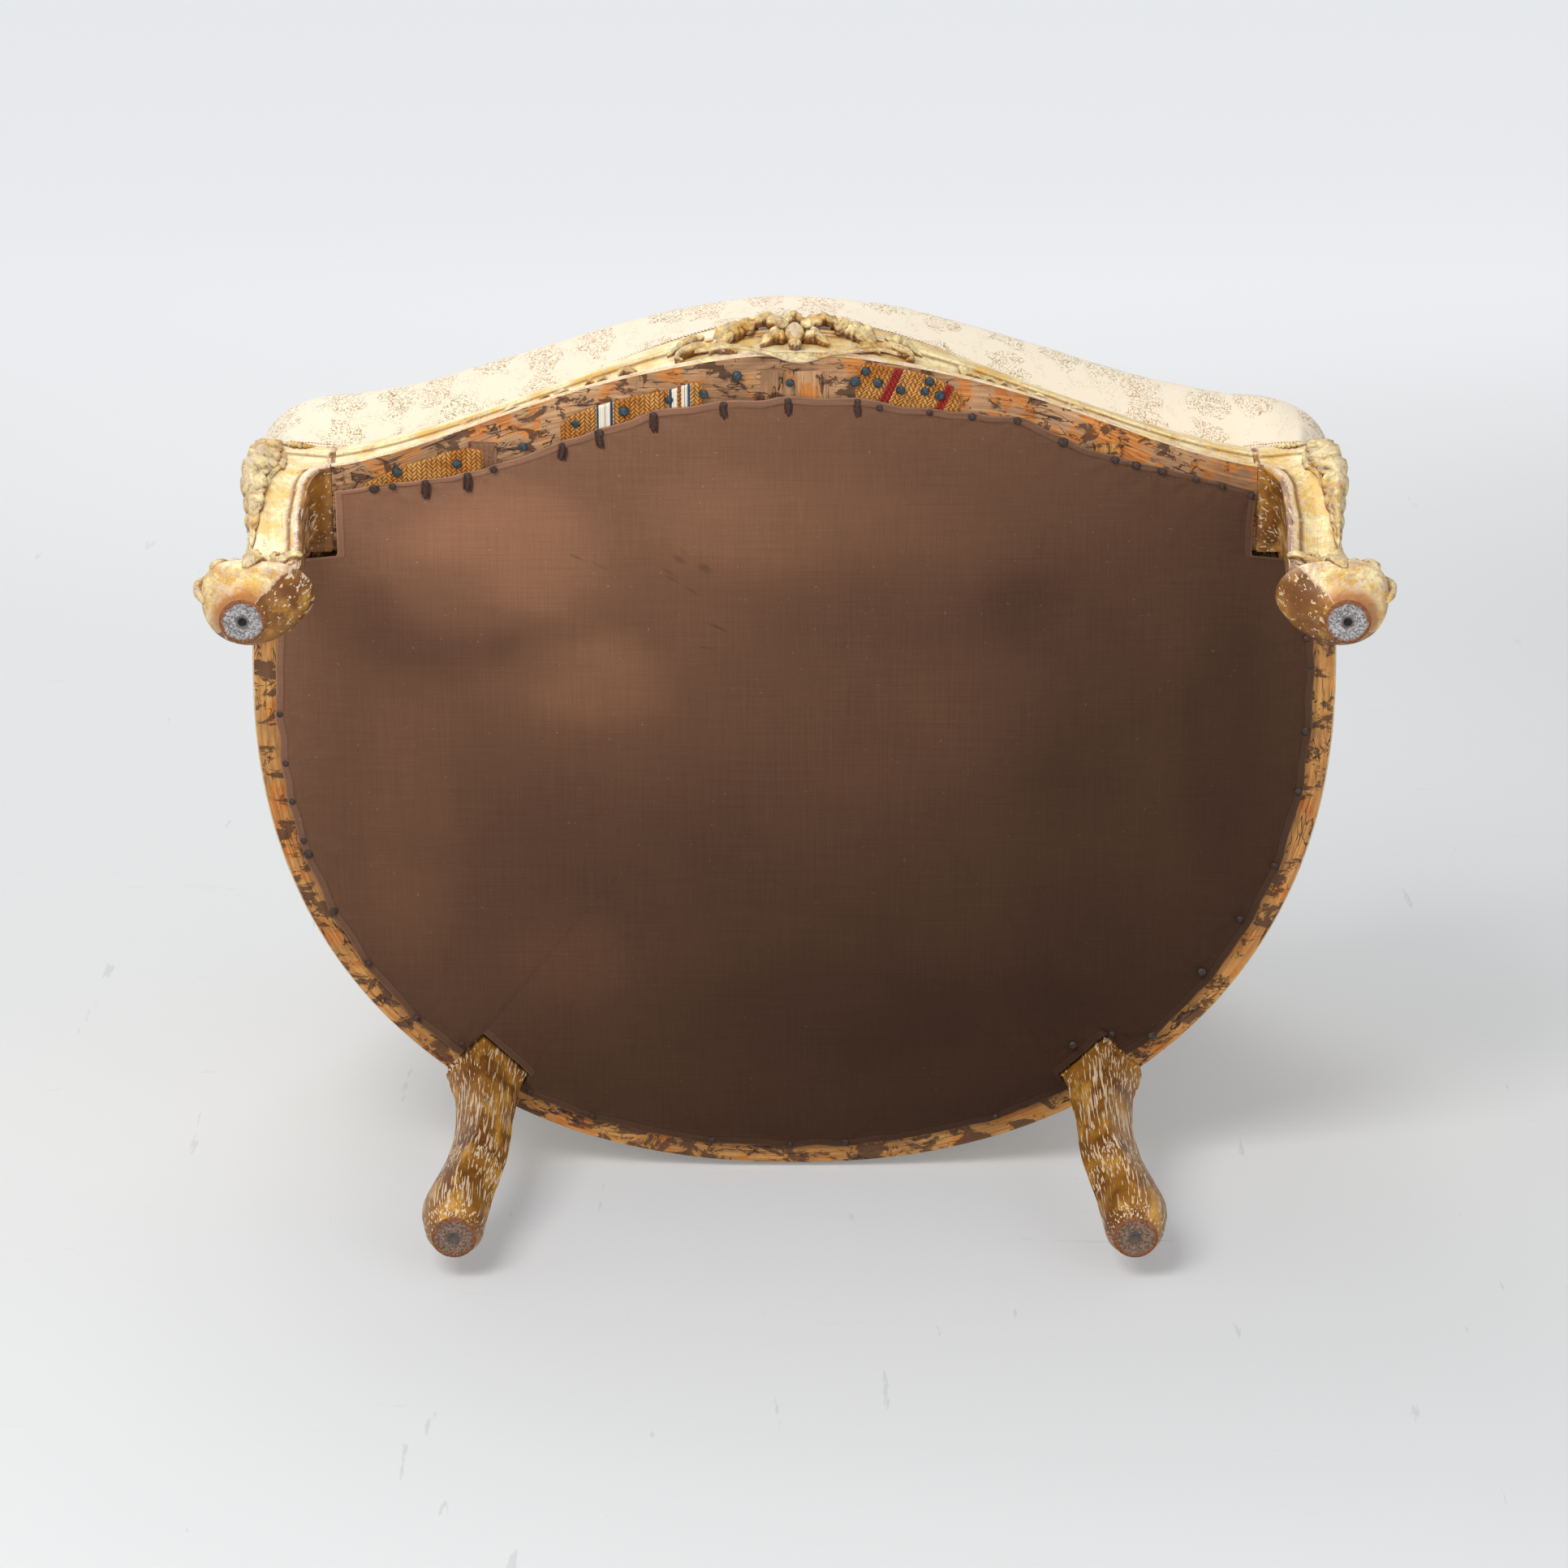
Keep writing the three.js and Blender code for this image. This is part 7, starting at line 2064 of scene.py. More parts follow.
@dataclass
class Fastenings:
    """Tacks of the dust cover with their pleats, and the nails of the webbing."""

    front_tacks: tuple = (
        (-0.286, -0.150), (-0.282, -0.149), (-0.271, -0.151), (-0.249, -0.154), (-0.221, -0.159), (-0.204, -0.164),
        (-0.159, -0.183), (-0.132, -0.190), (-0.096, -0.204), (-0.048, -0.210), (-0.004, -0.211), (0.042, -0.210),
        (0.056, -0.204), (0.090, -0.202), (0.121, -0.203), (0.149, -0.197), (0.178, -0.180), (0.216, -0.170),
        (0.227, -0.164), (0.248, -0.162), (0.271, -0.156), (0.295, -0.154), (0.306, -0.143),
    )
    edge_tacks: tuple = (
        (-0.352, 0.017), (-0.345, 0.053), (-0.348, 0.083), (-0.344, 0.114), (-0.338, 0.123), (-0.325, 0.169),
        (-0.301, 0.209), (-0.263, 0.247), (-0.230, 0.264), (-0.191, 0.314), (-0.146, 0.335), (-0.059, 0.351),
        (-0.003, 0.343), (0.036, 0.343), (0.145, 0.332), (0.193, 0.265), (0.220, 0.256), (0.248, 0.259),
        (0.281, 0.209), (0.306, 0.169), (0.328, 0.129), (0.345, 0.074), (0.346, 0.029), (0.348, -0.018),
        (0.344, -0.039),
    )
    nails: tuple = (
        (-0.264, -0.158), (-0.224, -0.164), (-0.180, -0.176), (-0.145, -0.192), (-0.113, -0.201), (-0.083, -0.209),
        (-0.060, -0.213), (-0.038, -0.226), (-0.003, -0.221), (0.040, -0.222), (0.047, -0.229), (0.055, -0.221),
        (0.070, -0.216), (0.086, -0.215), (0.096, -0.212), (0.089, -0.222), (0.248, 0.259),
    )
    pleated: tuple = (3, 4, 6, 7, 8, 9, 10, 11)

    def tacks(self) -> Array:
        """All tacks of the cover, drawn in to just inside its edge."""
        points = np.array(self.front_tacks + self.edge_tacks)
        inside = points.copy()
        edge = DUST_COVER.outline()
        middle = np.array(DUST_COVER.middle)
        for i, point in enumerate(points):
            way = point - middle
            way /= np.linalg.norm(way)
            reach = ray_to(np.vstack([edge, edge[:1]]), middle[None], way[None])[0]
            inside[i] = middle + way * min(np.linalg.norm(point - middle), reach - 0.003)
        return inside

    def build(self) -> None:
        """Makes the tacks, the pleats under the front ones, and the nails."""
        down, side = (0, 0, -1), (1, 0, 0)
        plan = self.tacks()
        chance = np.random.default_rng(SEED)
        points = np.column_stack([plan, DUST_COVER.height(plan) - DUST_COVER.thickness - 0.0009])
        size = chance.uniform(0.75, 1.15, len(points))
        tilt = np.column_stack([chance.normal(0, 0.12, (len(points), 2)), -np.ones(len(points))])
        settle(Heads("cover_tacks", (0.0027, 0.0027, 0.0011)).place(points, tilt, side, TACK, size), "spring_steel")
        pleats = points[list(self.pleated)] + [0, 0.0050, 0.0]
        lean = np.column_stack([chance.normal(0, 0.12, len(pleats)), np.ones(len(pleats)), np.zeros(len(pleats))])
        settle(Heads("cover_pleats", (0.0068, 0.0020, 0.0016)).place(pleats, down, lean, PLEAT), "brown_cambric")
        sides = np.concatenate([pleats + [0.0023, 0.0016, 0.0004], pleats + [-0.0022, -0.0010, 0.0005]])
        settle(Heads("cover_puckers", (0.0058, 0.0009, 0.0009)).place(sides, down, np.tile(lean, (2, 1)), PLEAT),
               "brown_cambric")
        nails = np.array(self.nails)
        heights = np.full(len(nails), PLAN.underside - 0.0030)
        points = np.column_stack([nails, heights])
        tilt = np.column_stack([chance.normal(0, 0.15, (len(points), 2)), -np.ones(len(points))])
        settle(Heads("webbing_nails", (0.0033, 0.0033, 0.0014)).place(points, tilt, side, WEBBING_NAIL), "spring_steel")


# ---------------------------------------------------------------- carving


@dataclass(frozen=True)
class RailCarving:
    """The cartouche in the middle of the front rail, and the sprays and husks beside it."""

    # The right half of the cartouche; it is mirrored with small differences
    cartouche: tuple = (
        Leaf(((0, 0.004, 0.043, 0.003), (0.5, 0.020, 0.052, 0.006), (1, 0.034, 0.044, 0.003)), 0.017, 0.0050, 5),
        Leaf(((0, 0.005, 0.033, 0.002), (0.5, 0.013, 0.033, 0.005), (1, 0.023, 0.026, 0.002)), 0.013, 0.0050, 3),
        Leaf(((0, 0.024, 0.050, 0.002), (0.3, 0.031, 0.052, 0.005), (0.6, 0.034, 0.045, 0.006),
              (0.85, 0.029, 0.041, 0.005), (1, 0.026, 0.045, 0.003)), 0.0065, 0.0045, 0, rib=0.05),
        Leaf(((0, 0.032, 0.046, 0.002), (0.45, 0.043, 0.042, 0.0055), (1, 0.057, 0.024, 0.002)), 0.018, 0.0050, 4),
        Leaf(((0, 0.038, 0.020, 0.001), (0.5, 0.048, 0.026, 0.004), (1, 0.060, 0.032, 0.002)), 0.009, 0.0040, 3),
        Leaf(((0, 0.052, 0.030, 0.002), (0.35, 0.064, 0.032, 0.004), (0.7, 0.076, 0.026, 0.0045),
              (0.88, 0.078, 0.020, 0.004), (1, 0.074, 0.018, 0.002)), 0.0075, 0.0050, 0, rib=0.05),
        Leaf(((0, 0.060, 0.045, 0.001), (0.5, 0.072, 0.043, 0.003), (1, 0.085, 0.037, 0.001)), 0.008, 0.0035, 4),
    )
    middle: tuple = (
        Leaf(((0, -0.009, 0.048, 0.002), (0.5, 0.0, 0.053, 0.006), (1, 0.009, 0.048, 0.002)), 0.008, 0.0055, 5, 0.4),
        Leaf(((0, 0.0, 0.026, 0.004), (0.5, 0.0, 0.034, 0.0065), (1, 0.0, 0.043, 0.004)), 0.0135, 0.0050, 0,
             rib=-0.15, blunt=0.45),
        Leaf(((0, 0.0, 0.027, 0.003), (0.5, 0.0, 0.017, 0.005), (1, 0.0, 0.003, 0.002)), 0.009, 0.0045, 3),
    )
    # Palmettes of three to five fingers: place, height, reach of the fingers, which way they point
    sprays: tuple = (
        (-0.116, 0.018, 0.012, (-60, -25, 10, 45, 80)), (0.112, 0.020, 0.013, (-15, 20, 60, 95)),
        (-0.132, 0.013, 0.009, (15, 165)), (0.126, 0.014, 0.010, (-10, 170, 60)),
    )
    # Single husks: place, height, length, width
    husks: tuple = (
        (-0.155, 0.017, 0.012, 0.007), (-0.166, 0.013, 0.009, 0.005), (-0.189, 0.015, 0.015, 0.007),
        (0.151, 0.017, 0.010, 0.0085), (0.164, 0.016, 0.012, 0.0080), (0.190, 0.018, 0.015, 0.0090),
        (0.140, 0.014, 0.009, 0.005),
    )

    def fingers(self) -> list[Leaf]:
        """Fingers of the palmettes, and the husks."""
        leaves = []
        for x, up, reach, turns in self.sprays:
            for turn in turns:
                ahead = np.array([math.cos(math.radians(turn)), math.sin(math.radians(turn)) * 1.5]) * reach
                spine = ((0, x, up, 0.001), (0.5, x + 0.5 * ahead[0], up + 0.5 * ahead[1], 0.0035),
                         (1, x + ahead[0], up + ahead[1], 0.001))
                leaves.append(Leaf(spine, reach * 0.42, 0.0032, 0, rib=0.3, steps=22, across=11))
        for x, up, long, wide in self.husks:
            slope = -0.35 if x > 0 else 0.35
            spine = ((0, x - long / 2, up - slope * long / 2, 0.001), (0.5, x, up, 0.0032),
                     (1, x + long / 2, up + slope * long / 2, 0.001))
            leaves.append(Leaf(spine, wide, 0.0036, 0, rib=0.12, blunt=0.5, steps=24, across=11))
        return leaves

    def build(self) -> None:
        """Carves the rail."""
        def skin(x: Array, up: Array, out: Array) -> Array:
            """Points of the rail's face, or a distance in front of it."""
            return FRONT_RAIL.face(x, up / PLAN.rail_height, out)

        chance = np.random.default_rng(SEED)
        leaves = list(self.middle)
        for leaf in self.cartouche:
            leaves += [leaf, replace(leaf.turned_over(), width=leaf.width * chance.uniform(0.9, 1.1))]
        settle(carve("front_cartouche", leaves, skin), "gilt_wood")
        settle(carve("front_sprays", self.fingers(), skin), "gilt_wood")
        self.lip()

    def lip(self) -> None:
        """The gilt bead that dips to a point under the middle of the rail."""
        x = np.linspace(-0.066, 0.068, 150)
        rows = ((-0.066, -0.2405), (-0.042, -0.2440), (-0.020, -0.2400), (0.003, -0.2335), (0.026, -0.2392),
                (0.056, -0.2420), (0.068, -0.2385))
        rear = read_curve(rows, x)[:, 0]
        front = -FRONT_RAIL.reach(x) - 0.0006
        turn = np.linspace(0, 2 * math.pi, 18, endpoint=False)
        middle = (rear + np.minimum(front, rear - 0.003)) / 2
        half = (rear - np.minimum(front, rear - 0.003)) / 2
        fade = np.sqrt(np.clip(np.minimum(x - x[0], x[-1] - x) / 0.012, 0.02, 1))
        y = middle[:, None] + half[:, None] * np.sign(np.cos(turn)) * np.abs(np.cos(turn)) ** 0.6
        bead = 0.0014 * fade[:, None] * np.sign(np.sin(turn)) * np.abs(np.sin(turn)) ** 0.7
        z = PLAN.underside + 0.0002 + bead + FRONT_RAIL.arch(x)[:, None] * 0.5
        rings = np.stack([np.broadcast_to(x[:, None], y.shape), y, z], -1)
        relief = np.broadcast_to(0.65 + 0.3 * np.cos(turn), y.shape)
        piece = dress(Loft(rings, shade=Shade.SMOOTH, fields={"relief": relief}).piece("front_rail_lip"), CARVED_GILT)
        settle(piece, "gilt_wood")


@dataclass(frozen=True)
class LegCarving:
    """Acanthus down the outer corner of the front legs, the leaf cup, the collar and the toes."""

    girth: float = 0.095
    # Place round the leg from its outer corner, height up the leg
    leaves: tuple = (
        Leaf(((0, -0.003, 0.303, 0.0005), (0.25, 0.0, 0.272, 0.002), (0.6, 0.002, 0.205, 0.0015),
              (1, 0.001, 0.112, 0.0003)), 0.021, 0.0048, 9, 0.42, 0.4, 0.75, steps=150, across=23),
        Leaf(((0, -0.008, 0.262, 0.0), (0.5, -0.010, 0.220, 0.001), (1, -0.009, 0.170, 0.0)), 0.009, 0.0032, 7, 0.4,
             steps=80),
        Leaf(((0, 0.004, 0.298, 0.0), (0.5, 0.016, 0.293, 0.0), (1, 0.030, 0.297, -0.001)), 0.014, 0.0036, 8,
             0.6, 0.4, 0.8, steps=80),
        Leaf(((0, -0.010, 0.298, 0.0005), (0.5, -0.022, 0.284, 0.002), (1, -0.030, 0.262, 0.0005)), 0.012, 0.0035, 6,
             steps=70),
        Leaf(((0, 0.009, 0.276, 0.0003), (0.5, 0.012, 0.240, 0.001), (1, 0.010, 0.190, 0.0)), 0.006, 0.0024, 8, 0.5,
             steps=90),
        Leaf(((0, 0.006, 0.086, 0.001), (0.5, 0.003, 0.098, 0.003), (1, -0.002, 0.110, 0.0005)), 0.011, 0.0036, 4),
        Leaf(((0, 0.016, 0.086, 0.001), (0.5, 0.022, 0.096, 0.003), (1, 0.028, 0.104, 0.0005)), 0.010, 0.0036, 4),
        Leaf(((0, 0.027, 0.086, 0.001), (0.5, 0.032, 0.093, 0.002), (1, 0.038, 0.098, 0.0005)), 0.007, 0.0030, 3),
        Leaf(((0, -0.014, 0.086, 0.001), (0.5, -0.018, 0.098, 0.0025), (1, -0.020, 0.108, 0.0005)), 0.010, 0.0032, 3),
    )
    collar: tuple = (
        Leaf(((0, -0.046, 0.086, 0.001), (0.3, -0.020, 0.083, 0.003), (0.6, 0.010, 0.082, 0.003),
              (1, 0.047, 0.086, 0.001)), 0.009, 0.0052, 0, rib=0.02, blunt=0.25, steps=90),
        Leaf(((0, -0.040, 0.074, 0.0005), (0.4, -0.012, 0.070, 0.002), (0.7, 0.014, 0.069, 0.002),
              (1, 0.042, 0.075, 0.0005)), 0.005, 0.0030, 0, rib=0.02, blunt=0.3, steps=80),
    )
    toes: tuple = (
        Leaf(((0, 0.002, 0.078, -0.001), (0.35, 0.002, 0.066, 0.0), (0.75, 0.001, 0.048, 0.0),
              (1, 0.0, 0.030, -0.002)), 0.017, 0.0058, 0, rib=-0.1, blunt=0.5, steps=60, across=21),
        Leaf(((0, -0.014, 0.066, -0.002), (0.35, -0.017, 0.052, 0.0), (0.75, -0.018, 0.034, 0.0),
              (1, -0.018, 0.016, -0.002)), 0.015, 0.0068, 0, rib=-0.1, blunt=0.5, steps=60, across=21),
        Leaf(((0, 0.020, 0.064, 0.0), (0.5, 0.022, 0.045, 0.0012), (1, 0.020, 0.022, 0.0)), 0.011, 0.0030, 0,
             rib=0.05, blunt=0.4, steps=50),
    )

    def build(self) -> None:
        """Carves the right leg and mirrors it."""
        def skin(around: Array, z: Array, out: Array) -> Array:
            """Points of the leg's skin, counted round from its outer corner."""
            return FRONT_LEGS.skin(0.5 + around / self.girth, z, out)

        for name, leaves in (("leg_acanthus", self.leaves), ("leg_collar", self.collar), ("leg_toes", self.toes)):
            settle_pair(carve(name + "_right", leaves, skin), name, "gilt_wood")


@dataclass(frozen=True)
class FootEnds:
    """The worn round ends of the feet, each with the hole of an old castor."""

    hole: float = 0.0024
    depth: float = 0.0010
    rounding: float = 0.0012
    around: int = 72

    def disc(self, name: str, centre: Array, radius: float, finish: bpy.types.Material) -> bpy.types.Object:
        """One end, from the hole's floor out over the rim.

        Args:
            name: The end's name.
            centre: Plan place of its middle.
            radius: Radius up to the rounding.
            finish: Material of the worn end.

        Returns:
            The end.
        """
        face = -self.depth
        rows = [(self.hole * 0.1, face * 0.2, 0), (self.hole * 0.8, face * 0.2, 0), (self.hole, face * 0.7, 0.02),
                (self.hole * 1.35, face, 0.09)]
        rows += [(self.hole * 1.35 + (radius - self.hole * 1.35) * t, face, 0.12 + 0.84 * t)
                 for t in np.linspace(0.08, 1, 14)]
        rows += [(radius + self.rounding * 0.7, face * 0.2, 1), (radius + self.rounding, 0.0014, 1), (radius, 0.004, 1)]
        turn = np.linspace(0, 2 * math.pi, self.around, endpoint=False)
        ring = np.stack([np.cos(turn), np.sin(turn)], -1)
        ragged = 1 + 0.02 * wobble(ring, 0.7, 13)[:, None]
        rings = np.array([np.column_stack([centre + ring * ragged * r, np.full(self.around, z)])
                          for r, z, _ in rows])
        rim = np.repeat(np.array([share for _, _, share in rows])[:, None], self.around, 1)
        return dress(Loft(rings, shade=Shade.SMOOTH, fields={"rim": rim}).piece(name), finish)

    def build(self) -> None:
        """Makes the four ends."""
        foot = FRONT_LEGS.section(np.array([0.0]))
        places = {
            "front": (np.array([foot["x"][0], -foot["reach"][0]]), float(foot["half_x"][0]) - 0.0012),
            "rear": (REAR_LEGS.axis(0.0) + [REAR_LEGS.foot_spread, REAR_LEGS.foot_thrust], 0.0138),
        }
        for key, (centre, radius) in places.items():
            for side, name in ((1, "right"), (-1, "left")):
                finish, slot = (FOOT_END, "gilt_wood") if key == "front" else (REAR_FOOT_END, "aged_wood")
                settle(self.disc(f"{key}_foot_end_{name}", centre * [side, 1], radius, finish), slot)


# ---------------------------------------------------------------- upholstery


def ray_to(line: Array, start: Array, ray: Array) -> Array:
    """Distance along each ray to an open line of plan points."""
    a, b = line[:-1][None], line[1:][None]
    hop, gap = b - a, a - start[:, None]
    cross = ray[:, None, 0] * hop[..., 1] - ray[:, None, 1] * hop[..., 0]
    cross = np.where(np.abs(cross) < 1e-12, 1e-12, cross)
    far = (gap[..., 0] * hop[..., 1] - gap[..., 1] * hop[..., 0]) / cross
    share = (gap[..., 0] * ray[:, None, 1] - gap[..., 1] * ray[:, None, 0]) / cross
    hit = (share >= -1e-6) & (share <= 1 + 1e-6) & (far > -0.02)
    return np.where(hit, far, np.inf).min(1)


@dataclass
class EdgeRoll:
    """The stuffed border over the front of the seat, gathered round the front legs, with its gimp."""

    reach: float = 0.1625
    bow: float = 0.071
    bow_half_width: float = 0.3451
    corner_x: float = 0.300
    ear_x: float = 0.369
    ear_y: float = 0.104
    ear_back: float = -0.071
    width: float = 0.032
    fullness: float = 0.002
    deck_inset: float = 0.006
    stitch: float = 0.0024
    foot_height: float = 0.3062
    # Distance in from the front, height
    crown: tuple = (
        (0, 0.345), (-0.0006, 0.352), (0.001, 0.3605), (0.0045, 0.3668), (0.011, 0.3708), (0.019, 0.3712),
        (0.027, 0.3672), (0.0312, 0.3595), (0.032, 0.350), (0.032, 0.3345),
    )

    def half_path(self) -> Array:
        """The roll's front, from the middle to the right ear."""
        x = np.linspace(0, self.corner_x, 90)
        wave = (1 + np.cos(math.pi * x / self.bow_half_width)) / 2
        front = np.stack([x, -self.reach - (self.bow + self.fullness) * wave], -1)
        t = np.linspace(0, 1, 44)[1:, None]
        start, end = front[-1], np.array([self.ear_x, -self.ear_y])
        bend = np.array([self.ear_x, start[1]])
        corner = (1 - t) ** 2 * start + 2 * t * (1 - t) * bend + t**2 * end
        rear = np.stack([np.full(9, self.ear_x), np.linspace(-self.ear_y, self.ear_back, 10)[1:]], -1)
        return np.vstack([front, corner, rear])

    def path(self) -> tuple[Array, Array]:
        """The whole front from the left ear, and the direction inwards at each place."""
        half = self.half_path()
        line = np.vstack([half[:0:-1] * [-1, 1], half])
        ahead = np.gradient(line, axis=0)
        ahead /= np.linalg.norm(ahead, axis=1)[:, None]
        return line, np.stack([-ahead[:, 1], ahead[:, 0]], -1)

    def deck_line(self) -> Array:
        """Edge of the deck, behind the rail's upper edge and over the legs' blocks."""
        x = np.linspace(0, FRONT_RAIL.half_length - self.deck_inset, 60)
        rail = FRONT_RAIL.face(x, 1.0, -self.deck_inset)[:, :2]
        leg, _, outward = FRONT_LEGS.rings(np.array([PLAN.rail_top]))
        half_x, half_y = FRONT_LEGS.half_block
        middle = np.array([FRONT_RAIL.half_length + JOINT + half_x, -FRONT_LEGS.back - half_y])
        corner = leg[0, outward[0] > 0.5, :2][::-1]
        corner = middle + (corner - middle) * (1 - self.deck_inset / np.array([half_x, half_y]))
        corner = corner[(corner[:, 0] > rail[-1, 0]) & (corner[:, 1] < -FRONT_LEGS.back - 0.004)]
        side = np.array([[float(PLAN.edge(PLAN.turn_at_y(y))[0]) - 0.015, y] for y in (-FRONT_LEGS.back, -0.05)])
        half = np.vstack([rail, corner, side])
        return np.vstack([half[:0:-1] * [-1, 1], half])

    def build(self) -> None:
        """Makes the roll and the stitched gimp along its foot."""
        line, inwards = self.path()
        deck = ray_to(self.deck_line(), line, inwards)
        foot = deck - 0.0048
        t = np.linspace(0, 1, 26)
        sweep = foot[:, None] * (1 - t) ** 1.25
        rise = np.broadcast_to(self.foot_height + (self.crown[0][1] - self.foot_height) * t, sweep.shape)
        crown = np.array(self.crown)
        hops = travelled(crown)
        over = read_curve(np.column_stack([hops, crown]), np.linspace(0, hops[-1], 52))[1:]
        ear = smooth((np.abs(line[:, 0]) - 0.325) / 0.035)
        travel = travelled(line)
        gather = ear[:, None] * 0.0013 * np.abs(np.sin(travel * 260 + 0.6 * np.sin(travel * 90)))[:, None]
        inset = np.concatenate([sweep - gather * smooth(1.4 * (1 - t))[None] * smooth(t * 8)[None],
                                np.broadcast_to(over[:, 0], (len(line), len(over)))], 1)
        z = np.concatenate([rise, np.broadcast_to(over[:, 1], (len(line), len(over)))], 1)
        swell = wobble(np.stack([np.broadcast_to(travel[:, None], z.shape), z], -1), 0.07, 3) * 0.0009
        inset = inset - swell * np.sin(math.pi * np.linspace(0, 1, inset.shape[1]))[None]
        back = np.repeat(deck[:, None] - 0.001, 2, 1)
        inset = np.concatenate([inset, back], 1)
        z = np.concatenate([z, np.broadcast_to([0.3342, 0.3055], back.shape)], 1)
        place = line[:, None] + inwards[:, None] * inset[..., None]
        rings = np.concatenate([place, z[..., None]], -1)
        piece = dress(Loft(rings).piece("front_edge_roll_cloth"), SPRIGS)
        settle(piece, "floral_fabric", "front_edge_roll")
        self.gimp(line, inwards, foot, travel)

    def gimp(self, line: Array, inwards: Array, foot: Array, travel: Array) -> None:
        """Stitches along the roll's foot, two staggered rows."""
        at = np.arange(0, travel[-1], self.stitch)
        rows = []
        for lift, shift in ((0.0012, 0.0), (0.0034, 0.5)):
            when = at + shift * self.stitch
            point = np.stack([np.interp(when, travel, (line + inwards * (foot - 0.0006)[:, None])[:, i])
                              for i in (0, 1)], -1)
            rows.append(np.column_stack([point, np.full(len(when), self.foot_height + lift)]))
        points = np.vstack(rows)
        facing = np.stack([np.interp(np.tile(at, 2), travel, -inwards[:, i]) for i in (0, 1)], -1)
        facing = np.column_stack([facing, np.full(len(facing), -0.5)])
        along = np.column_stack([facing[:, 1], -facing[:, 0], np.full(len(facing), 0.15)])
        stitches = Heads("roll_gimp_stitches", (0.00085, 0.0004, 0.00045)).place(points, facing, along, THREAD)
        settle(stitches, "floral_fabric")


@dataclass
class Cushion:
    """The loose seat cushion behind the roll, with welts and a crown."""

    gap: float = 0.0015
    inset: float = 0.071
    pull_in: float = 0.003
    low: float = 0.3335
    low_welt: float = 0.340
    high_welt: float = 0.407
    welt: float = 0.005
    crown: float = 0.036
    boxing_draw: float = 0.015
    middle_y: float = -0.071

    def outline(self) -> Array:
        """Plan outline of the cushion."""
        line, inwards = EDGE_ROLL.path()
        middle = len(line) // 2
        front = (line + inwards * (EDGE_ROLL.width + self.gap))[middle:-9]
        front[0, 0] = 0
        back = EDGE_ROLL.ear_back
        ear = np.array([[front[-1, 0], back - 0.004], [front[-1, 0] - 0.004, back]])
        begin = float(PLAN.turn_at_y(back))
        turns = np.linspace(begin, math.pi / 2, 90)
        draw = np.sin(math.pi * np.clip((turns - begin) / (math.pi / 3 - begin), 0, 1)) ** 2
        sides = PLAN.place(turns, self.inset + self.pull_in * draw, 0)[:, :2]
        sides[0, 1] = back
        half = np.vstack([front, ear, sides])
        return np.vstack([half, (half * [-1, 1])[::-1][1:-1]])

    def build(self) -> None:
        """Makes the cushion and lets it swell."""
        ring = self.outline()
        middle = np.array([0, self.middle_y])
        rows = [(0.02, self.low), (0.35, self.low), (0.7, self.low), (0.93, self.low), (0.975, 0.3362)]
        rows += self.welt_rows(self.low_welt)
        for z in np.linspace(self.low_welt + self.welt, self.high_welt - self.welt, 12):
            up = (z - self.low_welt) / (self.high_welt - self.low_welt)
            rows.append((1 - self.boxing_draw * (1 - math.sin(math.pi * up)), z))
        rows += self.welt_rows(self.high_welt)
        crown = ((0.97, 0.12), (0.9, 0.38), (0.78, 0.62), (0.6, 0.82), (0.35, 0.96), (0.02, 1))
        share = np.linspace(0.975, 0.02, 26)
        up = read_curve(crown[::-1], share)[:, 0]
        rows += [(s, self.high_welt + self.welt / 2 + u * self.crown) for s, u in zip(share, up)]
        rings = np.array([np.column_stack([middle + (ring - middle) * s, np.full(len(ring), z)]) for s, z in rows])
        piece = dress(Loft(rings, shade=Shade.SMOOTH).piece("seat_cushion_cloth"), SPRIGS)
        self.lay_pattern(piece)
        points = read_points(piece.data)
        above = smooth((points[:, 2] - self.low_welt) / 0.02)
        behind = smooth((points[:, 1] - PLAN.middle_y + 0.17) / 0.05)
        inflate(piece, above * (0.25 + 0.75 * behind), voxel=0.009, cap=0.012)
        points = read_points(piece.data)
        points[:, 2] += wobble(points[:, :2], 0.12, 5) * 0.0022 * smooth((points[:, 2] - 0.412) / 0.02)
        write_points(piece.data, points)
        settle(piece, "floral_fabric", "seat_cushion", body="cushion")

    def welt_rows(self, z: float) -> list[tuple[float, float]]:
        """Rows over a corded welt."""
        turn = np.linspace(-math.pi / 2, math.pi / 2, 7)
        return [(0.992 + 0.012 * math.cos(t), z + self.welt / 2 * math.sin(t)) for t in turn]

    def lay_pattern(self, piece: bpy.types.Object) -> None:
        """Prints the top flat from above, and the boxing round the sides."""
        points = read_points(piece.data)
        depth = np.where(points[:, 2] > self.high_welt, 0, self.high_welt - points[:, 2])
        way = points[:, :2] - [0, PLAN.middle_y + self.middle_y]
        way /= np.maximum(np.linalg.norm(way, axis=1), 1e-6)[:, None]
        write_uv(piece.data, points[:, :2] + way * depth[:, None])


class Lay(Enum):
    """How the printed cloth lies on a padded panel."""

    FLAT = "from above"
    ROUND = "round the seat"


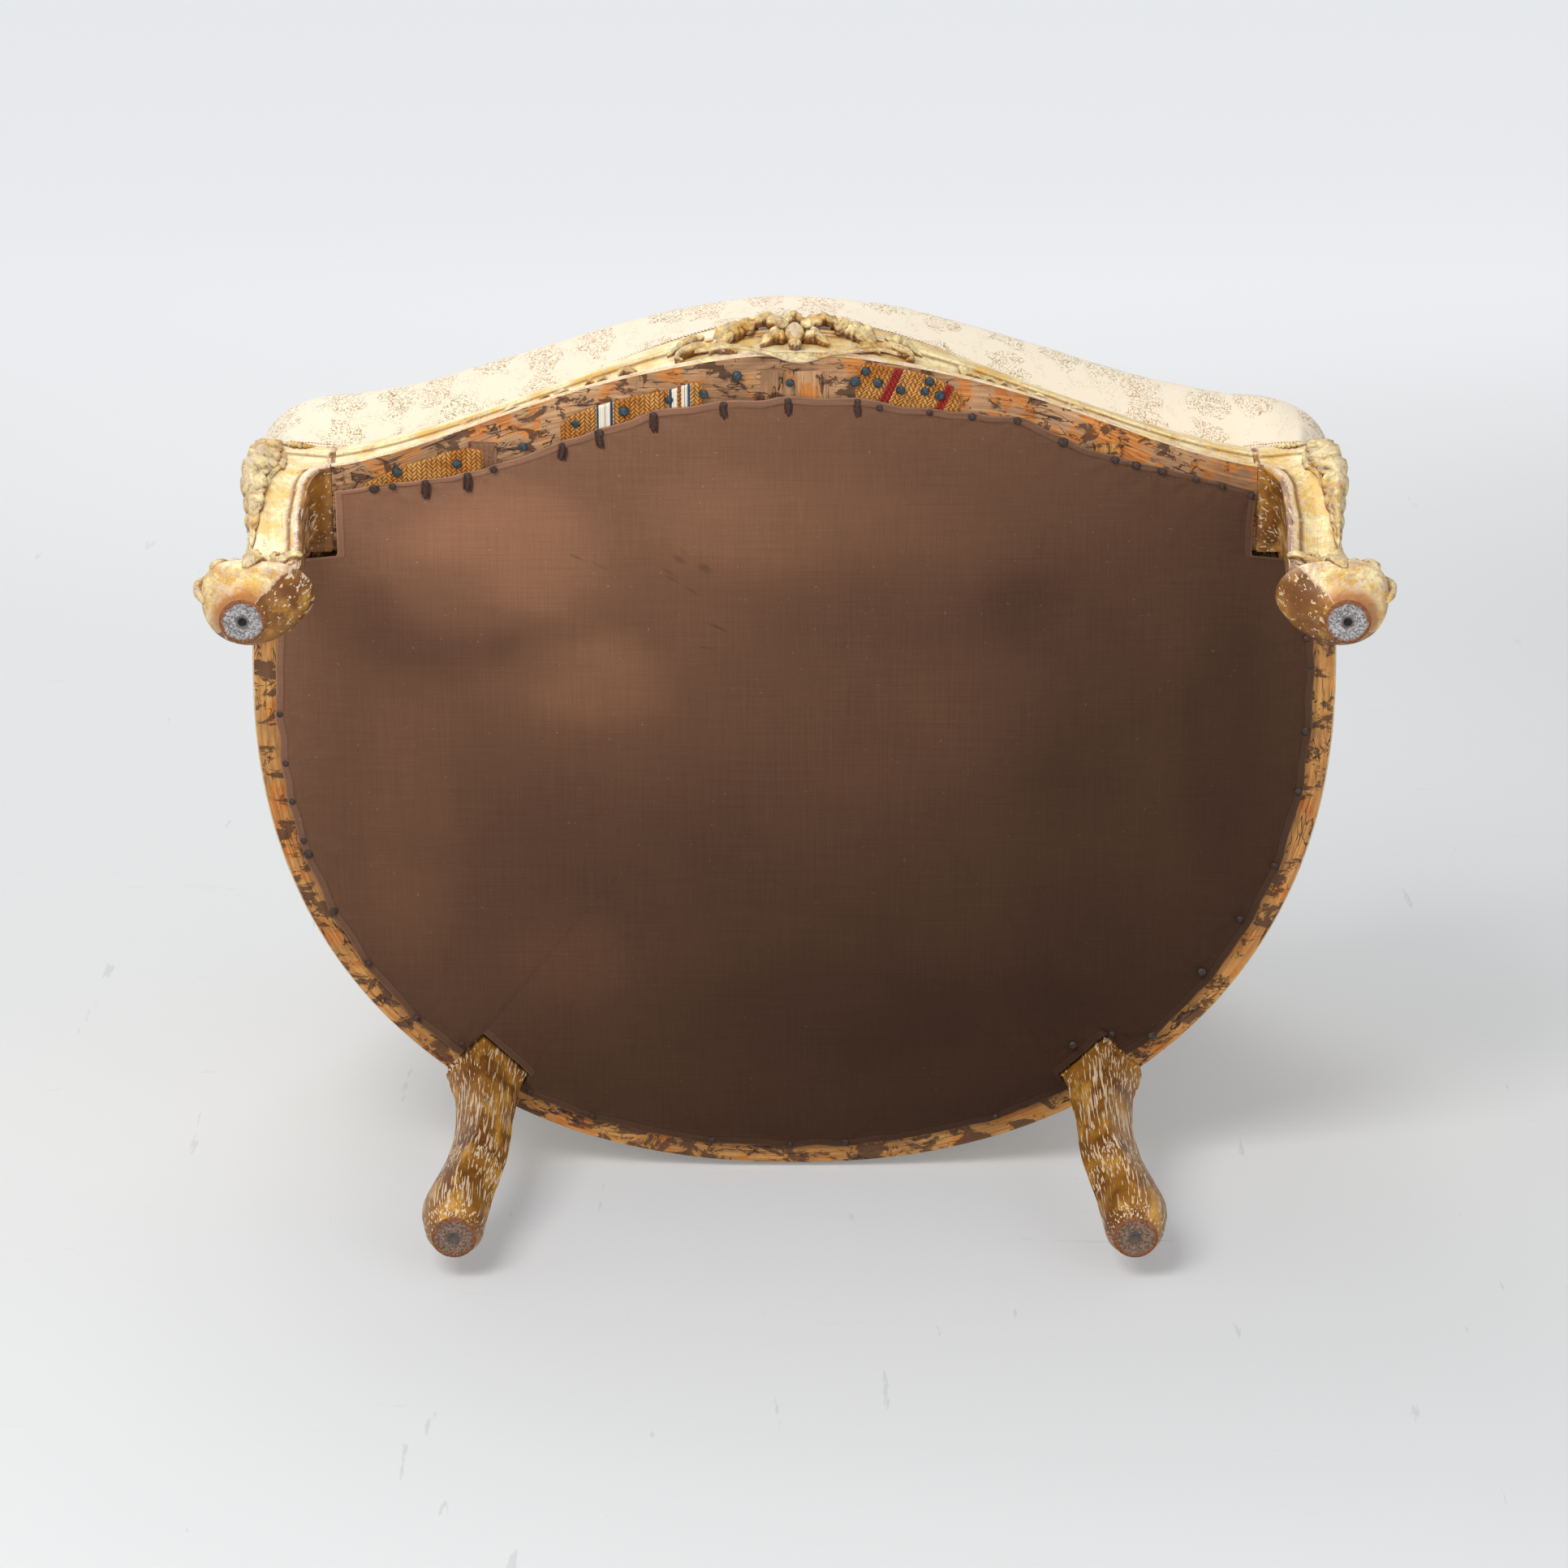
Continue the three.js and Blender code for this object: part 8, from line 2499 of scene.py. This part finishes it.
@dataclass(frozen=True)
class Panel:
    """A padded part of the seat, back or arms, swollen from its solid by cloth pressure."""

    node: str
    name: str
    lay: Lay = Lay.ROUND
    fill: float = 0.8
    cap: float = 0.010
    voxel: float = 0.0055
    stuffed: bool = True

    def pattern(self, points: Array) -> Array:
        """UV places of the printed cloth, in metres."""
        plan = points - [0, PLAN.middle_y, 0]
        if self.lay is Lay.FLAT:
            return plan[:, :2] + plan[:, 2:] * [[0, 0.6]]
        turn = np.arctan2(plan[:, 1] / PLAN.half_depth, plan[:, 0] / PLAN.half_width)
        radius = np.hypot(plan[:, 0] / PLAN.half_width, plan[:, 1] / PLAN.half_depth)
        return np.stack([turn * 0.34, plan[:, 2] - radius * 0.2], -1)

    def build(self, mirror_of: bpy.types.Object | None = None) -> bpy.types.Object:
        """Makes the panel.

        Args:
            mirror_of: The same panel on the right, where this one is its mirror image.

        Returns:
            The finished piece.
        """
        if mirror_of is not None:
            piece = mirrored(mirror_of, self.name)
        else:
            piece = self.stuff(solid_copy(self.node, self.name))
            write_uv(piece.data, self.pattern(read_points(piece.data)))
        dress(piece, SPRIGS)
        settle(piece, "floral_fabric", self.node)
        return piece

    def stuff(self, piece: bpy.types.Object) -> bpy.types.Object:
        """Evens the solid's faces, softens its edges and lets it swell."""
        if self.stuffed:
            even = piece.modifiers.new("even", "REMESH")
            even.mode, even.voxel_size = "VOXEL", self.voxel
            soft = piece.modifiers.new("soft", "SMOOTH")
            soft.factor, soft.iterations = 0.5, 5
            apply_modifiers(piece)
            normal = np.zeros(len(piece.data.vertices) * 3, np.float32)
            piece.data.vertices.foreach_get("normal", normal)
            normal = normal.reshape(-1, 3)
            points = read_points(piece.data)
            inwards = -(points[:, :2] - [0, PLAN.middle_y])
            inwards /= np.maximum(np.linalg.norm(inwards, axis=1), 1e-6)[:, None]
            seen = np.maximum((normal[:, :2] * inwards).sum(1), normal[:, 2] * (self.lay is Lay.FLAT))
            low, high = points.min(0), points.max(0)
            inner = smooth((points[:, 2] - low[2]) / 0.05) * smooth((high[2] - points[:, 2]) / 0.03)
            inflate(piece, np.clip(seen, 0, 1) * (inner if self.lay is Lay.ROUND else 1), 0.008, self.cap)
        piece.data.polygons.foreach_set("use_smooth", np.ones(len(piece.data.polygons), bool))
        piece.data.set_sharp_from_angle(angle=math.radians(50))
        return piece


@dataclass(frozen=True)
class Upholstery:
    """All padded panels besides the cushion and the roll."""

    middle: tuple = (
        Panel("seat_deck", "seat_deck_cloth", Lay.FLAT, 0.9, 0.003, stuffed=False),
        Panel("inside_back", "inside_back_pad", cap=0.014), Panel("outside_back", "outside_back_cloth", stuffed=False),
    )
    paired: tuple = (
        Panel("inside_arm", "inside_arm_pad"), Panel("outside_arm", "outside_arm_cloth", stuffed=False),
        Panel("arm_pad", "arm_rest_pad", Lay.FLAT, 0.9, 0.006, 0.004),
    )

    def build(self) -> None:
        """Makes the panels, the left ones as mirror images."""
        for panel in self.middle:
            panel.build()
        for panel in self.paired:
            right = replace(panel, node=f"right_{panel.node}", name=f"{panel.name}_right").build()
            replace(panel, node=f"left_{panel.node}", name=f"{panel.name}_left").build(mirror_of=right)


# ---------------------------------------------------------------- stage


@dataclass
class Stage:
    """Camera, floors and light: the chair lies on its back on a pale studio floor."""

    camera_place: tuple = (-0.007, -1.557, -3.424)
    pitch: float = math.radians(24)
    focal_pixels: float = 7246
    image_pixels: float = 1932
    sensor: float = 36.0
    floor: tuple = (197, 197, 196)
    glow: float = 0.235
    far_glow: float = 0.41
    tilt: float = math.radians(8.8)
    # Name, place, aim, size, power
    lamps: tuple = (
        ("key", (-1.2, -2.6, -1.6), (0, 0, 0.25), 1.6, 76),
        ("fill", (1.6, -1.2, -2.4), (0, 0, 0.25), 1.8, 26),
        ("over", (-0.6, -1.4, 2.4), (0, 0, 0.5), 1.6, 24),
    )

    def camera(self) -> None:
        """Sets up the camera at the photograph's place, in plan coordinates moved to the row."""
        data = bpy.data.cameras.new("camera")
        data.sensor_width = self.sensor
        data.lens = self.sensor * self.focal_pixels / self.image_pixels
        data.clip_end = 50
        camera = bpy.data.objects.new("camera", data)
        bpy.context.scene.collection.objects.link(camera)
        place = Vector(self.camera_place) + Vector((0, PLAN.middle_y, 0))
        look = Vector((0, math.sin(self.pitch), math.cos(self.pitch)))
        up = Vector((0, -math.cos(self.pitch), math.sin(self.pitch)))
        right = look.cross(up)
        camera.matrix_world = Matrix((
            (right.x, up.x, -look.x, place.x), (right.y, up.y, -look.y, place.y),
            (right.z, up.z, -look.z, place.z), (0, 0, 0, 1),
        ))
        bpy.context.scene.camera = camera

    def floor_material(self, name: str, camera_only: bool) -> bpy.types.Material:
        """Pale studio floor, seen only from its front, with the light passing from behind."""
        material = bpy.data.materials.new(name)
        material.use_nodes = True
        g = Graph(material.node_tree)
        shader = material.node_tree.nodes["Principled BSDF"]
        shader.inputs["Roughness"].default_value = 0.9
        shader.inputs["Specular IOR Level"].default_value = 0.1
        place = g.object_place()
        far = g.span(g.add("ShaderNodeSeparateXYZ", {0: place}).outputs[2], 1.6, 3.8)
        scuffs = g.span(g.noise(g.stretch(place, (1, 1, 9)), 9, 7, 0.72, 1.2), 0.66, 0.7, 0, 0.16)
        marks = g.span(g.noise(g.stretch(place, (26, 1, 3)), 2.2, 5, 0.6), 0.69, 0.71, 0, 0.2)
        wear = g.math("MULTIPLY", g.math("ADD", scuffs, marks), g.math("SUBTRACT", 1.8, g.math("MULTIPLY", far, 1.8)))
        colour = g.mix(wear, linear(self.floor), linear((150, 149, 148)))
        g.tree.links.new(colour, shader.inputs["Base Color"])
        rays = g.add("ShaderNodeLightPath").outputs
        seen = g.math("MINIMUM", 1.0, g.math("ADD", rays["Is Camera Ray"], g.math(
            "ADD", rays["Is Glossy Ray"], rays["Is Transmission Ray"])))
        shader.inputs["Emission Color"].default_value = linear((236, 238, 242))
        g.tree.links.new(g.math("MULTIPLY", seen, g.math("MULTIPLY_ADD", far, self.far_glow, self.glow)),
                         shader.inputs["Emission Strength"])
        clear = g.add("ShaderNodeBsdfTransparent").outputs[0]
        back = g.add("ShaderNodeNewGeometry").outputs["Backfacing"]
        hidden = g.math("MAXIMUM", back, rays["Is Shadow Ray"])
        if camera_only:
            hidden = g.math("MAXIMUM", hidden, g.math("SUBTRACT", 1.0, rays["Is Camera Ray"]))
        mixed = g.add("ShaderNodeMixShader", {0: hidden, 1: shader.outputs[0], 2: clear}).outputs[0]
        g.tree.links.new(mixed, material.node_tree.nodes["Material Output"].inputs["Surface"])
        return material

    def plane(self, name: str, centre: Sequence[float], right: Sequence[float], up: Sequence[float],
              size: float) -> bpy.types.Object:
        """A square plane, its place in its mesh."""
        c, r, u = (np.array(v, float) for v in (centre, right, up))
        corners = [c + size * (a * r + b * u) for a, b in ((-1, -1), (1, -1), (1, 1), (-1, 1))]
        mesh = bpy.data.meshes.new(name)
        mesh.from_pydata([list(p) for p in corners], [], [[0, 1, 2, 3]])
        piece = link_mesh(name, mesh)
        return piece

    def lamp(self, name: str, place: Sequence[float], aim: Sequence[float], size: float, power: float) -> None:
        """A square soft light."""
        data = bpy.data.lights.new(name, "AREA")
        data.size = size
        data.energy = power
        lamp = bpy.data.objects.new(name, data)
        lamp.location = place
        lamp.rotation_euler = (Vector(aim) - Vector(place)).to_track_quat("-Z", "Y").to_euler()
        bpy.context.scene.collection.objects.link(lamp)

    def build(self) -> None:
        """Makes the stage."""
        self.camera()
        rear = PLAN.middle_y + PLAN.half_depth
        lean = Vector((0, math.sin(self.tilt), math.cos(self.tilt)))
        base = Vector((0, rear + 0.002, PLAN.underside))
        wall = self.plane("studio_floor_behind", base, (1, 0, 0), lean, 14)
        dress(wall, self.floor_material("studio_floor", camera_only=False))
        ground = self.plane("studio_floor_below", (0, 0, -0.0005), (1, 0, 0), (0, 1, 0), 6)
        dress(ground, self.floor_material("studio_ground", camera_only=True))
        world = bpy.context.scene.world or bpy.data.worlds.new("studio")
        bpy.context.scene.world = world
        world.use_nodes = True
        background = world.node_tree.nodes["Background"]
        background.inputs["Color"].default_value = linear((236, 238, 241))
        background.inputs["Strength"].default_value = 0.5
        for lamp in self.lamps:
            self.lamp(*lamp)
        bpy.context.scene.view_settings.view_transform = "Standard"


FRONT_RAIL = FrontRail()
FRONT_LEGS = FrontLegs()
REAR_LEGS = RearLegs()
TOP_RAILS = TopRails()
DUST_COVER = DustCover()
FASTENINGS = Fastenings()
EDGE_ROLL = EdgeRoll()
STRAP_ENDS = (
    StrapEnd("strap_end_left", ((-0.155, -0.190), (-0.145, -0.1985), (-0.113, -0.2085), (-0.083, -0.2155),
                                (-0.066, -0.220), (-0.060, -0.216)),
             bands=((-0.1255, 0.0055, 2), (-0.1258, 0.0038, 1), (-0.0760, 0.0072, 2), (-0.0760, 0.0052, 1),
                    (-0.0760, 0.0014, 0))),
    StrapEnd("strap_end_right", ((0.040, -0.222), (0.046, -0.2335), (0.070, -0.230), (0.090, -0.225), (0.110, -0.2135)),
             bands=((0.0600, 0.0034, 3), (0.0990, 0.0030, 3)), lean=0.45),
    StrapEnd("strap_end_far_left", ((-0.287, -0.149), (-0.262, -0.160), (-0.240, -0.168), (-0.218, -0.1735),
                                    (-0.206, -0.172))),
)


def inner_cloth() -> None:
    """The webbing and the canvas inside the seat, with their cloth laid along them."""
    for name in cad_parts:
        if "strap" in name or name == "spring_canvas":
            piece = solid_copy(name, name + "_woven")
            points = read_points(piece.data)
            middle = points[:, :2].mean(0)
            _, _, axes = np.linalg.svd(points[:, :2] - middle, full_matrices=False)
            uv = (points[:, :2] - middle) @ axes.T
            if "strap" in name:
                uv[:, 0] *= 0.93
                points[:, :2] = middle + uv @ axes
                write_points(piece.data, points)
            write_uv(piece.data, uv + [0, 0.04 if "strap" in name else 0])
            dress(piece, BLUE_WEBBING if "strap" in name else CANVAS)
            settle(piece, "jute_webbing" if "strap" in name else "canvas", name)


def plain_nodes() -> None:
    """Dresses the CAD nodes that show as they are."""
    for name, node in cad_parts.items():
        if name.startswith("spring_") and name != "spring_canvas":
            dress(node, SPRING_STEEL)
        elif name == "lower_back_rail":
            dress(node, RAW_WOOD)


def main() -> None:
    """Builds the chair piece by piece."""
    plain_nodes()
    inner_cloth()
    for part in (Stage(), FRONT_RAIL, FRONT_LEGS, REAR_LEGS, SeatRails(), TOP_RAILS, ArmSupports(), Blocks(),
                 DUST_COVER, FASTENINGS, *STRAP_ENDS, RailCarving(), LegCarving(), FootEnds(), EDGE_ROLL, Cushion(),
                 Upholstery()):
        part.build()
        log.info("built %s", type(part).__name__)


if __name__ == "__main__":
    main()
